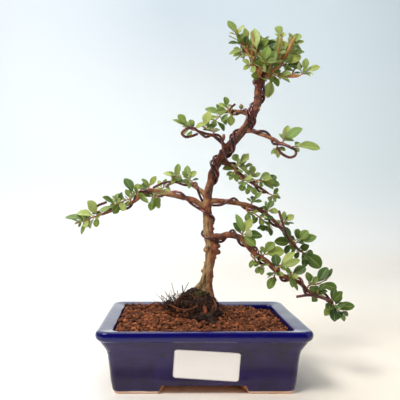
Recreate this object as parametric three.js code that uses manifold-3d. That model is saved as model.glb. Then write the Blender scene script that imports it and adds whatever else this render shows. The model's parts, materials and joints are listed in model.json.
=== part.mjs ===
// A cotoneaster bonsai, wired for training, in a glazed oblong pot.
// Millimetres, +Z up, the pot's long side along X and its front towards -Y.
import * as THREE from "three";
import { mergeVertices } from "three/addons/utils/BufferGeometryUtils.js";
import Module from "manifold-3d";

const wasm = await Module();
wasm.setup();

// Pot
const POT_LONG = 180;
const POT_WIDE = 128;
const POT_TALL = 55;
const POT_CORNER = 9;
const POT_CORNER_LEAST = 3;
const POT_CORNER_FALL = 0.3;
const FOOT_TALL = 7.4;
const FOOT_THICK = 9;
const FOOT_GAP_LONG = 75.6;
const FOOT_GAP_WIDE = 46;
const FOOT_GAP_SLOPE = 3.2;
const FOOT_GAP_FLARE = 0.4;
const FLOOR_TOP = 13;
const DRAIN_RADIUS = 7;
const DRAIN_APART = 70;
const DRAIN_SIDES = 16;
const NET_PAST_HOLE = 4;
const NET_THICK = 1;
const NET_OPENING = 4;
const NET_OPENINGS_APART = 6.4;
// Outside of the wall from the rim down: how far in from the rim, and how far below its top
const POT_OUTSIDE = [
  [1, 0],
  [0, 3.5],
  [0.5, 7],
  [4.9, 12.1],
  [8.75, 18.7],
  [10.5, 31.4],
  [11.6, 43.7],
  [15, 55],
];
// Inside of the wall from the rim down to the floor, measured the same way
const POT_INSIDE = [
  [13.2, 1.8],
  [14.4, 8],
  [16.5, 30],
  [18.5, 42],
];

// How far a cutting shape runs past what it cuts
const CUT_PAST = 10;
const CUT_INTO = 1;

// Clearances
const SEAT_GAP = 0.3;
const SNUG_GAP = 0.4;
const WIRE_GAP = 0.55;
const LEAF_GAP = 0.75;
const STALK_GAP = 0.5;
const LEAF_TO_LEAF = 1.9;
const STEM_GAP = 0.6;
const STEM_MARGIN = 0.15;
const CLEAR_STEP = 3;

// Soil and root mass
const SOIL_TOP = 52;
const MOUND_RISE = 4.2;
const MOUND_CENTRE = [-3, 3];
const MOUND_REACH = [42, 30];
const SOIL_FALL = 4.2;
const SOIL_FALL_SPAN = [40, 76];
const GRAIN_STEP = 5.2;
const GRAIN_RISE = 0.9;
const GRAIN_JITTER = 1.6;
const GRAIN_EDGE = 5;
const ROOT_CENTRE = [-3.5, 3];
const ROOT_SIDES = 16;
const ROOT_OVAL = 0.94;
const ROOT_LUMP = 2.6;
const ROOT_LUMP_FROM = 58;
const ROOT_HOLE_RINGS = 3;
const ROOT_RINGS = [
  [42, 14],
  [50, 20],
  [57, 23.4],
  [60.5, 22],
  [65, 19.8],
  [69.5, 16.3],
  [73.5, 12.4],
  [77, 9],
];
// Old roots that show on the mass, written as the limbs are
const ROOTS = [
  {
    points: [
      [-4, -6, 67], [-5, -16, 66.5], [-14, -21, 64], [-25, -15, 63.5], [-20, -6, 69], [-10, 0, 70],
    ],
    radii: [0.8, 0.7],
    sides: 5,
    step: 5,
  },
  { points: [[0, -6, 64], [2.6, -13, 62.5], [2.8, -18.5, 61.8]], radii: [2, 1.8], sides: 7, step: 6 },
  { points: [[8, -5, 66], [15, -13, 63], [24, -20, 60.6]], radii: [1, 0.7], sides: 5, step: 6 },
  { points: [[-14, 4, 64], [-26, 3, 62], [-35, -2, 60.2]], radii: [1.1, 0.7], sides: 5, step: 6 },
];

// Wires: how closely a winding is followed, and how often it is pulled tight and then only held off
const WIRE_RADIUS = 1.2;
const WIRE_SIDES = 5;
const WIRE_STEP = 3.7;
const WINDING_TURN = 30;
const WINDING_LENGTH = 3;
const TIGHTEN_ROUNDS = 28;
const SETTLE_ROUNDS = 12;
const TIGHTEN_PULL = 0.25;

// Leaves and stems
const LEAF_THICK = 0.7;
const LEAF_BREADTH = 0.58;
const LEAF_FOLD = 0.22;
const LEAF_ARCH = [0.06, 0.18];
const LEAF_ROLL = 50;
const LEAF_FACE = [0, -0.78, 0.62];
const STALK_HALF = 0.45;
const STALK_SHARE = 0.12;
// Shape of a blade's edge: how far past its middle it is widest, and how full its ends are
const BLADE_LATE = 1.15;
const BLADE_FULL = 0.75;
// Shares of a leaf's length that carry a row of points, by the length that it has to be over
const BLADE_ROWS = [
  { over: 16.5, rows: [0.3, 0.58, 0.85] },
  { over: 10.5, rows: [0.42, 0.82] },
  { over: 0, rows: [0.62] },
];
const STEM_RADIUS = 0.9;
const STEM_TIP = 0.7;
const STEM_STEP = 5;
const STEM_POINT_STEP = 2.2;
const STEM_STRAIGHT = 2;
const STEM_SET_OFF = 1.2;
const STEM_TEST_STEP = 0.8;
const FORK_THINNER = 0.1;
const LEAF_SPACING = 1.1;
const BARE_FOOT = 0.9;
const BARE_TIP = 0.2;

// Search for a clear place: a stem's root along and round its limb, and a leaf's about its wish
const ROOT_SHIFT = 1.2;
const ROOT_SHIFTS = 12;
const ROOT_TURN = 40;
const ROOT_TRIES = 60;
const ROOT_BEFORE_END = 0.8;
const LEAF_TRIES = 60;
const LEAF_BEFORE_TIP = 0.7;
const LEAF_TURN = 8;
const LEAF_LEAN = 11;
const LEAF_LEAN_MOST = 80;
const LEAF_SPIN = 2.4;
const LEAF_NEAR = 7;
const FACE_TRIES = 8;
const FACE_SITES = 3;
const FACE_TURNED = 0.3;
const END_TURNED = 0.5;
const TOUCHING = 1e-5;
const STALK_CROSSING = 0.8;

// Limbs of the tree: points along the middle, and thickness as radii spread evenly over them
const LIMBS = {
  trunk: {
    points: [
      [6, 4, 60], [6, 4.5, 72], [6.2, 5, 84], [7.6, 5.5, 96], [9.8, 5.5, 109], [10.9, 5.5, 119],
      [8.8, 5.5, 128], [7.4, 6, 141], [6.8, 7, 158], [9, 7, 177], [14.7, 7, 195], [25.7, 6.5, 212],
      [40.5, 6, 229], [50.1, 5, 244.6], [55.4, 5.5, 258], [55.6, 6, 268], [57, 6, 281],
    ],
    radii: [7.8, 7.2, 5.3, 5, 5.2, 6.7, 5, 4.5, 4.4, 3.9, 4, 4.3, 4.1, 3.9, 3.7, 3.7, 3.5],
    sides: 8,
    step: 6.5,
  },
  root_flare: { points: [[6, 5, 86], [2, 4.5, 76], [-2, 4, 66]], radii: [3, 4.2, 4.6] },
  low_left: {
    points: [
      [7, 7, 154], [-1, 5, 160], [-9, 3, 164], [-27, -1, 168], [-46.5, -5.5, 172], [-54, -7, 169],
      [-60, -9, 163], [-71, -12, 157.5], [-90, -16.5, 150],
    ],
    radii: [2.9, 1.2],
  },
  back_left: {
    points: [
      [7, 7, 164], [3.5, 10, 170], [-3, 15, 175.5], [-10.5, 20, 180], [-18.5, 24.5, 183],
      [-24, 27.5, 182], [-32, 32, 178.5],
    ],
    radii: [2.4, 1.1],
  },
  low_right: {
    points: [
      [9, 5.5, 123], [13, 4.5, 127.5], [20, 3, 128.5], [26, 1, 130.3], [33, -0.7, 129.2],
      [40, -2.7, 125.6], [50, -7, 113.6], [61, -10.5, 106], [66.5, -13, 100], [74, -15.5, 94],
      [83, -18, 90.4], [89, -20, 88], [95, -22.7, 81.5], [103.5, -25, 78.5], [110.5, -27.6, 75],
    ],
    radii: [3.6, 1.3],
  },
  mid_right: {
    points: [
      [8, 7, 158], [11, 6.5, 162], [18, 7.6, 162.4], [38, 10.6, 160], [57, 13.5, 154.5],
      [71.3, 16, 144.4], [87, 19, 128], [95, 21, 119],
    ],
    radii: [2.9, 1.2],
  },
  back_right: {
    points: [
      [15, 7, 200], [20, 7.6, 200.5], [27.7, 10.2, 197.6], [35.4, 13, 193.6], [41, 15.7, 187.5],
      [56, 21.2, 178], [69, 25.8, 170.5],
    ],
    radii: [2.7, 1.1],
  },
  high_right: {
    points: [
      [43, 6, 230], [49.6, 3, 229], [55, -1, 226], [67, -10.7, 218.7], [71, -14.5, 215],
      [75.5, -18, 213], [79, -21, 211],
    ],
    radii: [2.2, 1.1],
  },
  high_left: {
    points: [
      [51, 5.5, 243], [47, 7.7, 245.3], [42.3, 10, 247.8], [36.4, 12.4, 249.4], [30.4, 14.8, 250.4],
      [24.3, 17.4, 249.4],
    ],
    radii: [2.3, 1.1],
  },
  front_left: {
    points: [
      [27, 6.5, 213], [22.7, 3, 215.5], [19.4, 0.3, 218.2], [11.7, -5.5, 223], [5.4, -9.4, 224],
      [-4, -15.5, 226],
    ],
    radii: [1.9, 1],
  },
  crown_left: {
    points: [[57, 6, 277], [55.2, 4.6, 284.5], [52.5, 3.6, 289], [48, 1, 300], [44, 0, 305]],
    radii: [3.2, 1.4],
  },
  crown_right: {
    points: [
      [56.4, 6, 276], [60, 7, 281], [65.3, 8, 284], [73.3, 9.3, 290], [78, 10.4, 296],
      [82.4, 11.7, 305], [89, 14, 319],
    ],
    radii: [3.4, 1],
  },
  crown_low: {
    points: [[72, 9, 288], [76, 9.5, 284.5], [85.7, 7.4, 282.5], [94, 5.6, 282.3]],
    radii: [1.9, 1.1],
  },
  crown_twig: { points: [[78, 10.4, 296], [76.5, 12, 305], [80.5, 15, 318]], radii: [1.5, 0.9] },
  trunk_stub: { points: [[50, 5, 245], [53.5, 5, 249], [56, 4, 250.5]], radii: [2.6, 2] },
  twig_stub: { points: [[19.4, 0.3, 218.2], [21.5, -0.8, 221.3], [21.7, -1.2, 225]], radii: [1.5, 1.1] },
};

// Training wires. A wound length lies on a limb from one distance along it to another, and turns
// about it between two angles: 0 faces the front, and a positive turn goes round the limb's own
// direction by the right-hand rule. A free length is a list of points.
const WIRES = {
  wire_a_c: [
    { free: [[-86, -19.5, 161], [-95, -18, 157], [-98, -18, 151]] },
    { on: "low_left", from: 104, to: 9, turn: [1180, 200] },
    { on: "trunk", from: 97, to: 62, turn: [-80, 410] },
    { on: "low_right", from: 12, to: 124, turn: [100, 1720] },
    { free: [[113, -34, 73], [108, -37, 76], [100, -38, 79], [91, -38, 80.5], [81, -37, 79]] },
  ],
  wire_b_d: [
    { free: [[-46, 28, 176], [-36, 31, 181]] },
    { on: "back_left", from: 46, to: 9, turn: [450, -80] },
    { on: "trunk", from: 104, to: 97, turn: [300, 110] },
    { on: "mid_right", from: 10, to: 102, turn: [110, -970] },
    {
      free: [
        [100, 17, 113], [96, 13, 115.5], [91, 10.5, 120], [87, 9, 125], [82, 7, 133], [79, 6, 141],
        [75, 4, 153],
      ],
    },
  ],
  wire_h_e: [
    {
      free: [
        [-4, -23, 222], [-10, -25, 219.5], [-15, -26, 219], [-18, -27, 222], [-14, -27, 226],
        [-7, -23.5, 227],
      ],
    },
    { on: "front_left", from: 37, to: 8, turn: [360, -30] },
    { on: "trunk", from: 158, to: 146, turn: [-70, 70] },
    { on: "back_right", from: 9, to: 62, turn: [60, -700] },
  ],
  wire_g_f: [
    { free: [[34, 10, 256], [30.5, 11, 253]] },
    { on: "high_left", from: 28, to: 7, turn: [360, 60] },
    { on: "trunk", from: 196, to: 184, turn: [-80, 80] },
    { on: "high_right", from: 9, to: 47, turn: [70, -430] },
    {
      free: [
        [83, -26, 207], [82.5, -27, 202.5], [78, -27, 200.5], [74, -26, 202], [70, -25, 205],
        [67, -23.5, 210],
      ],
    },
  ],
  wire_trunk_left: [{ on: "trunk", from: 116, to: 235, turn: [191, -1230] }],
  wire_trunk_right: [
    { on: "trunk", from: 122, to: 229, turn: [161, -1115] },
    { on: "crown_right", from: 6, to: 15, turn: [-60, -200] },
  ],
};

// Leafy stems on each limb. A stem leaves the limb at the place nearest to its root (or to its
// first point), or carries on from the limb's end, and each arm runs through its points. A leaf is
// [how far along the arm, its turn in the front view, its lean away from the front, its length,
// its breadth as a share of the length where it isn't the usual one]. Angles are in degrees.
const SPRAYS = {
  low_left: [
    { arms: [{ to: [[-44, -9, 166]], leaves: [[1, -105, -10, 13], [1, -66, -14, 12], [1, -40, 30, 8]] }] },
    {
      arms: [
        {
          to: [[-49, -3, 176]],
          leaves: [[1, 127, 5, 10], [1, 163, 0, 13], [1, -150, -25, 7], [1, 80, 45, 9], [1, 110, -30, 7]],
        },
      ],
    },
    {
      arms: [
        {
          to: [[-57, -9, 170], [-63, -8, 169]],
          leaves: [[1, 119, 0, 16], [1, 66, 10, 9], [1, 165, 30, 10], [0.8, 150, -35, 7]],
        },
      ],
    },
    {
      arms: [
        {
          to: [[-65, -15, 164], [-73, -17, 161], [-80, -18, 158]],
          leaves: [
            [0.2, 112, -8, 9], [0.25, -126, -20, 8], [0.4, 160, 8, 12], [0.7, 88, 10, 10],
            [0.8, 60, -25, 7], [1, 163, -12, 13], [0.9, 135, 28, 10], [1, -160, -12, 14],
          ],
        },
      ],
    },
    {
      fromEnd: true,
      arms: [
        {
          to: [[-96, -19, 148], [-102, -21, 146], [-109, -22, 143]],
          leaves: [
            [0.2, 102, 0, 17, 0.66], [0.3, 165, -10, 16], [0.25, 50, 25, 8], [0.5, 150, 15, 9],
            [0.55, 105, -35, 7], [0.7, 172, -5, 19, 0.45], [0.7, -112, -10, 14, 0.4], [1, -170, 20, 7],
            [1, -120, -30, 5], [0.9, 80, 20, 6],
          ],
        },
      ],
    },
  ],
  back_left: [
    {
      arms: [
        {
          to: [[-18, 23, 187], [-24, 27, 187]],
          leaves: [
            [0.6, -65, -20, 10], [0.5, -110, -25, 10], [1, 75, 0, 13], [1, 160, 10, 13],
            [1, 140, -25, 9], [1, -130, -35, 10],
          ],
        },
      ],
    },
    {
      arms: [
        {
          to: [[-7, 16, 181], [-12, 17, 185]],
          leaves: [
            [1, 92, 5, 13], [1, 50, 15, 11], [1, 125, -20, 9], [0.4, 20, -5, 7], [0.5, -100, -20, 8],
          ],
        },
      ],
    },
    {
      fromEnd: true,
      arms: [
        {
          to: [[-38, 36, 175]],
          leaves: [[1, 165, 0, 9], [1, 110, 20, 10], [1, -140, -10, 8], [0.6, 60, -20, 9]],
        },
      ],
    },
  ],
  low_right: [
    {
      arms: [
        {
          to: [[39, -6, 132]],
          leaves: [
            [1, 105, 0, 19, 0.42], [1, 123, -12, 14], [0.9, 150, -20, 9], [1, 58, 5, 17],
            [1, 3, -6, 18, 0.5], [1, -39, -14, 16],
          ],
        },
      ],
    },
    {
      arms: [
        {
          to: [[46, -9, 112], [51, -11, 107], [56, -12, 103]],
          leaves: [[0.35, -112, -20, 9], [1, -125, 10, 9], [1, -90, -20, 9]],
        },
      ],
    },
    {
      arms: [
        { to: [[58, -12, 114]], leaves: [[1, 52, 5, 14, 0.75], [1, 10, -10, 18, 0.6], [1, 100, 30, 8]] },
      ],
    },
    {
      root: [70, -20, 98],
      arms: [
        { to: [[71, -18, 103]], leaves: [[1, 48, 5, 19, 0.42], [1, 19, -10, 19, 0.42], [1, -20, -30, 7]] },
        { to: [[66, -18, 94]], leaves: [[1, -118, -5, 13], [1, 170, 10, 7], [1, -85, 25, 8]] },
      ],
    },
    {
      arms: [
        {
          to: [[80, -21, 96]],
          leaves: [[1, 28, 0, 15, 0.66], [1, 110, 15, 8], [1, -80, -30, 11], [1, -58, -25, 14, 0.35]],
        },
      ],
    },
    {
      arms: [
        {
          to: [[96, -24, 87], [104, -23, 88], [111, -22, 91]],
          leaves: [
            [0.2, 100, 0, 11], [0.25, 60, -20, 9], [0.55, 58, 0, 17], [1, 55, 12, 13, 0.35],
            [0.7, -15, -15, 15], [0.45, -50, 25, 8],
          ],
        },
      ],
    },
    { arms: [{ to: [[101, -31, 82]], leaves: [[1, 150, -20, 9], [1, 60, -25, 10], [1, 20, -40, 9]] }] },
    {
      fromEnd: true,
      arms: [
        {
          to: [[114, -30, 72], [118, -31, 67], [121, -32, 64]],
          leaves: [
            [0.2, 88, 0, 12], [0.25, 50, -12, 14], [0.3, 115, 20, 9], [0.35, -125, -10, 12],
            [0.4, -85, -5, 15], [0.35, -150, 25, 9], [0.6, 5, -8, 16], [0.6, 70, 10, 13],
            [0.65, 35, -30, 10], [0.8, -60, 15, 9], [1, -70, -20, 8], [1, -20, 10, 9],
            [1, -110, 20, 7], [1, 20, -10, 7],
          ],
        },
      ],
    },
  ],
  mid_right: [
    {
      arms: [
        {
          to: [[51, 11, 162]],
          leaves: [[1, 48, 0, 14, 0.4], [1, 15, -10, 9], [1, 140, 0, 6], [1, 80, 30, 8]],
        },
      ],
    },
    {
      arms: [
        {
          to: [[66, 13, 154]],
          leaves: [[1, 100, 10, 9, 0.4], [1, 58, -5, 13], [1, -5, -25, 11], [1, 140, 30, 8]],
        },
      ],
    },
    {
      arms: [
        {
          to: [[45, 9, 153], [53, 10, 150], [61, 11, 144], [67, 12, 138]],
          leaves: [
            [0.15, -92, -5, 10, 0.75], [0.55, -130, -10, 8], [0.6, -70, 15, 8], [1, -170, -10, 11],
            [1, -140, 15, 9], [1, -75, 0, 10], [1, -115, 30, 9],
          ],
        },
      ],
    },
    { arms: [{ to: [[84, 20, 142]], leaves: [[1, 38, 0, 12], [1, 78, 10, 12, 0.4], [1, 10, 25, 9]] }] },
    {
      arms: [
        { to: [[88, 13, 121]], leaves: [[1, 172, -10, 15, 0.72], [1, -118, 0, 11], [1, 112, -8, 17]] },
      ],
    },
    {
      arms: [
        {
          to: [[99, 24, 123]],
          leaves: [[1, 88, 5, 12], [1, 48, -5, 15], [1, 20, -12, 19], [1, 68, 25, 18, 0.4], [1, -5, 20, 10]],
        },
      ],
    },
    {
      fromEnd: true,
      arms: [
        {
          to: [[101, 23, 112.5], [105, 23, 111]],
          leaves: [
            [1, -82, -5, 14], [1, -43, -8, 21, 0.66], [1, 0, 10, 10], [0.8, 40, -15, 7],
            [0.6, -120, 20, 9],
          ],
        },
      ],
    },
  ],
  back_right: [
    {
      root: [36, 8, 197],
      arms: [
        {
          to: [[38.5, 11.5, 199], [43, 15, 196]],
          leaves: [[0.45, 122, 0, 10, 0.8], [1, 85, -5, 12], [1, 58, 10, 12], [1, 15, -25, 9]],
        },
        { to: [[32.5, 7, 190]], leaves: [[1, -160, -10, 8], [1, -118, 0, 9], [1, -75, -10, 10]] },
      ],
    },
    {
      arms: [
        {
          to: [[42, 13, 182], [50, 17, 177]],
          leaves: [[0.4, -100, -10, 9, 0.8], [1, -60, 0, 11], [1, -100, 15, 9]],
        },
      ],
    },
    {
      arms: [
        {
          to: [[51, 21, 187]],
          leaves: [[1, 75, 15, 12], [1, 125, -10, 9], [1, 20, -20, 10], [1, 50, 40, 9]],
        },
      ],
    },
    {
      arms: [
        {
          to: [[57, 24, 183], [63, 26, 183], [69, 28, 180]],
          leaves: [
            [0.4, 30, 5, 13, 0.66], [0.55, -2, -10, 13, 0.66], [1, 35, 0, 13, 0.66],
            [1, 8, -12, 14, 0.66], [1, -18, 10, 14], [1, 60, 30, 9],
          ],
        },
      ],
    },
    {
      fromEnd: true,
      arms: [
        {
          to: [[75, 28, 168]],
          leaves: [[1, -15, 0, 8], [1, 55, 10, 9], [1, -70, -20, 7], [1, 20, -40, 6]],
        },
      ],
    },
  ],
  high_right: [
    {
      arms: [
        {
          to: [[75, -16, 218]],
          leaves: [[1, 72, 0, 14], [1, 35, -8, 19, 0.66], [1, 8, -22, 9], [1, 110, 25, 9]],
        },
      ],
    },
    {
      fromEnd: true,
      arms: [{ to: [[84, -23, 211]], leaves: [[1, 0, -5, 22, 0.6], [1, 40, 30, 8]] }],
    },
    {
      arms: [
        { to: [[69, -12, 210]], leaves: [[1, -72, 10, 9], [1, -130, 10, 7], [1, -100, 35, 7]] },
      ],
    },
  ],
  high_left: [
    {
      fromEnd: true,
      arms: [
        {
          to: [[19, 20, 245.5], [16, 22, 242]],
          leaves: [
            [0.3, 157, 0, 16], [0.3, 118, -10, 10], [0.9, -48, -5, 13], [0.9, 170, 10, 8],
            [1, -100, -20, 7],
          ],
        },
      ],
    },
    {
      root: [28.5, 10, 252],
      arms: [
        { to: [[26, 13, 254]], leaves: [[1, 96, -5, 10, 0.8], [1, 150, 20, 9], [1, 40, 30, 7]] },
        { to: [[31, 10, 246]], leaves: [[1, -95, -8, 11, 0.8], [1, -128, 8, 11]] },
      ],
    },
  ],
  front_left: [
    {
      fromEnd: true,
      arms: [
        {
          to: [[-10, -19, 227], [-13, -21, 229]],
          leaves: [
            [0.3, 30, -5, 12], [0.3, 95, 15, 10], [1, 127, 0, 14, 0.45], [1, 148, -10, 16, 0.45],
            [1, -160, 20, 8],
          ],
        },
      ],
    },
    {
      arms: [
        {
          to: [[13, -4, 226], [8, -7, 229], [3, -11, 230]],
          leaves: [
            [0.3, 75, -5, 10], [0.35, 170, -25, 9], [0.4, 110, 30, 8], [1, 77, 0, 15, 0.66],
            [1, 15, 20, 8], [1, 130, 25, 8],
          ],
        },
      ],
    },
  ],
  crown_left: [
    {
      fromEnd: true,
      arms: [
        {
          to: [[40, -1, 308.5], [36, -2, 313], [33, -4, 319]],
          leaves: [
            [0.15, -159, 0, 15, 0.35], [0.2, 130, 15, 9], [0.25, 98, -12, 12], [0.4, 82, -5, 14],
            [0.5, 172, 5, 11], [0.55, 120, -22, 9], [0.35, 40, 25, 9], [1, 117, 0, 15],
            [1, 60, 20, 8], [1, 170, -15, 7],
          ],
        },
      ],
    },
    { arms: [{ to: [[47, -1, 290]], leaves: [[1, 150, -5, 9, 0.75], [1, -150, -10, 8], [1, 170, 25, 7]] }] },
    {
      arms: [
        {
          to: [[51, -5, 297], [51.5, -7, 302]],
          leaves: [[1, 94, 0, 22, 0.45], [1, 68, -18, 13], [1, 120, 15, 9]],
        },
      ],
    },
    {
      arms: [
        {
          to: [[54, 3, 302], [58, 2, 307]],
          leaves: [[0.9, 28, -5, 16, 0.66], [1, 82, 10, 13, 0.66], [1, 50, 25, 13], [1, 5, 25, 12]],
        },
      ],
    },
    {
      arms: [
        {
          to: [[58, -2, 287], [59, -9, 291]],
          leaves: [[1, 78, -10, 14, 0.8], [1, -92, -18, 9, 0.4], [1, 15, 0, 11], [1, 45, 15, 10]],
        },
      ],
    },
  ],
  crown_twig: [
    {
      fromEnd: true,
      arms: [{ to: [[80, 16, 324]], leaves: [[1, 118, 0, 11, 0.9], [1, 60, 15, 7], [1, 20, -20, 5]] }],
    },
  ],
  crown_right: [
    { arms: [{ to: [[80, 7, 304]], leaves: [[1, 112, -5, 16], [1, 140, 35, 11], [1, -160, -10, 7]] }] },
    {
      arms: [
        {
          to: [[86, 13, 303], [92, 12, 303]],
          leaves: [
            [0.4, 58, 0, 15, 0.66], [0.4, 25, 20, 10], [1, 42, -5, 14], [1, 90, 15, 10], [1, 15, -25, 9],
          ],
        },
      ],
    },
    {
      arms: [
        {
          to: [[82, 6, 293]],
          leaves: [[1, 27, -5, 17, 0.6], [1, -6, -12, 16, 0.66], [1, 60, 20, 11], [1, -20, 15, 9]],
        },
      ],
    },
    {
      root: [69, 3, 284],
      arms: [
        { to: [[74, 3, 281]], leaves: [[1, 15, -25, 12], [1, -28, -10, 14, 0.4]] },
        { to: [[68, 5, 279]], leaves: [[1, -109, -5, 18, 0.55], [1, -75, 8, 12], [1, -35, -8, 11, 0.75]] },
      ],
    },
    {
      arms: [
        {
          to: [[69, 15, 296]],
          leaves: [[1, 80, 25, 12], [1, 40, 35, 12], [1, 120, 30, 12], [1, 10, 45, 10]],
        },
      ],
    },
  ],
  crown_low: [
    {
      fromEnd: true,
      arms: [
        {
          to: [[99, 4, 286]],
          leaves: [[1, 92, 5, 12], [1, 22, -5, 16, 0.42], [1, 60, -25, 9], [1, -10, 20, 9]],
        },
      ],
    },
  ],
};

// Berry and label
const BERRY = [40, 10, 253.4];
const BERRY_RADIUS = 2.2;
const BERRY_STALK = { radii: [0.7, 0.5], sides: 5, step: 4 };
const LABEL_LONG = 55;
const LABEL_TALL = 24.8;
const LABEL_THICK = 0.6;
const LABEL_CENTRE = [2.1, 25.4];
const LABEL_TILT = -3.8;
const LABEL_CORNER = 2;
const LABEL_ROWS = 8;
const LABEL_COLUMNS = 4;

// Shares and tolerances of the geometry code
const MERGE_WITHIN = 1e-3;
const CURVE_TENSION = 0.5;
const CURVE_DIVISIONS = 400;
const DRAW_RANGE = 2 ** 32;
const FIRST_DRAW = 20;

const vec = (point) => new THREE.Vector3(point[0], point[1], point[2]);
const radians = THREE.MathUtils.degToRad;

// Repeatable draws between 0 and 1
let drawn = FIRST_DRAW;
function draw() {
  drawn = (drawn * 1664525 + 1013904223) % DRAW_RANGE;
  return drawn / DRAW_RANGE;
}

// A repeatable value between 0 and 1 for a place in a grid
function scatter(i, j) {
  const wave = Math.sin(i * 127.1 + j * 311.7) * 43758.5453;
  return wave - Math.floor(wave);
}

// A solid from triangles whose corners are shared points, turned so that its faces point out
function solidFromSkin(triangles) {
  const numbers = new Map();
  for (const corner of triangles.flat()) {
    if (!numbers.has(corner)) numbers.set(corner, numbers.size);
  }
  const vertProperties = new Float32Array([...numbers.keys()].flatMap((corner) => corner.toArray()));
  const make = (order) => {
    const triVerts = new Uint32Array(triangles.flatMap((face) => order.map((i) => numbers.get(face[i]))));
    return new wasm.Manifold(new wasm.Mesh({ numProp: 3, vertProperties, triVerts }));
  };
  const made = make([0, 1, 2]);
  return made.volume() > 0 ? made : make([0, 2, 1]);
}

// A solid from a list of corner points and triangles of places in that list
function solidFrom(points, triangles) {
  return solidFromSkin(triangles.map((face) => face.map((i) => points[i])));
}

// A solid from one of the library's closed geometries
function solidOf(geometry) {
  geometry.deleteAttribute("normal");
  geometry.deleteAttribute("uv");
  const merged = mergeVertices(geometry, MERGE_WITHIN);
  const place = merged.attributes.position;
  const points = [];
  for (let i = 0; i < place.count; i++) {
    points.push(new THREE.Vector3().fromBufferAttribute(place, i));
  }
  const faces = [];
  for (let i = 0; i < merged.index.count; i += 3) {
    faces.push([merged.index.getX(i), merged.index.getX(i + 1), merged.index.getX(i + 2)]);
  }
  return solidFrom(points, faces);
}

// A solid through rings of equal count, closed by a flat cap at each end
function loft(rings) {
  const sides = rings[0].length;
  const triangles = [];
  for (let r = 0; r + 1 < rings.length; r++) {
    for (let i = 0; i < sides; i++) {
      const a = r * sides + i;
      const b = r * sides + ((i + 1) % sides);
      triangles.push([a, b, b + sides], [a, b + sides, a + sides]);
    }
  }
  const last = (rings.length - 1) * sides;
  for (let i = 1; i + 1 < sides; i++) {
    triangles.push([0, i + 1, i], [last, last + i, last + i + 1]);
  }
  return solidFrom(rings.flat(), triangles);
}

// A solid without the loose scraps that a join can leave
function whole(solid) {
  return solid.decompose().reduce((best, next) => (next.volume() > best.volume() ? next : best));
}

function meshOf(name, solid, look) {
  const { vertProperties, triVerts } = solid.getMesh();
  const geometry = new THREE.BufferGeometry();
  geometry.setAttribute("position", new THREE.BufferAttribute(new Float32Array(vertProperties), 3));
  geometry.setIndex(new THREE.BufferAttribute(new Uint32Array(triVerts), 1));
  geometry.computeVertexNormals();
  const mesh = new THREE.Mesh(geometry, new THREE.MeshStandardMaterial(look));
  mesh.name = name;
  return mesh;
}

// A rounded oblong, level at height z
function roundedRing(inset, z, perCorner = 3) {
  const halfX = POT_LONG / 2 - inset;
  const halfY = POT_WIDE / 2 - inset;
  const radius = Math.max(POT_CORNER_LEAST, POT_CORNER - inset * POT_CORNER_FALL);
  const ring = [];
  for (const [sx, sy, start] of [[1, 1, 0], [-1, 1, 90], [-1, -1, 180], [1, -1, 270]]) {
    for (let k = 0; k <= perCorner; k++) {
      const angle = radians(start + (90 * k) / perCorner);
      const x = sx * (halfX - radius) + radius * Math.cos(angle);
      const y = sy * (halfY - radius) + radius * Math.sin(angle);
      ring.push(new THREE.Vector3(x, y, z));
    }
  }
  return ring;
}

function box(x0, x1, y0, y1, z0, z1) {
  const geometry = new THREE.BoxGeometry(x1 - x0, y1 - y0, z1 - z0);
  geometry.translate((x0 + x1) / 2, (y0 + y1) / 2, (z0 + z1) / 2);
  return solidOf(geometry);
}

function upright(radius, z0, z1, x, y, sides) {
  const geometry = new THREE.CylinderGeometry(radius, radius, z1 - z0, sides);
  geometry.rotateX(Math.PI / 2);
  geometry.translate(x, y, (z0 + z1) / 2);
  return solidOf(geometry);
}

// The opening between two feet: a low bar with sloping ends, wider at the bottom
function footGap(width, reach, turned) {
  const half = width / 2;
  const shape = new THREE.Shape([
    new THREE.Vector2(-half - FOOT_GAP_FLARE, -CUT_INTO),
    new THREE.Vector2(half + FOOT_GAP_FLARE, -CUT_INTO),
    new THREE.Vector2(half - FOOT_GAP_SLOPE, FOOT_TALL),
    new THREE.Vector2(-half + FOOT_GAP_SLOPE, FOOT_TALL),
  ]);
  const geometry = new THREE.ExtrudeGeometry(shape, { depth: reach, bevelEnabled: false });
  geometry.rotateX(Math.PI / 2);
  geometry.translate(0, reach / 2, 0);
  if (turned) geometry.rotateZ(Math.PI / 2);
  return solidOf(geometry);
}

function makePot() {
  const outside = [...POT_OUTSIDE].reverse().map(([inset, down]) => roundedRing(inset, POT_TALL - down));
  const inside = POT_INSIDE.map(([inset, down]) => roundedRing(inset, POT_TALL - down));
  const footInset = POT_OUTSIDE.at(-1)[0] + FOOT_THICK;
  const under = loft([roundedRing(footInset, -CUT_INTO), roundedRing(footInset, FOOT_TALL)]);
  let pot = loft([...outside, ...inside]).subtract(under);
  pot = pot.subtract(footGap(FOOT_GAP_LONG, POT_WIDE + 2 * CUT_PAST, false));
  pot = pot.subtract(footGap(FOOT_GAP_WIDE, POT_LONG + 2 * CUT_PAST, true));
  for (const side of [-1, 1]) {
    const x = (side * DRAIN_APART) / 2;
    const hole = upright(DRAIN_RADIUS, FOOT_TALL - CUT_INTO, FLOOR_TOP + CUT_INTO, x, 0, DRAIN_SIDES);
    pot = pot.subtract(hole);
  }
  return pot;
}

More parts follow.
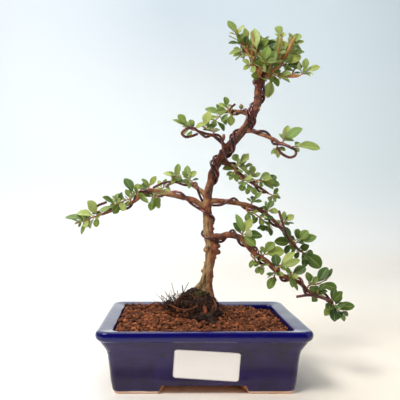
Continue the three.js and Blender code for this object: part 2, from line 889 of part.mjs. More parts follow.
// A strip of netting over both drain holes, with square holes through it where the water goes
function makeDrainMesh() {
  const half = DRAIN_APART / 2 + DRAIN_RADIUS + NET_PAST_HOLE;
  const deep = DRAIN_RADIUS + NET_PAST_HOLE;
  const low = FLOOR_TOP + SEAT_GAP;
  const high = low + NET_THICK;
  const opening = NET_OPENING / 2;
  const apart = NET_OPENINGS_APART / 2;
  let strip = box(-half, half, -deep, deep, low, high);
  for (const side of [-1, 1]) {
    for (const dx of [-apart, apart]) {
      for (const y of [-apart, apart]) {
        const x = (side * DRAIN_APART) / 2 + dx;
        const [left, right, front, back] = [x - opening, x + opening, y - opening, y + opening];
        strip = strip.subtract(box(left, right, front, back, low - CUT_INTO, high + CUT_INTO));
      }
    }
  }
  return strip;
}

// Height of the soil's surface, without its grains
function soilHeight(x, y) {
  const across = (x - MOUND_CENTRE[0]) / MOUND_REACH[0];
  const back = (y - MOUND_CENTRE[1]) / MOUND_REACH[1];
  const mound = MOUND_RISE * Math.exp(-(across ** 2 + back ** 2));
  const fall = SOIL_FALL * THREE.MathUtils.smoothstep(x, ...SOIL_FALL_SPAN);
  return SOIL_TOP + mound - fall;
}

// Rough block whose top carries the grains; the pot's inside then trims it
function grainBlock() {
  const columns = Math.ceil((POT_LONG - 2 * GRAIN_EDGE) / GRAIN_STEP);
  const rows = Math.ceil((POT_WIDE - 2 * GRAIN_EDGE) / GRAIN_STEP);
  const points = [];
  const faces = [];
  for (let j = 0; j <= rows; j++) {
    for (let i = 0; i <= columns; i++) {
      const stagger = ((j % 2) * GRAIN_STEP) / 2;
      const jitterX = (scatter(i, j) - 0.5) * GRAIN_JITTER + stagger;
      const jitterY = (scatter(j, i + 50) - 0.5) * GRAIN_JITTER;
      const x = (i - columns / 2) * GRAIN_STEP + jitterX;
      const y = (j - rows / 2) * GRAIN_STEP + jitterY;
      const grain = (scatter(i + 9, j + 7) * 2 - 1) * GRAIN_RISE;
      points.push(new THREE.Vector3(x, y, soilHeight(x, y) + grain));
    }
  }
  const at = (i, j) => j * (columns + 1) + i;
  for (let j = 0; j < rows; j++) {
    for (let i = 0; i < columns; i++) {
      faces.push([at(i, j), at(i + 1, j), at(i + 1, j + 1)], [at(i, j), at(i + 1, j + 1), at(i, j + 1)]);
    }
  }
  const edge = [];
  for (let i = 0; i < columns; i++) edge.push(at(i, 0));
  for (let j = 0; j < rows; j++) edge.push(at(columns, j));
  for (let i = columns; i > 0; i--) edge.push(at(i, rows));
  for (let j = rows; j > 0; j--) edge.push(at(0, j));
  const first = points.length;
  for (const index of edge) points.push(new THREE.Vector3(points[index].x, points[index].y, 0));
  points.push(new THREE.Vector3(0, 0, 0));
  const centre = points.length - 1;
  edge.forEach((index, k) => {
    const next = (k + 1) % edge.length;
    faces.push([edge[next], index, first + k], [edge[next], first + k, first + next]);
    faces.push([first + next, first + k, centre]);
  });
  return solidFrom(points, faces);
}

// A ring about the root mass, drawn in and lifted here and there by up to a lump
function rootRing(radius, z, lump) {
  const ring = [];
  for (let i = 0; i < ROOT_SIDES; i++) {
    const angle = (2 * Math.PI * i) / ROOT_SIDES;
    const reach = radius - lump * scatter(i, Math.round(z));
    const x = ROOT_CENTRE[0] + reach * Math.cos(angle);
    const y = ROOT_CENTRE[1] + reach * Math.sin(angle) * ROOT_OVAL;
    const rise = (lump / 2) * (scatter(Math.round(z), i) - 0.5);
    ring.push(new THREE.Vector3(x, y, z + rise));
  }
  return ring;
}

// The granules as one filling, with a hole for the root mass
function makeSoil() {
  const low = FLOOR_TOP + 2 * SEAT_GAP + NET_THICK;
  const walls = POT_INSIDE.map(([inset, down]) => roundedRing(inset + SEAT_GAP, POT_TALL - down)).reverse();
  walls[0] = roundedRing(POT_INSIDE.at(-1)[0] + SEAT_GAP, low);
  walls.push(roundedRing(POT_INSIDE[0][0] + SEAT_GAP, POT_TALL + CUT_PAST));
  const rings = ROOT_RINGS.slice(0, ROOT_HOLE_RINGS).map(([z, radius]) => [z, radius + SNUG_GAP]);
  const hole = rings.map(([z, radius]) => rootRing(radius, z, 0));
  hole[0] = rootRing(rings[0][1], rings[0][0] - SEAT_GAP, 0);
  hole.push(rootRing(rings.at(-1)[1], POT_TALL + 2 * CUT_PAST, 0));
  return loft(walls).intersect(grainBlock()).subtract(loft(hole));
}

// A limb of the tree: a smooth route that grows thinner along it
class Limb {
  constructor({ points, radii, sides = 6, step = 8 }) {
    this.curve = new THREE.CatmullRomCurve3(points, false, "catmullrom", CURVE_TENSION);
    this.curve.arcLengthDivisions = CURVE_DIVISIONS;
    this.radii = radii;
    this.sides = sides;
    this.step = step;
    this.length = this.curve.getLength();
  }

  // Place, direction and radius at a distance along the limb
  at(distance) {
    const share = THREE.MathUtils.clamp(distance / this.length, 0, 1);
    const t = this.curve.getUtoTmapping(share);
    const step = t * (this.radii.length - 1);
    const low = Math.min(Math.floor(step), this.radii.length - 2);
    const radius = THREE.MathUtils.lerp(this.radii[low], this.radii[low + 1], step - low);
    return { point: this.curve.getPoint(t), direction: this.curve.getTangent(t), radius };
  }

  // The limb as a closed tube, made thicker by an extra amount
  solid(extra = 0) {
    const count = Math.max(2, Math.round(this.length / this.step));
    const frames = this.curve.computeFrenetFrames(count, false);
    const rings = [];
    for (let k = 0; k <= count; k++) {
      const here = this.at((this.length * k) / count);
      const ring = [];
      for (let i = 0; i < this.sides; i++) {
        const angle = (2 * Math.PI * i) / this.sides;
        const out = frames.normals[k].clone().multiplyScalar(Math.cos(angle));
        out.addScaledVector(frames.binormals[k], Math.sin(angle));
        ring.push(here.point.clone().addScaledVector(out, here.radius + extra));
      }
      rings.push(ring);
    }
    return loft(rings);
  }
}

const limbOf = (data) => new Limb({ ...data, points: data.points.map(vec) });
const limbs = Object.fromEntries(Object.entries(LIMBS).map(([name, data]) => [name, limbOf(data)]));

// Short straight lengths with a radius at each end, for measuring clearances
function lengthsOf(limb, step) {
  const count = Math.max(1, Math.ceil(limb.length / step));
  const stations = [];
  for (let k = 0; k <= count; k++) {
    stations.push({ along: (limb.length * k) / count, ...limb.at((limb.length * k) / count) });
  }
  return stations.slice(1).map((end, k) => ({ limb, start: stations[k], end }));
}

const WOOD = Object.values(limbs).flatMap((limb) => lengthsOf(limb, CLEAR_STEP));

// The nearest of some lengths to a point: the gap to its surface, and the way off it
function nearest(point, lengths) {
  let best = { gap: Infinity };
  for (const length of lengths) {
    const span = length.end.point.clone().sub(length.start.point);
    const from = point.clone().sub(length.start.point);
    const share = THREE.MathUtils.clamp(from.dot(span) / span.lengthSq(), 0, 1);
    const away = from.addScaledVector(span, -share);
    const radius = THREE.MathUtils.lerp(length.start.radius, length.end.radius, share);
    const gap = away.length() - radius;
    if (gap < best.gap) best = { gap, away, length, share };
  }
  return best;
}

// Moves a point straight out to a clearance from some lengths
function pushOff(point, lengths, clearance) {
  const near = nearest(point, lengths);
  if (near.gap < clearance) {
    point.addScaledVector(near.away.clone().normalize(), clearance - near.gap);
  }
}

// A wire's route: wound lengths and free lengths in order, then pulled tight and held off the wood
// and off the wires that were laid before it
function layWire(sections, laid) {
  const points = [];
  const wound = [];
  for (const section of sections) {
    if (section.free) {
      section.free.forEach((point) => points.push(vec(point)));
      section.free.forEach(() => wound.push(false));
      continue;
    }
    const limb = limbs[section.on];
    const [first, last] = section.turn;
    const turned = Math.abs(last - first) / WINDING_TURN;
    const gone = Math.abs(section.to - section.from) / WINDING_LENGTH;
    const count = Math.ceil(Math.max(turned, gone));
    for (let k = 0; k <= count; k++) {
      const here = limb.at(THREE.MathUtils.lerp(section.from, section.to, k / count));
      const front = new THREE.Vector3(0, -1, 0);
      front.addScaledVector(here.direction, -front.dot(here.direction)).normalize();
      const side = here.direction.clone().cross(front);
      const angle = radians(THREE.MathUtils.lerp(first, last, k / count));
      const out = front.multiplyScalar(Math.cos(angle)).addScaledVector(side, Math.sin(angle));
      points.push(here.point.addScaledVector(out, here.radius + WIRE_RADIUS + WIRE_GAP));
      wound.push(true);
    }
  }
  for (let round = 0; round < TIGHTEN_ROUNDS + SETTLE_ROUNDS; round++) {
    const before = points.map((point) => point.clone());
    const pull = round < TIGHTEN_ROUNDS ? TIGHTEN_PULL : 0;
    for (let i = 1; i + 1 < points.length; i++) {
      if (!wound[i]) continue;
      const middle = before[i - 1].clone().add(before[i + 1]).multiplyScalar(0.5);
      points[i].lerp(middle, pull);
    }
    for (const point of points) {
      pushOff(point, laid, WIRE_RADIUS + WIRE_GAP);
      pushOff(point, WOOD, WIRE_RADIUS + WIRE_GAP);
    }
  }
  return points;
}

// The straight lengths between a route's points
function lengthsOfRoute(points, radius) {
  return points.slice(1).map((point, k) => ({
    start: { point: points[k], radius },
    end: { point, radius },
  }));
}

// A wire as a tube along its route
function wireSolid(points) {
  const path = new THREE.CatmullRomCurve3(points, false, "centripetal");
  const corners = [];
  for (let i = 0; i < WIRE_SIDES; i++) {
    const angle = (2 * Math.PI * i) / WIRE_SIDES;
    corners.push(new THREE.Vector2(WIRE_RADIUS * Math.cos(angle), WIRE_RADIUS * Math.sin(angle)));
  }
  const steps = Math.ceil(path.getLength() / WIRE_STEP);
  const options = { steps, extrudePath: path, bevelEnabled: false };
  return solidOf(new THREE.ExtrudeGeometry(new THREE.Shape(corners), options));
}

// Whether a stem passes clear of some lengths from a distance along it on
function stemClears(stem, lengths, from) {
  for (let along = from; along <= stem.length; along += STEM_TEST_STEP) {
    const here = stem.at(along);
    if (nearest(here.point, lengths).gap < here.radius + STEM_MARGIN) return false;
  }
  return true;
}

// A stem through its first points and then the arm's, held off the wood and the wires on its way
function stemFrom(start, arm, radius, wires) {
  const wanted = new Limb({ points: [...start, ...arm.to.map(vec)], radii: [radius, STEM_TIP] });
  const count = Math.max(2, Math.ceil(wanted.length / STEM_POINT_STEP));
  const points = start.slice();
  for (let k = 1; k <= count; k++) {
    const point = wanted.at((wanted.length * k) / count).point;
    if (point.distanceTo(start[0]) < STEM_STRAIGHT) continue;
    pushOff(point, WOOD, STEM_RADIUS + STEM_GAP);
    pushOff(point, wires, STEM_RADIUS + STEM_GAP);
    points.push(point);
  }
  return new Limb({ points, radii: [radius, STEM_TIP], step: STEM_STEP });
}

// The arms of a spray: the first starts straight off its root, and the others fork from it
function armsFrom(root, off, row, radius, wires) {
  const [first, ...rest] = row.arms;
  const setOff = root.clone().addScaledVector(off, STEM_SET_OFF);
  const stem = stemFrom([root, setOff], first, radius, wires);
  const fork = stem.at(1);
  return [stem, ...rest.map((arm) => stemFrom([fork.point], arm, fork.radius - FORK_THINNER, wires))];
}

// Steps taken to one side and the other in turn, further out every second one
function toAndFro(count, step) {
  return Math.ceil(count / 2) * (count % 2 ? step : -step);
}

// The stems of one spray: its root is the place on the wood nearest to it, moved along and round
// the limb until every arm clears the wires
function stemsOf(row, limb, wires) {
  if (row.fromEnd) {
    const end = limb.at(limb.length);
    const root = end.point.clone().addScaledVector(end.direction, SEAT_GAP);
    return armsFrom(root, end.direction, row, end.radius, wires);
  }
  const near = nearest(vec(row.root ?? row.arms[0].to[0]), WOOD);
  const { limb: host, start, end } = near.length;
  const along = THREE.MathUtils.lerp(start.along, end.along, near.share);
  for (let k = 0; k < ROOT_TRIES; k++) {
    const shift = toAndFro(k % ROOT_SHIFTS, ROOT_SHIFT);
    const round = radians(toAndFro(Math.floor(k / ROOT_SHIFTS), ROOT_TURN));
    const here = host.at(THREE.MathUtils.clamp(along + shift, 1, host.length - ROOT_BEFORE_END));
    const off = near.away.clone();
    off.addScaledVector(here.direction, -off.dot(here.direction)).normalize();
    off.applyAxisAngle(here.direction, round);
    const root = here.point.clone().addScaledVector(off, here.radius + SEAT_GAP);
    if (nearest(root, wires).gap < STEM_RADIUS + SEAT_GAP) continue;
    const stems = armsFrom(root, off, row, STEM_RADIUS, wires);
    if (stems.every((stem) => stemClears(stem, wires, 0) && stemClears(stem, WOOD, 2))) return stems;
  }
  return null;
}

// The four corners of a stem's section, in order round its direction
function stemCorners(stem, along) {
  const here = stem.at(along);
  const chord = stem.at(stem.length).point.sub(stem.at(0).point).normalize();
  const towards = Math.abs(chord.y) > 0.8;
  const across = towards ? new THREE.Vector3(1, 0, 0) : new THREE.Vector3(0, -1, 0);
  across.addScaledVector(here.direction, -across.dot(here.direction)).normalize();
  const side = here.direction.clone().cross(across);
  return [45, 135, 225, 315].map((degrees) => {
    const angle = radians(degrees);
    const out = across.clone().multiplyScalar(Math.cos(angle)).addScaledVector(side, Math.sin(angle));
    return here.point.clone().addScaledVector(out, here.radius);
  });
}

// Share of a leaf's half breadth at a share of its length: a stalk, then a blade widest past its middle
function outline(along) {
  const share = Math.max(0, (along - STALK_SHARE) / (1 - STALK_SHARE));
  return Math.max(0, Math.sin(Math.PI * share ** BLADE_LATE)) ** BLADE_FULL;
}

// A leaf from its base: its direction, its faces and sides, and its size
function leafOf(base, turn, lean, long, breadth, roll, arch) {
  const [t, l] = [radians(turn), radians(lean)];
  const along = new THREE.Vector3(Math.cos(t) * Math.cos(l), Math.sin(l), Math.sin(t) * Math.cos(l));
  const face = vec(LEAF_FACE);
  face.addScaledVector(along, -face.dot(along)).normalize();
  face.applyAxisAngle(along, radians(roll));
  return { base, along, face, side: along.clone().cross(face), long, half: (long * breadth) / 2, arch };
}

// A place on a leaf's upper side: a share of its length, and of its half breadth from -1 to 1
function leafPoint(leaf, along, across) {
  const half = Math.max(STALK_HALF, leaf.half * outline(along));
  const rise = LEAF_FOLD * Math.abs(across) * half - leaf.arch * leaf.long * along * along;
  return leaf.base
    .clone()
    .addScaledVector(leaf.along, along * leaf.long)
    .addScaledVector(leaf.side, across * half)
    .addScaledVector(leaf.face, rise + LEAF_THICK / 2);
}

// The section of a stalk at its foot
function stalkCorners(leaf) {
  const [left, right] = [leafPoint(leaf, 0, -1), leafPoint(leaf, 0, 1)];
  const lower = (point) => point.clone().addScaledVector(leaf.face, -LEAF_THICK);
  return [left, right, lower(right), lower(left)];
}

// A leaf's skin, which grows out of the four corners of a face, given in order as seen from outside
function leafSkin(leaf, corners) {
  const lower = (point) => point.clone().addScaledVector(leaf.face, -LEAF_THICK);
  const wanted = stalkCorners(leaf);
  const misfit = (shift) =>
    wanted.reduce((sum, point, i) => sum + point.distanceTo(corners[(i + shift) % 4]), 0);
  const shift = [0, 1, 2, 3].reduce((best, next) => (misfit(next) < misfit(best) ? next : best));
  const [upLeft, upRight, downRight, downLeft] = [0, 1, 2, 3].map((i) => corners[(i + shift) % 4]);

  const stations = BLADE_ROWS.find(({ over }) => leaf.long > over).rows;
  const rows = stations.map((along) => [-1, 0, 1].map((across) => leafPoint(leaf, along, across)));
  const tip = leafPoint(leaf, 1, 0);
  const under = new Map([[upLeft, downLeft], [upRight, downRight]]);
  for (const point of [...rows.flat(), tip]) under.set(point, lower(point));

  const [l, m, r] = rows[0];
  const top = [[upLeft, upRight, m], [upLeft, m, l], [upRight, r, m]];
  for (let k = 0; k + 1 < rows.length; k++) {
    const [a, b, c] = rows[k];
    const [d, e, f] = rows[k + 1];
    top.push([a, b, e], [a, e, d], [b, c, f], [b, f, e]);
  }
  const [x, y, z] = rows.at(-1);
  top.push([x, y, tip], [y, z, tip]);
  const rim = [upRight, ...rows.map((row) => row[2]), tip, ...rows.map((row) => row[0]).reverse(), upLeft];
  const bottom = top.map(([a, b, c]) => [under.get(a), under.get(c), under.get(b)]);
  const walls = rim.slice(1).flatMap((next, k) => {
    const here = rim[k];
    return [[next, here, under.get(here)], [next, under.get(here), under.get(next)]];
  });
  return [...top, ...bottom, ...walls];
}

// Places on a leaf that are tested for clearance, from past its stalk to its tip
function leafProbes(leaf) {
  const probes = [leafPoint(leaf, 1, 0)];
  for (const along of [0.3, 0.45, 0.6, 0.75, 0.9]) {
    for (const across of [-0.85, 0, 0.85]) probes.push(leafPoint(leaf, along, across));
  }
  return probes;
}

// Places on both sides of its stalk
function stalkProbes(leaf) {
  return [0.1, 0.2].flatMap((along) => [-1, 1].map((across) => leafPoint(leaf, along, across)));
}

function middleOf(points) {
  return points.reduce((sum, point) => sum.add(point), new THREE.Vector3()).divideScalar(points.length);
}

// One leafy stem as a single skin: a four-sided tube, some of whose faces open into leaves
class LeafyStem {
  constructor(stem, leaves) {
    this.stem = stem;
    this.leaves = leaves;
    this.slots = Math.max(1, Math.floor((stem.length - BARE_FOOT) / LEAF_SPACING));
    this.first = stem.length - BARE_TIP - this.slots * LEAF_SPACING;
    this.taken = new Map();
    this.sunk = [];
  }

  // Corners of the section between two slots, made once so that neighbours share them
  section(index) {
    this.sections ??= new Map();
    if (!this.sections.has(index)) {
      this.sections.set(index, stemCorners(this.stem, this.first + index * LEAF_SPACING));
    }
    return this.sections.get(index);
  }

  // Corners of one of the four faces between two sections
  face(slot, side) {
    const [low, high] = [this.section(slot), this.section(slot + 1)];
    const next = (side + 1) % 4;
    return [low[side], low[next], high[next], high[side]];
  }

  // Faces a leaf may grow from, the nearest to its wanted place and the best turned to it first
  sites(wanted, along) {
    const reach = wanted * this.stem.length;
    const sites = [];
    const end = this.section(this.slots);
    const forward = this.stem.at(this.stem.length).direction.dot(along);
    if (wanted === 1 && forward > END_TURNED && !this.taken.has("end")) {
      sites.push({ key: "end", corners: end, base: middleOf(end), cost: -1 - forward });
    }
    for (let slot = 0; slot < this.slots; slot++) {
      const middle = this.first + (slot + 0.5) * LEAF_SPACING;
      const here = this.stem.at(middle);
      for (let side = 0; side < 4; side++) {
        if (this.taken.has(`${slot} ${side}`)) continue;
        const corners = this.face(slot, side);
        const base = middleOf(corners);
        const facing = base.clone().sub(here.point).normalize().dot(along);
        if (facing < FACE_TURNED) continue;
        const cost = Math.abs(middle - reach) / 2 - facing;
        sites.push({ key: `${slot} ${side}`, corners, base, cost });
      }
    }
    return sites.sort((a, b) => a.cost - b.cost).slice(0, FACE_SITES);
  }

  // The tube with its taken faces left out, and the leaves that stand there. A spare one has no
  // sections between slots that carry nothing
  solid(spare = true) {
    const start = stemCorners(this.stem, 0);
    const triangles = [[start[0], start[2], start[1]], [start[0], start[3], start[2]]];
    const band = (low, high, slot) => {
      for (let side = 0; side < 4; side++) {
        if (this.taken.has(`${slot} ${side}`)) continue;
        const next = (side + 1) % 4;
        triangles.push([low[side], low[next], high[next]], [low[side], high[next], high[side]]);
      }
    };
    const lead = Math.max(1, Math.round(this.first / this.stem.step));
    let low = start;
    for (let k = 1; k < lead; k++) {
      const high = stemCorners(this.stem, (this.first * k) / lead);
      band(low, high, "lead");
      low = high;
    }
    band(low, this.section(0), "lead");
    low = this.section(0);
    for (let slot = 0; slot < this.slots; slot++) {
      const used = [0, 1, 2, 3].some((side) => this.taken.has(`${slot} ${side}`));
      const nextUsed = [0, 1, 2, 3].some((side) => this.taken.has(`${slot + 1} ${side}`));
      if (spare && !used && !nextUsed && slot + 1 < this.slots && (slot + 1) % 4) continue;
      band(low, this.section(slot + 1), slot);
      low = this.section(slot + 1);
    }
    if (!this.taken.has("end")) triangles.push([low[0], low[1], low[2]], [low[0], low[2], low[3]]);
    for (const skin of this.taken.values()) triangles.push(...skin);
    return this.sunk.reduce((all, leaf) => all.add(leaf), solidFromSkin(triangles));
  }
}

// The first of a leaf's places and directions, close to the wanted ones, in which it touches
// nothing. Where no face is clear for long, its stalk is sunk into the stem instead
function placeLeaf(leafy, [wanted, turn, lean, long, breadth = LEAF_BREADTH], obstacles, others, own) {
  const roll = (draw() - 0.5) * LEAF_ROLL;
  const arch = LEAF_ARCH[0] + (LEAF_ARCH[1] - LEAF_ARCH[0]) * draw();
  const { stem } = leafy;
  const middle = stem.at(Math.min(wanted * stem.length, stem.length - LEAF_BEFORE_TIP)).point;
  const close = obstacles.filter(({ start }) => start.point.distanceTo(middle) < long + LEAF_NEAR);
  const rivals = others.filter((other) => other.distanceTo(middle) < long + LEAF_NEAR);
  for (let k = 0; k < LEAF_TRIES; k++) {
    const swing = Math.sqrt(k);
    const turned = turn + LEAF_TURN * swing * Math.cos(LEAF_SPIN * k);
    const wild = lean + LEAF_LEAN * swing * Math.sin(LEAF_SPIN * k);
    const leant = THREE.MathUtils.clamp(wild, -LEAF_LEAN_MOST, LEAF_LEAN_MOST);
    const { along } = leafOf(middle, turned, leant, long, breadth, roll, arch);
    const sites = leafy.sites(wanted, along);
    if (k >= FACE_TRIES) sites.push({ base: middle });
    for (const site of sites) {
      const leaf = leafOf(site.base, turned, leant, long, breadth, roll, arch);
      const probes = leafProbes(leaf);
      if (probes.some((probe) => nearest(probe, close).gap < LEAF_GAP)) continue;
      if (stalkProbes(leaf).some((probe) => nearest(probe, close).gap < STALK_GAP)) continue;
      if (probes.some((probe) => rivals.some((other) => probe.distanceTo(other) < LEAF_TO_LEAF))) continue;
      const corners = site.corners ?? stalkCorners(leaf);
      const skin = leafSkin(leaf, corners);
      const [a, b, c, d] = corners;
      const solid = solidFromSkin([...skin, [a, c, b], [a, d, c]]);
      const crossesBy = (most) => (other) => other.intersect(solid).volume() > most;
      if (site.key) {
        if ([...own.stems, ...own.leaves].some(crossesBy(TOUCHING))) continue;
        leafy.taken.set(site.key, skin);
      } else {
        if (own.leaves.some(crossesBy(STALK_CROSSING))) continue;
        leafy.sunk.push(solid);
      }
      return { solid, probes };
    }
  }
  return null;
}

// All stems are laid before the leaves, so that no leaf grows through another spray's stem
function growSprays(wires) {
  const sprays = [];
  for (const [limbName, rows] of Object.entries(SPRAYS)) {
    rows.forEach((row, index) => {
      const stems = stemsOf(row, limbs[limbName], wires);
      if (!stems) throw new Error(`no clear root for a stem on ${limbName}, number ${index + 1}`);
      const leafy = stems.map((stem, k) => new LeafyStem(stem, row.arms[k].leaves));
      sprays.push({ name: `spray_${limbName}_${index + 1}`, leafy });
    });
  }
  const fruit = { start: { point: vec(BERRY), radius: BERRY_RADIUS } };
  fruit.end = { point: vec(BERRY).add(vec([0, 0, 0.1])), radius: BERRY_RADIUS };
  const grown = [];
  for (const spray of sprays) {
    const otherStems = sprays
      .filter((other) => other !== spray)
      .flatMap((other) => other.leafy.flatMap(({ stem }) => lengthsOf(stem, CLEAR_STEP)));
    const obstacles = [...WOOD, ...wires, ...otherStems, fruit];
    const others = [...grown];
    const own = { stems: spray.leafy.map((leafy) => leafy.solid(false)), leaves: [] };
    for (const leafy of spray.leafy) {
      for (const row of leafy.leaves) {
        const placed = placeLeaf(leafy, row, obstacles, others, own);
        if (!placed) continue;
        own.leaves.push(placed.solid);
        grown.push(...placed.probes);
      }
    }
    spray.body = whole(spray.leafy.map((leafy) => leafy.solid()).reduce((all, arm) => all.add(arm)));
  }
  return sprays;
}

// Trunk, branches and stubs, grown together
function makeWood() {
  return Object.values(limbs)
    .map((limb) => limb.solid())
    .reduce((tree, limb) => tree.add(limb));
}

// The old root ball: lumpy where it shows, plain where it stands in the soil
function makeRootMass() {
  const lump = (z) => (z > ROOT_LUMP_FROM ? ROOT_LUMP : 0);
  let mass = loft(ROOT_RINGS.map(([z, radius]) => rootRing(radius, z, lump(z))));
  for (const root of ROOTS) mass = mass.add(limbOf(root).solid());
  for (const name of ["trunk", "root_flare"]) mass = mass.subtract(limbs[name].solid(SNUG_GAP));
  return mass;
}

// How far in from the rim the outside of the front wall is at a height
function wallInset(z) {
  const down = POT_TALL - z;
  for (let k = 1; k < POT_OUTSIDE.length; k++) {
    const [fromInset, fromDown] = POT_OUTSIDE[k - 1];
    const [toInset, toDown] = POT_OUTSIDE[k];
    if (down <= toDown) {
      return THREE.MathUtils.mapLinear(down, fromDown, toDown, fromInset, toInset);
    }
  }
  return POT_OUTSIDE.at(-1)[0];
}

// A paper label that follows the front wall
function makeLabel() {
  const [rows, columns] = [LABEL_ROWS, LABEL_COLUMNS];
  const place = (column, row, lift) => {
    const v = (row / rows - 0.5) * LABEL_TALL;
    const inCorner = Math.max(0, LABEL_CORNER - (LABEL_TALL / 2 - Math.abs(v)));
    const cut = LABEL_CORNER - Math.sqrt(LABEL_CORNER ** 2 - inCorner ** 2);
    const u = (column / columns - 0.5) * (LABEL_LONG - 2 * cut);
    const tilt = radians(LABEL_TILT);
    const x = LABEL_CENTRE[0] + u * Math.cos(tilt) - v * Math.sin(tilt);
    const z = LABEL_CENTRE[1] + u * Math.sin(tilt) + v * Math.cos(tilt);
    return new THREE.Vector3(x, -(POT_WIDE / 2 - wallInset(z)) - SNUG_GAP - lift, z);
  };
  const points = [];
  const faces = [];
  for (const lift of [0, LABEL_THICK]) {
    for (let row = 0; row <= rows; row++) {
      for (let column = 0; column <= columns; column++) points.push(place(column, row, lift));
    }
  }
  const count = points.length / 2;
  const at = (column, row) => row * (columns + 1) + column;
  for (let row = 0; row < rows; row++) {
    for (let column = 0; column < columns; column++) {
      const corners = [at(column, row), at(column + 1, row), at(column + 1, row + 1), at(column, row + 1)];
      const [a, b, c, d] = corners;
      faces.push([a, b, c], [a, c, d], [a + count, c + count, b + count], [a + count, d + count, c + count]);
    }
  }
  const rim = [];
  for (let column = 0; column < columns; column++) rim.push(at(column, 0));
  for (let row = 0; row < rows; row++) rim.push(at(columns, row));
  for (let column = columns; column > 0; column--) rim.push(at(column, rows));
  for (let row = rows; row > 0; row--) rim.push(at(0, row));
  rim.forEach((i, k) => {
    const j = rim[(k + 1) % rim.length];
    faces.push([j, i, i + count], [j, i + count, j + count]);
  });
  return solidFrom(points, faces);
}

// The fruit on its short stalk
function makeBerry() {
  const sphere = new THREE.SphereGeometry(BERRY_RADIUS, 8, 6);
  sphere.translate(...BERRY);
  const wood = nearest(vec(BERRY), WOOD);
  const out = wood.away.clone().normalize();
  const foot = vec(BERRY).addScaledVector(out, SEAT_GAP - wood.gap);
  const stalk = new Limb({ ...BERRY_STALK, points: [foot, vec(BERRY)] });
  return solidOf(sphere).add(stalk.solid());
}

const LOOKS = {
  glaze: { color: 0x23266b, roughness: 0.15, metalness: 0 },
  netting: { color: 0x1d2a1f, roughness: 0.6, metalness: 0 },
  granules: { color: 0x8a4a2c, roughness: 0.95, metalness: 0 },
  peat: { color: 0x2b2119, roughness: 0.95, metalness: 0 },
  bark: { color: 0x8a5a3c, roughness: 0.85, metalness: 0 },
  wire: { color: 0x5a2f2c, roughness: 0.35, metalness: 0.6 },
  leaf: { color: 0x86a350, roughness: 0.5, metalness: 0 },
  fruit: { color: 0x7c7a3a, roughness: 0.5, metalness: 0 },
  paper: { color: 0xf3eeea, roughness: 0.7, metalness: 0 },
};

const bonsai = new THREE.Group();
bonsai.add(meshOf("pot", makePot(), LOOKS.glaze));
bonsai.add(meshOf("drain_mesh", makeDrainMesh(), LOOKS.netting));
bonsai.add(meshOf("soil", makeSoil(), LOOKS.granules));
bonsai.add(meshOf("root_mass", makeRootMass(), LOOKS.peat));
bonsai.add(meshOf("wood", makeWood(), LOOKS.bark));
bonsai.add(meshOf("label", makeLabel(), LOOKS.paper));
bonsai.add(meshOf("berry", makeBerry(), LOOKS.fruit));

const laid = [];
for (const [name, sections] of Object.entries(WIRES)) {
  const points = layWire(sections, laid);
  laid.push(...lengthsOfRoute(points, WIRE_RADIUS));
  bonsai.add(meshOf(name, wireSolid(points), LOOKS.wire));
}
for (const { name, body } of growSprays(laid)) {
  bonsai.add(meshOf(name, body, LOOKS.leaf));
}

// The origin is on the ground under the middle of the whole plant's reach
const reach = new THREE.Box3().setFromObject(bonsai);
bonsai.position.x = -(reach.min.x + reach.max.x) / 2;

export default bonsai;
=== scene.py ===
"""A cotoneaster bonsai, wired for training, in a glazed oblong pot.

Shapes are laid out in millimetres in the pot's own frame, +Z up, with the pot's long side along X
and its front towards -Y, and become metres in the part's frame when a mesh is made. The wood, the
wires and the leafy stems follow the same routes as the solids that they stand for.
"""

import json
import logging
import math
from dataclasses import dataclass, field, replace
from enum import Enum
from functools import cached_property

import bmesh
import bpy
import numpy as np
from bpy.types import Material, Mesh, Node, NodeSocket, NodeTree, Object
from mathutils import Matrix, Vector

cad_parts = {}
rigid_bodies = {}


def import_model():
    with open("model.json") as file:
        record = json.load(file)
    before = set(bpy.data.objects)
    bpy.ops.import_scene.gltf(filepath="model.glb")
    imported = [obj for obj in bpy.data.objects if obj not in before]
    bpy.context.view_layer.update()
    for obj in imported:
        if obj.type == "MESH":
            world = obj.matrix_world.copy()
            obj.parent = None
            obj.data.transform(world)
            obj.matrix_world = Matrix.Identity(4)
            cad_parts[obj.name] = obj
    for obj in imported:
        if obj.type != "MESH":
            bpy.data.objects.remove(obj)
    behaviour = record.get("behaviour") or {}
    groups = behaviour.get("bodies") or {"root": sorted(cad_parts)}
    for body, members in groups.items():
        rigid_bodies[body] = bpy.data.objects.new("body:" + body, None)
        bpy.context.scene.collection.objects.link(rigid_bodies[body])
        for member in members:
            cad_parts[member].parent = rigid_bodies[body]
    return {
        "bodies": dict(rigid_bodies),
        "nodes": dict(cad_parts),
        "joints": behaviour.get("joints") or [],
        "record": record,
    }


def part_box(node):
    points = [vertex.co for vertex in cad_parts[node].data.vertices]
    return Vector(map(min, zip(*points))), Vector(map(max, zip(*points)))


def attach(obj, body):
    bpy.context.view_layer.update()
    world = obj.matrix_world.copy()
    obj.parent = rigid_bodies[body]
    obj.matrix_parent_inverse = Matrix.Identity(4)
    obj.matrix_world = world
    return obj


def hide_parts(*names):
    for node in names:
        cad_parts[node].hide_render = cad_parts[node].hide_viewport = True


log = logging.getLogger("bonsai")
Rows = np.ndarray
Rng = np.random.Generator

MM = 0.001

# Clearances and sizes that the tree's routes share with its solids
SEAT_GAP = 0.3
WIRE_GAP = 0.55
WIRE_RADIUS = 1.2
LEAF_THICK = 0.7
LEAF_BREADTH = 0.58
LEAF_FOLD = 0.22
STEM_RADIUS = 0.9
STEM_TIP = 0.7
LEAF_SPACING = 1.1
LENGTH_STEP = 3


@dataclass(frozen=True)
class Free:
    """A length of wire that runs free through its points."""

    points: list


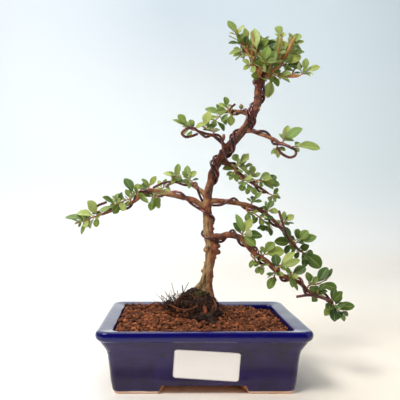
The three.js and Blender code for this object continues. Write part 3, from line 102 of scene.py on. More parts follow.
@dataclass(frozen=True)
class Wound:
    """A length of wire wound on a limb, from one distance along it and one angle to another."""

    limb: str
    start: float
    end: float
    first_turn: float
    last_turn: float


@dataclass(frozen=True)
class Arm:
    """One stem of a spray: the points it runs through, and its leaves.

    A leaf is how far along the arm it stands, its turn in the front view, its lean away from the
    front, its length, and its breadth as a share of the length where it isn't the usual one.
    """

    to: list
    leaves: list


@dataclass(frozen=True)
class Spray:
    """A leafy shoot: it leaves the wood nearest to its root, or carries on from a limb's end."""

    arms: list
    from_end: bool = False
    root: tuple = ()


# Routes: limbs as points along the middle and radii, wires as sections, and leafy shoots

LIMBS = {
    "trunk": ([(6, 4, 60), (6, 4.5, 72), (6.2, 5, 84), (7.6, 5.5, 96), (9.8, 5.5, 109),
        (10.9, 5.5, 119), (8.8, 5.5, 128), (7.4, 6, 141), (6.8, 7, 158), (9, 7, 177), (14.7, 7, 195),
        (25.7, 6.5, 212), (40.5, 6, 229), (50.1, 5, 244.6), (55.4, 5.5, 258), (55.6, 6, 268),
        (57, 6, 281)],
        [7.8, 7.2, 5.3, 5, 5.2, 6.7, 5, 4.5, 4.4, 3.9, 4, 4.3, 4.1, 3.9, 3.7, 3.7, 3.5]),
    "root_flare": ([(6, 5, 86), (2, 4.5, 76), (-2, 4, 66)], [3, 4.2, 4.6]),
    "low_left": ([(7, 7, 154), (-1, 5, 160), (-9, 3, 164), (-27, -1, 168), (-46.5, -5.5, 172),
        (-54, -7, 169), (-60, -9, 163), (-71, -12, 157.5), (-90, -16.5, 150)], [2.9, 1.2]),
    "back_left": ([(7, 7, 164), (3.5, 10, 170), (-3, 15, 175.5), (-10.5, 20, 180), (-18.5, 24.5, 183),
        (-24, 27.5, 182), (-32, 32, 178.5)], [2.4, 1.1]),
    "low_right": ([(9, 5.5, 123), (13, 4.5, 127.5), (20, 3, 128.5), (26, 1, 130.3), (33, -0.7, 129.2),
        (40, -2.7, 125.6), (50, -7, 113.6), (61, -10.5, 106), (66.5, -13, 100), (74, -15.5, 94),
        (83, -18, 90.4), (89, -20, 88), (95, -22.7, 81.5), (103.5, -25, 78.5), (110.5, -27.6, 75)],
        [3.6, 1.3]),
    "mid_right": ([(8, 7, 158), (11, 6.5, 162), (18, 7.6, 162.4), (38, 10.6, 160), (57, 13.5, 154.5),
        (71.3, 16, 144.4), (87, 19, 128), (95, 21, 119)], [2.9, 1.2]),
    "back_right": ([(15, 7, 200), (20, 7.6, 200.5), (27.7, 10.2, 197.6), (35.4, 13, 193.6),
        (41, 15.7, 187.5), (56, 21.2, 178), (69, 25.8, 170.5)], [2.7, 1.1]),
    "high_right": ([(43, 6, 230), (49.6, 3, 229), (55, -1, 226), (67, -10.7, 218.7), (71, -14.5, 215),
        (75.5, -18, 213), (79, -21, 211)], [2.2, 1.1]),
    "high_left": ([(51, 5.5, 243), (47, 7.7, 245.3), (42.3, 10, 247.8), (36.4, 12.4, 249.4),
        (30.4, 14.8, 250.4), (24.3, 17.4, 249.4)], [2.3, 1.1]),
    "front_left": ([(27, 6.5, 213), (22.7, 3, 215.5), (19.4, 0.3, 218.2), (11.7, -5.5, 223),
        (5.4, -9.4, 224), (-4, -15.5, 226)], [1.9, 1]),
    "crown_left": ([(57, 6, 277), (55.2, 4.6, 284.5), (52.5, 3.6, 289), (48, 1, 300), (44, 0, 305)],
        [3.2, 1.4]),
    "crown_right": ([(56.4, 6, 276), (60, 7, 281), (65.3, 8, 284), (73.3, 9.3, 290), (78, 10.4, 296),
        (82.4, 11.7, 305), (89, 14, 319)], [3.4, 1]),
    "crown_low": ([(72, 9, 288), (76, 9.5, 284.5), (85.7, 7.4, 282.5), (94, 5.6, 282.3)], [1.9, 1.1]),
    "crown_twig": ([(78, 10.4, 296), (76.5, 12, 305), (80.5, 15, 318)], [1.5, 0.9]),
    "trunk_stub": ([(50, 5, 245), (53.5, 5, 249), (56, 4, 250.5)], [2.6, 2]),
    "twig_stub": ([(19.4, 0.3, 218.2), (21.5, -0.8, 221.3), (21.7, -1.2, 225)], [1.5, 1.1]),
}

WIRES = {
    "wire_a_c": [
        Free([(-86, -19.5, 161), (-95, -18, 157), (-98, -18, 151)]),
        Wound("low_left", 104, 9, 1180, 200),
        Wound("trunk", 97, 62, -80, 410),
        Wound("low_right", 12, 124, 100, 1720),
        Free([(113, -34, 73), (108, -37, 76), (100, -38, 79), (91, -38, 80.5), (81, -37, 79)]),
    ],
    "wire_b_d": [
        Free([(-46, 28, 176), (-36, 31, 181)]),
        Wound("back_left", 46, 9, 450, -80),
        Wound("trunk", 104, 97, 300, 110),
        Wound("mid_right", 10, 102, 110, -970),
        Free([(100, 17, 113), (96, 13, 115.5), (91, 10.5, 120), (87, 9, 125), (82, 7, 133),
            (79, 6, 141), (75, 4, 153)]),
    ],
    "wire_h_e": [
        Free([(-4, -23, 222), (-10, -25, 219.5), (-15, -26, 219), (-18, -27, 222), (-14, -27, 226),
            (-7, -23.5, 227)]),
        Wound("front_left", 37, 8, 360, -30),
        Wound("trunk", 158, 146, -70, 70),
        Wound("back_right", 9, 62, 60, -700),
    ],
    "wire_g_f": [
        Free([(34, 10, 256), (30.5, 11, 253)]),
        Wound("high_left", 28, 7, 360, 60),
        Wound("trunk", 196, 184, -80, 80),
        Wound("high_right", 9, 47, 70, -430),
        Free([(83, -26, 207), (82.5, -27, 202.5), (78, -27, 200.5), (74, -26, 202), (70, -25, 205),
            (67, -23.5, 210)]),
    ],
    "wire_trunk_left": [
        Wound("trunk", 116, 235, 191, -1230),
    ],
    "wire_trunk_right": [
        Wound("trunk", 122, 229, 161, -1115),
        Wound("crown_right", 6, 15, -60, -200),
    ],
}

SPRAYS = {
    "low_left": [
        Spray([Arm([(-44, -9, 166)], [(1, -105, -10, 13), (1, -66, -14, 12), (1, -40, 30, 8)])]),
        Spray([Arm([(-49, -3, 176)], [(1, 127, 5, 10), (1, 163, 0, 13), (1, -150, -25, 7),
            (1, 80, 45, 9), (1, 110, -30, 7)])]),
        Spray([Arm([(-57, -9, 170), (-63, -8, 169)], [(1, 119, 0, 16), (1, 66, 10, 9), (1, 165, 30, 10),
            (0.8, 150, -35, 7)])]),
        Spray([Arm([(-65, -15, 164), (-73, -17, 161), (-80, -18, 158)], [(0.2, 112, -8, 9),
            (0.25, -126, -20, 8), (0.4, 160, 8, 12), (0.7, 88, 10, 10), (0.8, 60, -25, 7),
            (1, 163, -12, 13), (0.9, 135, 28, 10), (1, -160, -12, 14)])]),
        Spray([Arm([(-96, -19, 148), (-102, -21, 146), (-109, -22, 143)], [(0.2, 102, 0, 17, 0.66),
            (0.3, 165, -10, 16), (0.25, 50, 25, 8), (0.5, 150, 15, 9), (0.55, 105, -35, 7),
            (0.7, 172, -5, 19, 0.45), (0.7, -112, -10, 14, 0.4), (1, -170, 20, 7), (1, -120, -30, 5),
            (0.9, 80, 20, 6)])], from_end=True),
    ],
    "back_left": [
        Spray([Arm([(-18, 23, 187), (-24, 27, 187)], [(0.6, -65, -20, 10), (0.5, -110, -25, 10),
            (1, 75, 0, 13), (1, 160, 10, 13), (1, 140, -25, 9), (1, -130, -35, 10)])]),
        Spray([Arm([(-7, 16, 181), (-12, 17, 185)], [(1, 92, 5, 13), (1, 50, 15, 11), (1, 125, -20, 9),
            (0.4, 20, -5, 7), (0.5, -100, -20, 8)])]),
        Spray([Arm([(-38, 36, 175)], [(1, 165, 0, 9), (1, 110, 20, 10), (1, -140, -10, 8),
            (0.6, 60, -20, 9)])], from_end=True),
    ],
    "low_right": [
        Spray([Arm([(39, -6, 132)], [(1, 105, 0, 19, 0.42), (1, 123, -12, 14), (0.9, 150, -20, 9),
            (1, 58, 5, 17), (1, 3, -6, 18, 0.5), (1, -39, -14, 16)])]),
        Spray([Arm([(46, -9, 112), (51, -11, 107), (56, -12, 103)], [(0.35, -112, -20, 9),
            (1, -125, 10, 9), (1, -90, -20, 9)])]),
        Spray([Arm([(58, -12, 114)], [(1, 52, 5, 14, 0.75), (1, 10, -10, 18, 0.6), (1, 100, 30, 8)])]),
        Spray([Arm([(71, -18, 103)], [(1, 48, 5, 19, 0.42), (1, 19, -10, 19, 0.42), (1, -20, -30, 7)]),
            Arm([(66, -18, 94)], [(1, -118, -5, 13), (1, 170, 10, 7),
            (1, -85, 25, 8)])], root=(70, -20, 98)),
        Spray([Arm([(80, -21, 96)], [(1, 28, 0, 15, 0.66), (1, 110, 15, 8), (1, -80, -30, 11),
            (1, -58, -25, 14, 0.35)])]),
        Spray([Arm([(96, -24, 87), (104, -23, 88), (111, -22, 91)], [(0.2, 100, 0, 11),
            (0.25, 60, -20, 9), (0.55, 58, 0, 17), (1, 55, 12, 13, 0.35), (0.7, -15, -15, 15),
            (0.45, -50, 25, 8)])]),
        Spray([Arm([(101, -31, 82)], [(1, 150, -20, 9), (1, 60, -25, 10), (1, 20, -40, 9)])]),
        Spray([Arm([(114, -30, 72), (118, -31, 67), (121, -32, 64)], [(0.2, 88, 0, 12),
            (0.25, 50, -12, 14), (0.3, 115, 20, 9), (0.35, -125, -10, 12), (0.4, -85, -5, 15),
            (0.35, -150, 25, 9), (0.6, 5, -8, 16), (0.6, 70, 10, 13), (0.65, 35, -30, 10),
            (0.8, -60, 15, 9), (1, -70, -20, 8), (1, -20, 10, 9), (1, -110, 20, 7),
            (1, 20, -10, 7)])], from_end=True),
    ],
    "mid_right": [
        Spray([Arm([(51, 11, 162)], [(1, 48, 0, 14, 0.4), (1, 15, -10, 9), (1, 140, 0, 6),
            (1, 80, 30, 8)])]),
        Spray([Arm([(66, 13, 154)], [(1, 100, 10, 9, 0.4), (1, 58, -5, 13), (1, -5, -25, 11),
            (1, 140, 30, 8)])]),
        Spray([Arm([(45, 9, 153), (53, 10, 150), (61, 11, 144), (67, 12, 138)],
            [(0.15, -92, -5, 10, 0.75), (0.55, -130, -10, 8), (0.6, -70, 15, 8), (1, -170, -10, 11),
            (1, -140, 15, 9), (1, -75, 0, 10), (1, -115, 30, 9)])]),
        Spray([Arm([(84, 20, 142)], [(1, 38, 0, 12), (1, 78, 10, 12, 0.4), (1, 10, 25, 9)])]),
        Spray([Arm([(88, 13, 121)], [(1, 172, -10, 15, 0.72), (1, -118, 0, 11), (1, 112, -8, 17)])]),
        Spray([Arm([(99, 24, 123)], [(1, 88, 5, 12), (1, 48, -5, 15), (1, 20, -12, 19),
            (1, 68, 25, 18, 0.4), (1, -5, 20, 10)])]),
        Spray([Arm([(101, 23, 112.5), (105, 23, 111)], [(1, -82, -5, 14), (1, -43, -8, 21, 0.66),
            (1, 0, 10, 10), (0.8, 40, -15, 7), (0.6, -120, 20, 9)])], from_end=True),
    ],
    "back_right": [
        Spray([Arm([(38.5, 11.5, 199), (43, 15, 196)], [(0.45, 122, 0, 10, 0.8), (1, 85, -5, 12),
            (1, 58, 10, 12), (1, 15, -25, 9)]), Arm([(32.5, 7, 190)], [(1, -160, -10, 8),
            (1, -118, 0, 9), (1, -75, -10, 10)])], root=(36, 8, 197)),
        Spray([Arm([(42, 13, 182), (50, 17, 177)], [(0.4, -100, -10, 9, 0.8), (1, -60, 0, 11),
            (1, -100, 15, 9)])]),
        Spray([Arm([(51, 21, 187)], [(1, 75, 15, 12), (1, 125, -10, 9), (1, 20, -20, 10),
            (1, 50, 40, 9)])]),
        Spray([Arm([(57, 24, 183), (63, 26, 183), (69, 28, 180)], [(0.4, 30, 5, 13, 0.66),
            (0.55, -2, -10, 13, 0.66), (1, 35, 0, 13, 0.66), (1, 8, -12, 14, 0.66), (1, -18, 10, 14),
            (1, 60, 30, 9)])]),
        Spray([Arm([(75, 28, 168)], [(1, -15, 0, 8), (1, 55, 10, 9), (1, -70, -20, 7),
            (1, 20, -40, 6)])], from_end=True),
    ],
    "high_right": [
        Spray([Arm([(75, -16, 218)], [(1, 72, 0, 14), (1, 35, -8, 19, 0.66), (1, 8, -22, 9),
            (1, 110, 25, 9)])]),
        Spray([Arm([(84, -23, 211)], [(1, 0, -5, 22, 0.6), (1, 40, 30, 8)])], from_end=True),
        Spray([Arm([(69, -12, 210)], [(1, -72, 10, 9), (1, -130, 10, 7), (1, -100, 35, 7)])]),
    ],
    "high_left": [
        Spray([Arm([(19, 20, 245.5), (16, 22, 242)], [(0.3, 157, 0, 16), (0.3, 118, -10, 10),
            (0.9, -48, -5, 13), (0.9, 170, 10, 8), (1, -100, -20, 7)])], from_end=True),
        Spray([Arm([(26, 13, 254)], [(1, 96, -5, 10, 0.8), (1, 150, 20, 9), (1, 40, 30, 7)]),
            Arm([(31, 10, 246)], [(1, -95, -8, 11, 0.8), (1, -128, 8, 11)])], root=(28.5, 10, 252)),
    ],
    "front_left": [
        Spray([Arm([(-10, -19, 227), (-13, -21, 229)], [(0.3, 30, -5, 12), (0.3, 95, 15, 10),
            (1, 127, 0, 14, 0.45), (1, 148, -10, 16, 0.45), (1, -160, 20, 8)])], from_end=True),
        Spray([Arm([(13, -4, 226), (8, -7, 229), (3, -11, 230)], [(0.3, 75, -5, 10),
            (0.35, 170, -25, 9), (0.4, 110, 30, 8), (1, 77, 0, 15, 0.66), (1, 15, 20, 8),
            (1, 130, 25, 8)])]),
    ],
    "crown_left": [
        Spray([Arm([(40, -1, 308.5), (36, -2, 313), (33, -4, 319)], [(0.15, -159, 0, 15, 0.35),
            (0.2, 130, 15, 9), (0.25, 98, -12, 12), (0.4, 82, -5, 14), (0.5, 172, 5, 11),
            (0.55, 120, -22, 9), (0.35, 40, 25, 9), (1, 117, 0, 15), (1, 60, 20, 8),
            (1, 170, -15, 7)])], from_end=True),
        Spray([Arm([(47, -1, 290)], [(1, 150, -5, 9, 0.75), (1, -150, -10, 8), (1, 170, 25, 7)])]),
        Spray([Arm([(51, -5, 297), (51.5, -7, 302)], [(1, 94, 0, 22, 0.45), (1, 68, -18, 13),
            (1, 120, 15, 9)])]),
        Spray([Arm([(54, 3, 302), (58, 2, 307)], [(0.9, 28, -5, 16, 0.66), (1, 82, 10, 13, 0.66),
            (1, 50, 25, 13), (1, 5, 25, 12)])]),
        Spray([Arm([(58, -2, 287), (59, -9, 291)], [(1, 78, -10, 14, 0.8), (1, -92, -18, 9, 0.4),
            (1, 15, 0, 11), (1, 45, 15, 10)])]),
    ],
    "crown_twig": [
        Spray([Arm([(80, 16, 324)], [(1, 118, 0, 11, 0.9), (1, 60, 15, 7),
            (1, 20, -20, 5)])], from_end=True),
    ],
    "crown_right": [
        Spray([Arm([(80, 7, 304)], [(1, 112, -5, 16), (1, 140, 35, 11), (1, -160, -10, 7)])]),
        Spray([Arm([(86, 13, 303), (92, 12, 303)], [(0.4, 58, 0, 15, 0.66), (0.4, 25, 20, 10),
            (1, 42, -5, 14), (1, 90, 15, 10), (1, 15, -25, 9)])]),
        Spray([Arm([(82, 6, 293)], [(1, 27, -5, 17, 0.6), (1, -6, -12, 16, 0.66), (1, 60, 20, 11),
            (1, -20, 15, 9)])]),
        Spray([Arm([(74, 3, 281)], [(1, 15, -25, 12), (1, -28, -10, 14, 0.4)]), Arm([(68, 5, 279)],
            [(1, -109, -5, 18, 0.55), (1, -75, 8, 12), (1, -35, -8, 11, 0.75)])], root=(69, 3, 284)),
        Spray([Arm([(69, 15, 296)], [(1, 80, 25, 12), (1, 40, 35, 12), (1, 120, 30, 12),
            (1, 10, 45, 10)])]),
    ],
    "crown_low": [
        Spray([Arm([(99, 4, 286)], [(1, 92, 5, 12), (1, 22, -5, 16, 0.42), (1, 60, -25, 9),
            (1, -10, 20, 9)])], from_end=True),
    ],
}


def unit(vectors: Rows) -> Rows:
    """Vectors brought to length one, row by row."""
    vectors = np.asarray(vectors, float)
    return vectors / np.maximum(np.linalg.norm(vectors, axis=-1, keepdims=True), 1e-12)


def ways_across(ahead: Rows, front: tuple = (0, -1, 0)) -> tuple:
    """The two ways across a direction, one of them turned to the front.

    Args:
        ahead: the direction, or rows of them.
        front: where the front is.

    Returns:
        The way that lies nearest to the front, and the way beside it.
    """
    front = np.broadcast_to(np.asarray(front, float), np.shape(ahead))
    front = unit(front - (front * ahead).sum(-1, keepdims=True) * ahead)
    return front, np.cross(ahead, front)


def turned(vectors: Rows, axis: Rows, angle: Rows) -> Rows:
    """Vectors turned about axes of length one, by angles in radians.

    Args:
        vectors: one vector, or rows of them.
        axis: what they turn about.
        angle: how far they turn.

    Returns:
        The turned vectors.
    """
    axis = np.broadcast_to(axis, np.shape(vectors))
    along = (vectors * axis).sum(-1, keepdims=True) * axis
    across = np.cross(axis, vectors)
    return vectors * np.cos(angle) + across * np.sin(angle) + along * (1 - np.cos(angle))


def smoothstep(values: Rows, low: float, high: float) -> Rows:
    """0 below low, 1 above high, and a smooth rise between them."""
    share = np.clip((np.asarray(values, float) - low) / (high - low), 0, 1)
    return share * share * (3 - 2 * share)


class Noise:
    """Smooth repeatable noise in space, between 0 and 1."""

    def __init__(self, seed: int) -> None:
        """Args: seed picks the pattern."""
        self.table = np.random.default_rng(seed).random((64, 64, 64))

    def at(self, points: Rows, size: float) -> Rows:
        """The noise at some points.

        Args:
            points: x, y, z rows.
            size: the size of one blotch, in the points' own unit.

        Returns:
            One value for each point.
        """
        scaled = np.asarray(points, float) / size
        low = np.floor(scaled).astype(int)
        share = scaled - low
        share = share * share * (3 - 2 * share)
        total = np.zeros(len(scaled))
        for corner in range(8):
            bits = np.array([corner & 1, (corner >> 1) & 1, (corner >> 2) & 1])
            weight = np.prod(np.where(bits, share, 1 - share), axis=1)
            total += weight * self.table[tuple(((low + bits) % 64).T)]
        return total

    def rough(self, points: Rows, size: float, layers: int = 3) -> Rows:
        """Noise with finer layers on it, each half the size and half the strength.

        Args:
            points: x, y, z rows.
            size: the size of the coarsest blotches.
            layers: how many layers there are.

        Returns:
            One value for each point.
        """
        total = np.zeros(len(points))
        for layer in range(layers):
            total += self.at(np.asarray(points) + 7.3 * layer, size / 2**layer) / 2**layer
        return total / (2 - 2 ** (1 - layers))


class Curve:
    """A smooth route through points, with distances measured along it."""

    def __init__(self, points: Rows, centripetal: bool = False) -> None:
        """Args: points are the places it passes; centripetal keeps tight turns from looping."""
        self.points = np.asarray(points, float)
        self.centripetal = centripetal
        self.steps = np.linspace(0, 1, 401)
        spans = np.linalg.norm(np.diff(self.place(self.steps), axis=0), axis=1)
        self.distances = np.concatenate([[0], np.cumsum(spans)])
        self.length = float(self.distances[-1])

    def place(self, t: Rows) -> Rows:
        """Places on the route.

        Args:
            t: shares of the route that count each span between two points the same.

        Returns:
            x, y, z rows.
        """
        t = np.atleast_1d(np.asarray(t, float))
        spans = len(self.points) - 1
        low = np.minimum(np.floor(spans * t).astype(int), spans - 1)
        w = (spans * t - low)[:, None]
        first, last = self.points[:2], self.points[-2:]
        padded = np.vstack([2 * first[0] - first[1], self.points, 2 * last[1] - last[0]])
        a, b, c, d = (padded[low + k] for k in range(4))
        leave, arrive = (c - a) / 2, (d - b) / 2
        if self.centripetal:
            ab, bc, cd = (
                np.maximum(np.linalg.norm(q - p, axis=1) ** 0.5, 1e-2)[:, None]
                for p, q in ((a, b), (b, c), (c, d))
            )
            leave = ((b - a) / ab - (c - a) / (ab + bc) + (c - b) / bc) * bc
            arrive = ((c - b) / bc - (d - b) / (bc + cd) + (d - c) / cd) * bc
        square = -3 * b + 3 * c - 2 * leave - arrive
        cube = 2 * b - 2 * c + leave + arrive
        return b + leave * w + square * w**2 + cube * w**3

    def share(self, distance: Rows) -> Rows:
        """The share of the route that lies at a distance along it."""
        return np.interp(np.clip(distance, 0, self.length), self.distances, self.steps)

    def direction(self, t: Rows) -> Rows:
        """The way the route runs at shares of it."""
        return unit(self.place(np.minimum(t + 1e-4, 1)) - self.place(np.maximum(t - 1e-4, 0)))


class Limb(Curve):
    """A route with a thickness: radii spread evenly over its points' count."""

    def __init__(self, points: Rows, radii: list) -> None:
        """Args: points are the places along the middle; radii run from its foot to its tip."""
        super().__init__(points)
        self.radii = np.asarray(radii, float)

    def at(self, distance: Rows) -> tuple:
        """Places, directions and radii at distances along the limb.

        Args:
            distance: one distance, or several.

        Returns:
            One row of each for each distance.
        """
        t = self.share(np.atleast_1d(np.asarray(distance, float)))
        knots = np.linspace(0, 1, len(self.radii))
        return self.place(t), self.direction(t), np.interp(t, knots, self.radii)

    def one(self, distance: float) -> tuple:
        """The place, direction and radius at one distance along the limb."""
        place, direction, radius = self.at(distance)
        return place[0], direction[0], float(radius[0])


@dataclass
class Lengths:
    """Short straight lengths with a radius at each end, for measuring clearances."""

    start: Rows
    end: Rows
    start_radius: Rows
    end_radius: Rows
    along: Rows
    owner: list

    @classmethod
    def of_limb(cls, name: str, limb: Limb) -> "Lengths":
        """A limb cut into lengths of about the step.

        Args:
            name: the limb's name.
            limb: the limb.

        Returns:
            Its lengths.
        """
        count = max(1, math.ceil(limb.length / LENGTH_STEP))
        along = limb.length * np.arange(count + 1) / count
        place, _, radius = limb.at(along)
        ends = np.stack([along[:-1], along[1:]], axis=1)
        return cls(place[:-1], place[1:], radius[:-1], radius[1:], ends, [name] * count)

    @classmethod
    def of_route(cls, points: Rows, radius: float) -> "Lengths":
        """The spans of a route of one thickness.

        Args:
            points: the route's points.
            radius: its radius.

        Returns:
            Its lengths.
        """
        count = len(points) - 1
        same = np.full(count, radius)
        return cls(points[:-1], points[1:], same, same, np.zeros((count, 2)), [""] * count)

    @classmethod
    def joined(cls, parts: list) -> "Lengths":
        """Several sets of lengths as one, which is empty where there are none.

        Args:
            parts: the sets.

        Returns:
            All their lengths, in the same order.
        """
        parts = [cls.of_route(np.zeros((1, 3)), 0.0), *parts]
        names = ("start", "end", "start_radius", "end_radius", "along")
        stacked = [np.concatenate([getattr(part, name) for part in parts]) for name in names]
        return cls(*stacked, [name for part in parts for name in part.owner])

    def nearest(self, points: Rows) -> tuple:
        """The nearest length to each point.

        Args:
            points: x, y, z rows.

        Returns:
            The gaps to its surface, the ways off it, its numbers, and the shares along it.
        """
        points = np.asarray(points, float)
        span = self.end - self.start
        square = np.maximum((span**2).sum(1), 1e-12)
        share = np.clip((points @ span.T - (self.start * span).sum(1)) / square, 0, 1)
        away = points[:, None] - self.start[None] - share[..., None] * span[None]
        radius = self.start_radius + share * (self.end_radius - self.start_radius)
        gap = np.sqrt((away**2).sum(2)) - radius
        best = gap.argmin(1)
        rows = np.arange(len(points))
        return gap[rows, best], away[rows, best], best, share[rows, best]

    def push_off(self, points: Rows, clearance: float) -> Rows:
        """The points, moved straight off the nearest length where they are too close to it.

        Args:
            points: x, y, z rows.
            clearance: the least gap to the surface.

        Returns:
            The points in their new places.
        """
        if not self.owner:
            return points
        gap, away, _, _ = self.nearest(points)
        return points + unit(away) * np.maximum(clearance - gap, 0)[:, None]


@dataclass
class Leaf:
    """A leaf's place and lie. Its half breadth is that of its widest part."""

    base: Rows
    along: Rows
    face: Rows
    side: Rows
    long: float
    half: float
    arch: float

    @classmethod
    def lying(cls, base: Rows, turn: float, lean: float, long: float, breadth: float,
              roll: float, arch: float) -> "Leaf":
        """A leaf by how it lies.

        Args:
            base: where it stands.
            turn: its turn in the front view.
            lean: its lean away from the front.
            long: its length.
            breadth: its breadth, as a share of the length.
            roll: its turn about its own length.
            arch: how far it bows, as a share of the length.

        Returns:
            The leaf.
        """
        turn, lean = math.radians(turn), math.radians(lean)
        flat = math.cos(lean)
        along = np.array([math.cos(turn) * flat, math.sin(lean), math.sin(turn) * flat])
        face = turned(ways_across(along, (0, -0.78, 0.62))[0], along, math.radians(roll))
        return cls(base, along, face, np.cross(along, face), long, long * breadth / 2, arch)

    def middle(self, u: Rows, v: Rows, half: Rows, fold: Rows | None = None) -> Rows:
        """Places on the middle sheet.

        Args:
            u: shares of the length.
            v: shares of the half breadth.
            half: the half breadth there.
            fold: how far the sheet rises to its sides, if not by the usual fold.

        Returns:
            x, y, z rows.
        """
        rise = LEAF_FOLD * np.abs(v) * half if fold is None else fold
        return (
            self.base
            + (u * self.long)[..., None] * self.along
            + (v * half)[..., None] * self.side
            + (rise - self.arch * self.long * u * u)[..., None] * self.face
        )

    def ridge(self, u: float) -> Rows:
        """A corner of the solid leaf's upper side, on its midrib."""
        u = np.array([u])
        return self.middle(u, 0 * u, 0 * u)[0] + LEAF_THICK / 2 * self.face

    def first_station(self) -> float:
        """The share of the length where the solid leaf's first row of corners stands.

        Returns:
            A share from 0 at the base to 1 at the tip.
        """
        if self.long > 16.5:
            return 0.3
        return 0.42 if self.long > 10.5 else 0.62


@dataclass
class LeafyStem:
    """One arm of a spray, with its wanted leaves and the leaves found for them."""

    stem: Limb
    leaves: list
    grown: list = field(default_factory=list)

    def corners(self, along: float) -> Rows:
        """The four corners of the solid stem's section.

        Args:
            along: the section's distance along the stem.

        Returns:
            Four x, y, z rows.
        """
        place, direction, radius = self.stem.one(along)
        chord = unit(self.stem.points[-1] - self.stem.points[0])
        across, side = ways_across(direction, (1, 0, 0) if abs(chord[1]) > 0.8 else (0, -1, 0))
        angles = np.radians([45, 135, 225, 315])[:, None]
        return place + (across * np.cos(angles) + side * np.sin(angles)) * radius

    def bases(self, wanted: float) -> Rows:
        """Where a leaf may stand on the solid stem.

        Args:
            wanted: the share of the stem where it is wanted.

        Returns:
            Middles of the stem's end and faces, and of the stem itself by the wanted place.
        """
        long = self.stem.length
        count = max(1, math.floor((long - 0.9) / LEAF_SPACING))
        starts = long - 0.2 - LEAF_SPACING * np.arange(count, -1, -1)
        sections = [self.corners(start) for start in starts]
        found = [sections[-1].mean(0)]
        for low, high in zip(sections, sections[1:]):
            middles = (low + high) / 2
            found.extend((middles + np.roll(middles, -1, axis=0)) / 2)
        return np.array([*found, self.stem.one(min(wanted * long, long - 0.7))[0]])


class Draws:
    """Repeatable draws between 0 and 1, the same as the solids were made with."""

    def __init__(self, start: int) -> None:
        """Args: start is the first number."""
        self.number = start

    def next(self) -> float:
        """The next draw."""
        self.number = (self.number * 1664525 + 1013904223) % 4294967296
        return self.number / 4294967296


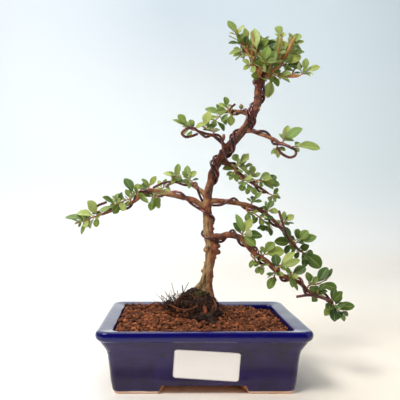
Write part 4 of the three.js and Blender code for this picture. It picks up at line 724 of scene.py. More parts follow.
@dataclass
class TreeRoutes:
    """Every limb, wire and leafy stem of the tree as routes, laid as the solids were."""

    limbs: dict = field(default_factory=dict)
    wires: dict = field(default_factory=dict)
    sprays: dict = field(default_factory=dict)
    pull: float = 0.25
    rounds: int = 40
    push_rounds: int = 12
    tries: int = 60
    leaf_match: float = 0.03

    def lay(self, offset: Rows, frame: dict) -> None:
        """Lays every route, and finds each leaf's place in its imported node.

        Args:
            offset: the pot's frame in the part's frame, in millimetres.
            frame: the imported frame, with its nodes.
        """
        self.limbs = {name: Limb(points, radii) for name, (points, radii) in LIMBS.items()}
        self.wood = Lengths.joined([Lengths.of_limb(*item) for item in self.limbs.items()])
        laid: list = []
        for name, sections in WIRES.items():
            self.wires[name] = self.lay_wire(sections, Lengths.joined(laid))
            laid.append(Lengths.of_route(self.wires[name], WIRE_RADIUS))
        self.wire_lengths = Lengths.joined(laid)
        for limb_name, rows in SPRAYS.items():
            for number, row in enumerate(rows, 1):
                stems = self.stems_of(row, self.limbs[limb_name])
                leafy = [LeafyStem(stem, arm.leaves) for stem, arm in zip(stems, row.arms)]
                self.sprays[f"spray_{limb_name}_{number}"] = leafy
        draws = Draws(20)
        for name, leafy in self.sprays.items():
            corners = rows_of(frame["nodes"][name].data.vertices, "co") / MM - offset
            for stem in leafy:
                found = [self.find_leaf(stem, row, draws, corners) for row in stem.leaves]
                stem.grown = [leaf for leaf in found if leaf]
                if len(stem.grown) < len(found):
                    log.warning("%s: a leaf has no match in its node", name)

    def lay_wire(self, sections: list, laid: Lengths) -> Rows:
        """Lays a wire, pulled tight and held off the wood and off the wires laid before it.

        Args:
            sections: its free and wound lengths.
            laid: the wires laid before it.

        Returns:
            The points of its route.
        """
        points, wound = [], []
        for section in sections:
            if isinstance(section, Free):
                points.extend(section.points)
                wound.extend([False] * len(section.points))
                continue
            turn, run = section.last_turn - section.first_turn, section.end - section.start
            count = math.ceil(max(abs(turn) / 30, abs(run) / 3))
            share = np.arange(count + 1) / count
            place, direction, radius = self.limbs[section.limb].at(section.start + share * run)
            front, side = ways_across(direction)
            angle = np.radians(section.first_turn + share * turn)[:, None]
            reach = (radius + WIRE_RADIUS + WIRE_GAP)[:, None]
            points.extend(place + (front * np.cos(angle) + side * np.sin(angle)) * reach)
            wound.extend([True] * (count + 1))
        route, inner = np.array(points, float), np.array(wound)
        inner[[0, -1]] = False
        for number in range(self.rounds):
            if number < self.rounds - self.push_rounds:
                middle = route.copy()
                middle[1:-1] = (route[:-2] + route[2:]) / 2
                route[inner] += (middle[inner] - route[inner]) * self.pull
            for lengths in (laid, self.wood):
                route = lengths.push_off(route, WIRE_RADIUS + WIRE_GAP)
        return route

    def stem_from(self, start: list, arm: Arm, radius: float) -> Limb:
        """Grows a stem, held off the wood and the wires.

        Args:
            start: its first points.
            arm: the arm whose points it then runs through.
            radius: its radius at the start.

        Returns:
            The stem.
        """
        wanted = Limb([*start, *arm.to], [radius, STEM_TIP])
        count = max(2, math.ceil(wanted.length / 2.2))
        places = wanted.at(wanted.length * np.arange(1, count + 1) / count)[0]
        places = places[np.linalg.norm(places - start[0], axis=1) >= 2]
        if len(places):
            for lengths in (self.wood, self.wire_lengths):
                places = lengths.push_off(places, STEM_RADIUS + SEAT_GAP + 0.3)
        return Limb([*start, *places], [radius, STEM_TIP])

    def arms_from(self, root: Rows, off: Rows, row: Spray, radius: float) -> list:
        """The arms of a spray: the first straight off its root, the others forking from it.

        Args:
            root: where it leaves the wood.
            off: the way off the wood.
            row: the spray.
            radius: the radius at its root.

        Returns:
            Its stems.
        """
        first = self.stem_from([root, root + off * 1.2], row.arms[0], radius)
        place, _, fork_radius = first.one(1)
        return [first, *(self.stem_from([place], arm, fork_radius - 0.1) for arm in row.arms[1:])]

    def clears(self, stem: Limb, lengths: Lengths, start: float) -> bool:
        """Whether a stem passes clear of some lengths from a distance along it on.

        Args:
            stem: the stem.
            lengths: what it has to clear.
            start: where along the stem it begins to matter.

        Returns:
            True where it clears them all.
        """
        along = np.arange(start, stem.length + 1e-9, 0.8)
        if not len(along):
            return True
        place, _, radius = stem.at(along)
        return bool((lengths.nearest(place)[0] >= radius + 0.15).all())

    def stems_of(self, row: Spray, limb: Limb) -> list:
        """The arms of one spray, from the first root by its wanted place that clears the wires.

        Args:
            row: the spray.
            limb: the limb whose end it may carry on from.

        Returns:
            Its stems.
        """
        if row.from_end:
            place, direction, radius = limb.one(limb.length)
            return self.arms_from(place + direction * SEAT_GAP, direction, row, radius)
        wanted = np.array([row.root or row.arms[0].to[0]], float)
        _, away, best, share = self.wood.nearest(wanted)
        host = self.limbs[self.wood.owner[best[0]]]
        low, high = self.wood.along[best[0]]
        along = low + share[0] * (high - low)
        for k in range(self.tries):
            ring = k // 12
            shift = math.ceil((k % 12) / 2) * (1.2 if k % 2 else -1.2)
            angle = math.radians(math.ceil(ring / 2) * (40 if ring % 2 else -40))
            place, direction, radius = host.one(min(max(along + shift, 1), host.length - 0.8))
            off = turned(ways_across(direction, away[0])[0], direction, angle)
            root = place + off * (radius + SEAT_GAP)
            if self.wire_lengths.nearest(root[None])[0][0] < STEM_RADIUS + SEAT_GAP:
                continue
            stems = self.arms_from(root, off, row, STEM_RADIUS)
            if all(self.clears(stem, self.wire_lengths, 0) and self.clears(stem, self.wood, 2)
                   for stem in stems):
                return stems
        raise ValueError("a stem has no clear root")

    def find_leaf(self, stem: LeafyStem, row: tuple, draws: Draws, corners: Rows) -> Leaf | None:
        """The leaf that its wanted place and lie grew into.

        Args:
            stem: the leafy stem it stands on.
            row: the wanted leaf.
            draws: the draws its roll and arch come from.
            corners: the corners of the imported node, in the pot's frame.

        Returns:
            The leaf, or None where none of its tries stands in the node.
        """
        wanted, turn, lean, long, *rest = row
        lie = [long, rest[0] if rest else LEAF_BREADTH]
        lie += [(draws.next() - 0.5) * 50, 0.06 + 0.12 * draws.next()]
        bases = stem.bases(wanted)
        for k in range(self.tries):
            swing = math.sqrt(k)
            tried = turn + 8 * swing * math.cos(2.4 * k)
            leant = min(max(lean + 11 * swing * math.sin(2.4 * k), -80), 80)
            leaf = Leaf.lying(np.zeros(3), tried, leant, *lie)
            marks = (leaf.ridge(1), leaf.ridge(leaf.first_station()))
            gaps = [np.linalg.norm((bases + mark)[:, None] - corners, axis=2).min(1)
                    for mark in marks]
            worst = np.max(gaps, axis=0)
            if worst.min() < self.leaf_match:
                return replace(leaf, base=bases[worst.argmin()])
        return None


# Meshes


def tints(red: Rows, green: Rows = 0, blue: Rows = 0, alpha: Rows = 0) -> Rows:
    """Four numbers for each corner, of which each may be one for all or one for each."""
    return np.stack(np.broadcast_arrays(red, green, blue, alpha), axis=-1).astype(float)


@dataclass
class Shape:
    """A mesh in the making: its corners and faces, and what its materials read from them."""

    corners: list = field(default_factory=list)
    faces: list = field(default_factory=list)
    tints: list = field(default_factory=list)
    maps: list = field(default_factory=list)
    slots: list = field(default_factory=list)
    count: int = 0

    def add(self, corners: Rows, faces: list, tint: Rows = (0, 0, 0, 0), place: Rows = (0, 0),
            slot: int = 0) -> None:
        """Adds a closed or open part.

        Args:
            corners: x, y, z rows in millimetres.
            faces: the places in corners of each face, turned so that it faces out.
            tint: four numbers that a material reads, for all corners or for each.
            place: where the part lies on its map, for all corners or for each.
            slot: the number of the material on these faces.
        """
        corners = np.asarray(corners, float)
        self.corners.append(corners)
        self.faces.extend([tuple(int(i) + self.count for i in face) for face in faces])
        self.tints.append(np.broadcast_to(np.asarray(tint, float), (len(corners), 4)))
        self.maps.append(np.broadcast_to(np.asarray(place, float), (len(corners), 2)))
        self.slots.extend([slot] * len(faces))
        self.count += len(corners)

    def rod(self, points: Rows, radii: Rows, sides: int, tint: object = (0, 0, 0, 0),
            slot: int = 0, dome: float = 0.8) -> None:
        """Adds a round rod along a route.

        Args:
            points: places along its middle.
            radii: its radius, for all of them or for each.
            sides: the count of its sides.
            tint: its tint, or what gives it from how far along a corner is.
            slot: the number of its material.
            dome: how far each end stands out, as a share of the radius there.
        """
        corners, faces, lie = tube(points, radii, sides, dome)
        self.add(corners, faces, tint(lie[:, 0]) if callable(tint) else tint, lie, slot)


def placed(name: str, mesh: Mesh, materials: list, tint: Rows | None = None,
           sharp: float = 0) -> Object:
    """Makes a scene object for a mesh.

    Args:
        name: the object's name.
        mesh: its mesh.
        materials: its materials, in the order of the slots.
        tint: four numbers for each corner, which the materials read as a colour.
        sharp: the angle in degrees over which an edge stays sharp, or 0 for none.

    Returns:
        The object.
    """
    mesh.polygons.foreach_set("use_smooth", [True] * len(mesh.polygons))
    if tint is not None:
        layer = mesh.color_attributes.new("tint", "FLOAT_COLOR", "POINT")
        layer.data.foreach_set("color", np.clip(tint, 0, 1).ravel())
    if sharp:
        mesh.set_sharp_from_angle(angle=math.radians(sharp))
    mesh.validate()
    mesh.update()
    piece = bpy.data.objects.new(name, mesh)
    bpy.context.scene.collection.objects.link(piece)
    for material in materials:
        mesh.materials.append(material)
    return piece


def dress(piece: Object, slot: str, *nodes: str) -> Object:
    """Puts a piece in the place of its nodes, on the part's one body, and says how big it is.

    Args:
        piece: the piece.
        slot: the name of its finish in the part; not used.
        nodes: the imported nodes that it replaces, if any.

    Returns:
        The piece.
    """
    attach(piece, "root")
    if nodes:
        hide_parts(*nodes)
    mesh = piece.data
    log.info("%s: %d corners, %d faces", piece.name, len(mesh.vertices), len(mesh.polygons))
    return piece


@dataclass
class Maker:
    """What every maker of pieces is given.

    The offset is the pot's frame in the part's frame, in millimetres. The materials are in the
    order of the slots of its shapes.
    """

    offset: Rows
    materials: list

    def built(self, shape: Shape, name: str, sharp: float = 0) -> Object:
        """Makes a shape's object.

        Args:
            shape: the shape.
            name: the piece's name.
            sharp: the angle in degrees over which an edge stays sharp, or 0 for none.

        Returns:
            The object, linked to the scene.
        """
        mesh = bpy.data.meshes.new(name)
        places = (np.concatenate(shape.corners) + self.offset) * MM
        mesh.from_pydata(places.tolist(), [], shape.faces)
        mesh.polygons.foreach_set("material_index", shape.slots)
        layer = mesh.uv_layers.new(name="lie")
        loops = np.zeros(len(mesh.loops), int)
        mesh.loops.foreach_get("vertex_index", loops)
        layer.data.foreach_set("uv", np.concatenate(shape.maps)[loops].ravel())
        return placed(name, mesh, self.materials, np.concatenate(shape.tints), sharp)

    def skinned(self, mesh: Mesh, name: str, corners: Rows, tint: Rows) -> Object:
        """A remeshed skin as an object, with its moved corners and its tint.

        Args:
            mesh: the skin.
            name: the piece's name.
            corners: its corners in millimetres, in the pot's frame.
            tint: four numbers for each corner.

        Returns:
            The object, linked to the scene.
        """
        mesh.name = name
        mesh.vertices.foreach_set("co", ((corners + self.offset) * MM).astype(np.float32).ravel())
        return placed(name, mesh, self.materials, tint)


def frames_of(points: Rows) -> tuple:
    """Directions along a route, and two ways across it that turn as little as they can.

    Args:
        points: places along the route.

    Returns:
        The directions, and the two ways across, a row for each place.
    """
    ahead = unit(np.gradient(points, axis=0))
    across = np.zeros_like(points)
    across[0] = ways_across(ahead[0], (0, -1, 0.2) if abs(ahead[0][1]) < 0.9 else (1, 0, 0))[0]
    for k in range(1, len(points)):
        across[k] = ways_across(ahead[k], across[k - 1])[0]
    return ahead, across, np.cross(ahead, across)


def tube(points: Rows, radii: Rows, sides: int, dome: float) -> tuple:
    """A round rod along a route, closed at both ends.

    Args:
        points: places along its middle.
        radii: its radius, for all of them or for each.
        sides: the count of its sides.
        dome: how far each end stands out, as a share of the radius there.

    Returns:
        Its corners, faces and, for each corner, how far along and round the rod it lies.
    """
    points = np.asarray(points, float)
    radii = np.broadcast_to(np.asarray(radii, float), (len(points),))
    ahead, across, side = frames_of(points)
    angles = 2 * np.pi * np.arange(sides)[:, None] / sides
    wheel = across[:, None] * np.cos(angles) + side[:, None] * np.sin(angles)
    rings = points[:, None] + wheel * radii[:, None, None]
    first, last = -ahead[0] * radii[0] * dome, ahead[-1] * radii[-1] * dome
    shrink, rise = 0.72, 0.7
    cap = points[0] + first * rise + wheel[0] * radii[0] * shrink
    end = points[-1] + last * rise + wheel[-1] * radii[-1] * shrink
    rings = np.concatenate([cap[None], rings, end[None]])
    count = len(rings)
    corners = np.concatenate([rings.reshape(-1, 3), [points[0] + first, points[-1] + last]])
    faces = []
    top = (count - 1) * sides
    for i in range(sides):
        j = (i + 1) % sides
        faces += [(r + i, r + j, r + sides + j, r + sides + i) for r in range(0, top, sides)]
        faces += [(count * sides, j, i), (count * sides + 1, top + i, top + j)]
    along = np.repeat(np.linspace(0, 1, count), sides)
    lie = np.stack([along, np.tile(np.arange(sides) / sides, count)], axis=1)
    return corners, faces, np.concatenate([lie, [[0, 0], [1, 0]]])


def stacked(rings: list) -> tuple:
    """The corners and faces of a closed skin of rings, one over the other.

    Args:
        rings: the rings from the bottom up, each with as many places.

    Returns:
        Its corners, and its faces, which turn out where the rings run anticlockwise.
    """
    sides = len(rings[0])
    top = (len(rings) - 1) * sides
    faces = [
        (r + i, r + (i + 1) % sides, r + sides + (i + 1) % sides, r + sides + i)
        for r in range(0, top, sides) for i in range(sides)
    ]
    faces += [tuple(range(top, top + sides)), tuple(range(sides - 1, -1, -1))]
    return np.concatenate(rings), faces


def ball(levels: int) -> tuple:
    """Corners and faces of a unit ball of even triangles.

    Args:
        levels: how fine it is.

    Returns:
        Its corners and its faces.
    """
    made = bmesh.new()
    bmesh.ops.create_icosphere(made, subdivisions=levels, radius=1)
    corners = np.array([corner.co[:] for corner in made.verts])
    faces = np.array([[corner.index for corner in face.verts] for face in made.faces])
    made.free()
    return corners, faces


def crumbs(levels: int, sizes: Rows, rng: Rng, cuts: int = 6) -> tuple:
    """Broken grains: balls with flat sides knocked off them.

    Args:
        levels: how fine the balls are.
        sizes: the radius of each grain.
        rng: the draws of their shapes.
        cuts: flat sides on each grain.

    Returns:
        Corners of all grains as (grain, corner, xyz), and the faces of one.
    """
    base, faces = ball(levels)
    count = len(sizes)
    shape = np.repeat(base[None], count, axis=0)
    for _ in range(cuts):
        normal = unit(rng.normal(size=(count, 3)))
        depth = rng.uniform(0.5, 0.85, count)
        over = np.maximum(np.einsum("gci,gi->gc", shape, normal) - depth[:, None], 0)
        shape = shape - over[..., None] * normal[:, None]
    shape = shape * rng.uniform(0.75, 1.25, (count, 1, 3))
    spin = unit(rng.normal(size=(count, 1, 3)))
    shape = turned(shape, spin, rng.uniform(0, 2 * np.pi, (count, 1, 1)))
    return shape * sizes[:, None, None], faces


def remeshed(shape: Shape, voxel: float, smoothing: int) -> Mesh:
    """One even skin round overlapping parts.

    Args:
        shape: the parts.
        voxel: the size of the skin's cells in millimetres.
        smoothing: rounds of smoothing.

    Returns:
        The mesh, in millimetres in the pot's frame.
    """
    mesh = bpy.data.meshes.new("parts")
    mesh.from_pydata(np.concatenate(shape.corners).tolist(), [], shape.faces)
    work = bpy.data.objects.new("parts", mesh)
    bpy.context.scene.collection.objects.link(work)
    cells = work.modifiers.new("cells", "REMESH")
    cells.mode, cells.voxel_size = "VOXEL", voxel
    soft = work.modifiers.new("soft", "SMOOTH")
    soft.factor, soft.iterations = 0.5, smoothing
    graph = bpy.context.evaluated_depsgraph_get()
    made = bpy.data.meshes.new_from_object(work.evaluated_get(graph))
    bpy.data.objects.remove(work)
    bpy.data.meshes.remove(mesh)
    return made


def rows_of(items: object, name: str) -> Rows:
    """What each of a mesh's items holds under a name, as x, y, z rows.

    Args:
        items: the mesh's items, such as its corners.
        name: what is read.

    Returns:
        One row for each item.
    """
    rows = np.zeros(len(items) * 3, np.float32)
    items.foreach_get(name, rows)
    return rows.reshape(-1, 3).astype(float)


# Finishes


class Graph:
    """Adds nodes to a tree and joins them."""

    def __init__(self, tree: NodeTree, effects: object = None) -> None:
        """Args: tree is where the nodes go; effects are the shared groups that it may use."""
        self.tree = tree
        self.effects = effects

    def fill(self, node: Node, inputs: dict) -> Node:
        """Sets a node's inputs, by links where a value is another node's output.

        Args:
            node: the node.
            inputs: what each input takes.

        Returns:
            The node.
        """
        for name, value in inputs.items():
            if isinstance(value, NodeSocket):
                self.tree.links.new(value, node.inputs[name])
            else:
                node.inputs[name].default_value = value
        return node

    def add(self, kind: str, inputs: dict | None = None, **settings: object) -> Node:
        """Adds a node.

        Args:
            kind: the node's type, without its ShaderNode prefix.
            inputs: what each input socket takes: another node's output, or a value.
            settings: the node's own options.

        Returns:
            The node.
        """
        node = self.tree.nodes.new("ShaderNode" + kind)
        for name, value in settings.items():
            setattr(node, name, value)
        return self.fill(node, inputs or {})

    @cached_property
    def place(self) -> NodeSocket:
        """Coordinates that stay with the piece, in metres."""
        return self.add("TexCoord").outputs["Object"]

    def axes(self, vector: NodeSocket) -> object:
        """The X, Y and Z of a vector."""
        return self.add("SeparateXYZ", {"Vector": vector}).outputs

    def stretched(self, *scale: float) -> NodeSocket:
        """The piece's coordinates, scaled along each axis."""
        return self.add("Mapping", {"Vector": self.place, "Scale": scale}).outputs[0]

    def tint(self) -> tuple:
        """The four numbers that the mesh carries at each corner.

        Returns:
            The tint's red, green, blue and alpha.
        """
        read = self.add("Attribute", attribute_name="tint").outputs
        parts = self.add("SeparateColor", {"Color": read["Color"]}).outputs
        return parts["Red"], parts["Green"], parts["Blue"], read["Alpha"]

    def math(self, operation: str, a: object, b: object = 0.0, clamp: bool = False) -> NodeSocket:
        """A sum of one or two values, of which one at least changes over the surface."""
        return self.add("Math", {0: a, 1: b}, operation=operation, use_clamp=clamp).outputs[0]

    def times(self, a: object, b: object) -> NodeSocket:
        """One value times another."""
        return self.math("MULTIPLY", a, b)

    def most(self, a: object, b: object) -> NodeSocket:
        """The greater of two values."""
        return self.math("MAXIMUM", a, b)

    def ramp(self, value: NodeSocket, low: float, high: float, kind: str = "SMOOTHSTEP"
             ) -> NodeSocket:
        """0 where the value is under low, 1 over high. Low may be the greater of the two.

        Args:
            value: what it reads.
            low: where it is 0.
            high: where it is 1.
            kind: how it runs between them.

        Returns:
            The share from 0 to 1.
        """
        ends = (low, high, 0.0, 1.0) if low < high else (high, low, 1.0, 0.0)
        inputs = dict(zip(("From Min", "From Max", "To Min", "To Max"), ends), Value=value)
        return self.add("MapRange", inputs, interpolation_type=kind).outputs["Result"]

    def span(self, value: NodeSocket, low: float, high: float) -> NodeSocket:
        """A value from 0 to 1 spread between low and high."""
        inputs = {"Value": value, "To Min": low, "To Max": high}
        return self.add("MapRange", inputs).outputs["Result"]

    def mix(self, share: object, first: object, second: object) -> NodeSocket:
        """One colour laid over another by a share that changes over the surface."""
        return self.add("Mix", {0: share, 6: first, 7: second}, data_type="RGBA").outputs[2]

    def bump(self, height: NodeSocket, depth: float, strength: float) -> NodeSocket:
        """A normal from a height, which stands for a depth in metres."""
        inputs = {"Height": height, "Distance": depth, "Strength": strength}
        return self.add("Bump", inputs).outputs["Normal"]

    def noise(self, at: NodeSocket, scale: object, detail: float) -> NodeSocket:
        """A soft noise from 0 to 1."""
        return self.add("TexNoise", {"Vector": at, "Scale": scale, "Detail": detail}).outputs[0]

    def group(self, tree: NodeTree, at: NodeSocket | None, **values: float) -> NodeSocket:
        """What a shared group puts out at a place, which is the piece's own if none is given."""
        return self.add("Group", {"Vector": at or self.place, **values}, node_tree=tree).outputs[0]

    def mottle(self, scale: float, low: float = 0.35, high: float = 0.65,
               at: NodeSocket | None = None) -> NodeSocket:
        """Soft uneven patches as a mask."""
        return self.group(self.effects.mottle, at, Scale=scale, Low=low, High=high)

    def specks(self, scale: float, radius: float, share: float) -> NodeSocket:
        """Small round spots as a mask."""
        return self.group(self.effects.specks, None, Scale=scale, Radius=radius, Share=share)

    def grain(self, coarse: float, fine: float = 1500.0, fineness: float = 0.4,
              at: NodeSocket | None = None) -> NodeSocket:
        """A rough height."""
        return self.group(self.effects.grain, at, Coarse=coarse, Fine=fine, Fineness=fineness)


def started(name: str, output: str, **values: float) -> tuple:
    """Starts a node group that takes a vector and some values, and gives one.

    Args:
        name: the group's name.
        output: the name of what it gives.
        values: its inputs, with their usual values.

    Returns:
        The group, its graph, its input sockets by name, and the socket of its output.
    """
    group = bpy.data.node_groups.new(name, "ShaderNodeTree")
    new_socket = group.interface.new_socket
    new_socket("Vector", in_out="INPUT", socket_type="NodeSocketVector")
    for label, value in values.items():
        socket = new_socket(label, in_out="INPUT", socket_type="NodeSocketFloat")
        socket.default_value = value
    new_socket(output, in_out="OUTPUT", socket_type="NodeSocketFloat")
    start, end = group.nodes.new("NodeGroupInput"), group.nodes.new("NodeGroupOutput")
    return group, Graph(group), start.outputs, end.inputs[output]


class Effects:
    """The shared effects, each built once as a node group."""

    def __init__(self) -> None:
        """Builds every group."""
        self.mottle = self.make_mottle()
        self.specks = self.make_specks()
        self.grain = self.make_grain()

    def make_mottle(self) -> NodeTree:
        """Builds soft uneven patches as a mask.

        Returns:
            The group.
        """
        group, graph, start, end = started("mottle", "Mask", Scale=50.0, Low=0.35, High=0.65)
        noise = graph.noise(start["Vector"], start["Scale"], 4.0)
        spread = {"Value": noise, "From Min": start["Low"], "From Max": start["High"]}
        mask = graph.add("MapRange", spread, interpolation_type="SMOOTHSTEP")
        group.links.new(mask.outputs["Result"], end)
        return group

    def make_specks(self) -> NodeTree:
        """Builds small round spots, in some of the cells of a scattered pattern, as a mask.

        Returns:
            The group.
        """
        group, graph, start, end = started("specks", "Mask", Scale=200.0, Radius=0.2, Share=0.3)
        cells = graph.add("TexVoronoi", {"Vector": start["Vector"], "Scale": start["Scale"]})
        near = graph.math("SUBTRACT", start["Radius"], cells.outputs["Distance"])
        chosen = graph.add("SeparateColor", {"Color": cells.outputs["Color"]}).outputs["Red"]
        picked = graph.math("LESS_THAN", chosen, start["Share"])
        group.links.new(graph.times(graph.ramp(near, 0.0, 0.06), picked), end)
        return group

    def make_grain(self) -> NodeTree:
        """Builds a rough height: coarse lumps with fine grain on them.

        Returns:
            The group.
        """
        group, graph, start, end = started("grain", "Height", Coarse=300.0, Fine=1500.0,
                                           Fineness=0.4)
        lumps = graph.noise(start["Vector"], start["Coarse"], 3.0)
        dust = graph.noise(start["Vector"], start["Fine"], 2.0)
        total = graph.math("ADD", lumps, graph.times(dust, start["Fineness"]))
        group.links.new(total, end)
        return group


def rgb(*screen: float) -> tuple:
    """A screen colour given as 0 to 255, as the linear colour that shaders take."""
    shares = [value / 255 for value in screen]
    return (*(s / 12.92 if s <= 0.04045 else ((s + 0.055) / 1.055) ** 2.4 for s in shares), 1.0)


@dataclass(frozen=True)
class Finish:
    """What all finishes share. The sockets method of each gives what its shader takes."""

    name: str

    def material(self, effects: Effects) -> Material:
        """Builds the material.

        Args:
            effects: the shared groups.

        Returns:
            The material.
        """
        material = bpy.data.materials.new(self.name)
        material.use_nodes = True
        graph = Graph(material.node_tree, effects)
        graph.fill(graph.tree.nodes["Principled BSDF"], self.sockets(graph))
        return material


@dataclass(frozen=True)
class GlazeFinish(Finish):
    """Cobalt glaze on brown clay, with pits, and bare clay under the feet."""

    name: str = "cobalt_glaze"
    deep: tuple = rgb(25, 11, 56)
    bright: tuple = rgb(37, 19, 78)
    thin: tuple = rgb(64, 58, 118)
    lip: tuple = rgb(12, 9, 92)
    pit: tuple = rgb(8, 8, 34)
    clay: tuple = rgb(236, 204, 184)
    burnt_and_underside_shade: tuple = rgb(206, 142, 94)
    bare_height: float = 0.0024

    def sockets(self, graph: Graph) -> dict:
        """The tint's red is how thin an edge wears the glaze, its green the underside, which is painted
        darker as shade.

        Args:
            graph: the graph of its material.

        Returns:
            What its shader's inputs take.
        """
        edge, under, _, _ = graph.tint()
        colour = graph.mix(graph.mottle(38.0), self.deep, self.bright)
        streaks = graph.mottle(1.0, 0.5, 0.75, graph.stretched(60.0, 60.0, 420.0))
        colour = graph.mix(graph.times(streaks, 0.08), colour, self.thin)
        worn = graph.times(edge, graph.span(graph.mottle(160.0), 0.75, 1.0))
        colour = graph.mix(worn, colour, self.lip)
        blots = graph.specks(70.0, 0.22, 0.22)
        colour = graph.mix(graph.times(blots, 0.45), colour, self.pit)
        pits = graph.specks(95.0, 0.12, 0.3)
        colour = graph.mix(pits, colour, self.pit)
        wave = graph.times(graph.noise(graph.place, 55.0, 2.0), 0.0016)
        line = graph.math("ADD", graph.axes(graph.place)["Z"], wave)
        foot = graph.ramp(line, self.bare_height + 0.0012, self.bare_height + 0.0008)
        bare = graph.most(foot, under)
        burn = graph.times(graph.mottle(70.0), 0.3)
        # Painted shade: the underside takes the darker burn colour in full; elsewhere the burn patches
        # are the clay's own
        clay = graph.mix(graph.most(burn, under), self.clay, self.burnt_and_underside_shade)
        facing = graph.axes(graph.add("NewGeometry").outputs["Normal"])
        hanging = graph.times(graph.ramp(facing["Z"], -0.05, -0.15), 0.75)
        gloss = graph.most(hanging, graph.ramp(facing["Z"], 0.4, 0.85))
        corner = graph.math("ABSOLUTE", graph.times(facing["X"], facing["Y"]))
        gloss = graph.most(gloss, graph.times(graph.ramp(corner, 0.12, 0.4), 0.6))
        rough = graph.math("ADD", graph.span(bare, 0.1, 0.8), graph.times(pits, 0.2))
        sunk = graph.math("SUBTRACT", graph.grain(60.0, 900.0, 0.04), graph.times(pits, 0.8))
        return {
            "Base Color": graph.mix(bare, colour, clay),
            "Roughness": rough,
            "Specular IOR Level": 0.1,
            "Coat Weight": graph.times(gloss, graph.span(bare, 1.0, 0.0)),
            "Coat Roughness": 0.04,
            "Normal": graph.bump(sunk, 0.0006, 0.5),
        }


@dataclass(frozen=True)
class GranuleFinish(Finish):
    """Baked red clay, each granule with a tone of its own, and painted shade low on the granules and
    between them.
    """

    name: str = "baked_granules"
    pale: tuple = rgb(180, 106, 62)
    red: tuple = rgb(110, 57, 34)
    dark: tuple = rgb(50, 28, 21)
    dust: tuple = rgb(180, 122, 84)
    # Painted shade: the colour of the gaps between granules
    gap: tuple = rgb(24, 12, 9)

    def sockets(self, graph: Graph) -> dict:
        """The tint's red picks each granule's own tone, its green is painted shade, deepest low on each
        granule and on the bed between them.

        Args:
            graph: the graph of its material.

        Returns:
            What its shader's inputs take.
        """
        shade, deep, _, _ = graph.tint()
        colour = graph.mix(graph.ramp(shade, 0.0, 0.5), self.dark, self.red)
        colour = graph.mix(graph.ramp(shade, 0.55, 1.0), colour, self.pale)
        spots = graph.mottle(900.0)
        colour = graph.mix(graph.times(spots, 0.22), colour, self.dust)
        return {
            # Painted shade: darker low on each granule and on the bed
            "Base Color": graph.mix(deep, colour, self.gap),
            "Roughness": graph.span(spots, 0.85, 1.0),
            "Specular IOR Level": 0.25,
            "Normal": graph.bump(graph.grain(900.0, 3500.0, 0.5), 0.0008, 0.7),
        }


@dataclass(frozen=True)
class PeatFinish(Finish):
    """Old wet peat with root fibres, and moss where the mesh says so."""

    name: str = "peat_and_roots"
    dark: tuple = rgb(26, 19, 15)
    brown: tuple = rgb(66, 42, 30)
    root: tuple = rgb(122, 72, 48)
    cut: tuple = rgb(158, 78, 52)
    moss: tuple = rgb(118, 116, 52)

    def sockets(self, graph: Graph) -> dict:
        """The tint's red is for roots, its green for moss, its blue for a freshly cut face.

        Args:
            graph: the graph of its material.

        Returns:
            What its shader's inputs take.
        """
        root, moss, cut, _ = graph.tint()
        patches = graph.mottle(260.0)
        colour = graph.mix(patches, self.dark, self.brown)
        colour = graph.mix(root, colour, self.root)
        colour = graph.mix(cut, colour, self.cut)
        green = graph.times(moss, graph.span(graph.mottle(1100.0), 0.2, 1.0))
        return {
            "Base Color": graph.mix(green, colour, self.moss),
            "Roughness": graph.span(patches, 0.95, 0.7),
            "Specular IOR Level": 0.3,
            "Normal": graph.bump(graph.grain(700.0, 2600.0, 0.6), 0.0012, 0.8),
        }


@dataclass(frozen=True)
class BarkFinish(Finish):
    """Bark that runs from tan at the trunk's foot to dark red-brown on the branches."""

    name: str = "bark"
    tan: tuple = rgb(180, 146, 98)
    brown: tuple = rgb(148, 82, 54)
    red: tuple = rgb(84, 46, 36)
    orange: tuple = rgb(196, 132, 76)
    pale: tuple = rgb(206, 166, 122)
    crack_and_hollow_shade: tuple = rgb(46, 28, 22)
    lichen: tuple = rgb(136, 128, 82)
    cut: tuple = rgb(214, 178, 130)

    def sockets(self, graph: Graph) -> dict:
        """The tint is the bark's tone, which turns redder up the tree and is painted lighter on the
        left side and darker on the right as light and shade; how deep in cracks and hollows, where
        painted shade darkens it; how young; and a cut face.

        Args:
            graph: the graph of its material.

        Returns:
            What its shader's inputs take.
        """
        tone_and_side_shade, crack_and_hollow_shade, young, cut = graph.tint()
        colour = graph.mix(graph.ramp(tone_and_side_shade, 0.0, 0.6), self.tan, self.brown)
        colour = graph.mix(graph.ramp(tone_and_side_shade, 0.5, 1.0), colour, self.red)
        colour = graph.mix(young, colour, self.orange)
        low = graph.ramp(tone_and_side_shade, 0.9, 0.2)
        grey = graph.times(graph.mottle(120.0, 0.5, 0.72), graph.span(low, 0.1, 0.4))
        colour = graph.mix(grey, colour, self.lichen)
        rings = graph.mottle(260.0, 0.5, 0.7, graph.stretched(1.0, 1.0, 2.2))
        rings = graph.times(rings, graph.span(low, 0.12, 0.4))
        colour = graph.mix(rings, colour, self.pale)
        fibre = graph.stretched(1.0, 1.0, 0.25)
        flecks = graph.mottle(900.0, at=fibre)
        # Painted shade in the hollows, with the cracks' own dark colour and the bark's dark flecks
        dark = graph.math("ADD", crack_and_hollow_shade, graph.times(flecks, 0.3), True)
        colour = graph.mix(dark, colour, self.crack_and_hollow_shade)
        height = graph.grain(700.0, 2400.0, 0.5, fibre)
        return {
            "Base Color": graph.mix(cut, colour, self.cut),
            "Roughness": graph.span(flecks, 0.5, 0.85),
            "Specular IOR Level": 0.4,
            "Normal": graph.bump(height, 0.001, 0.8),
        }


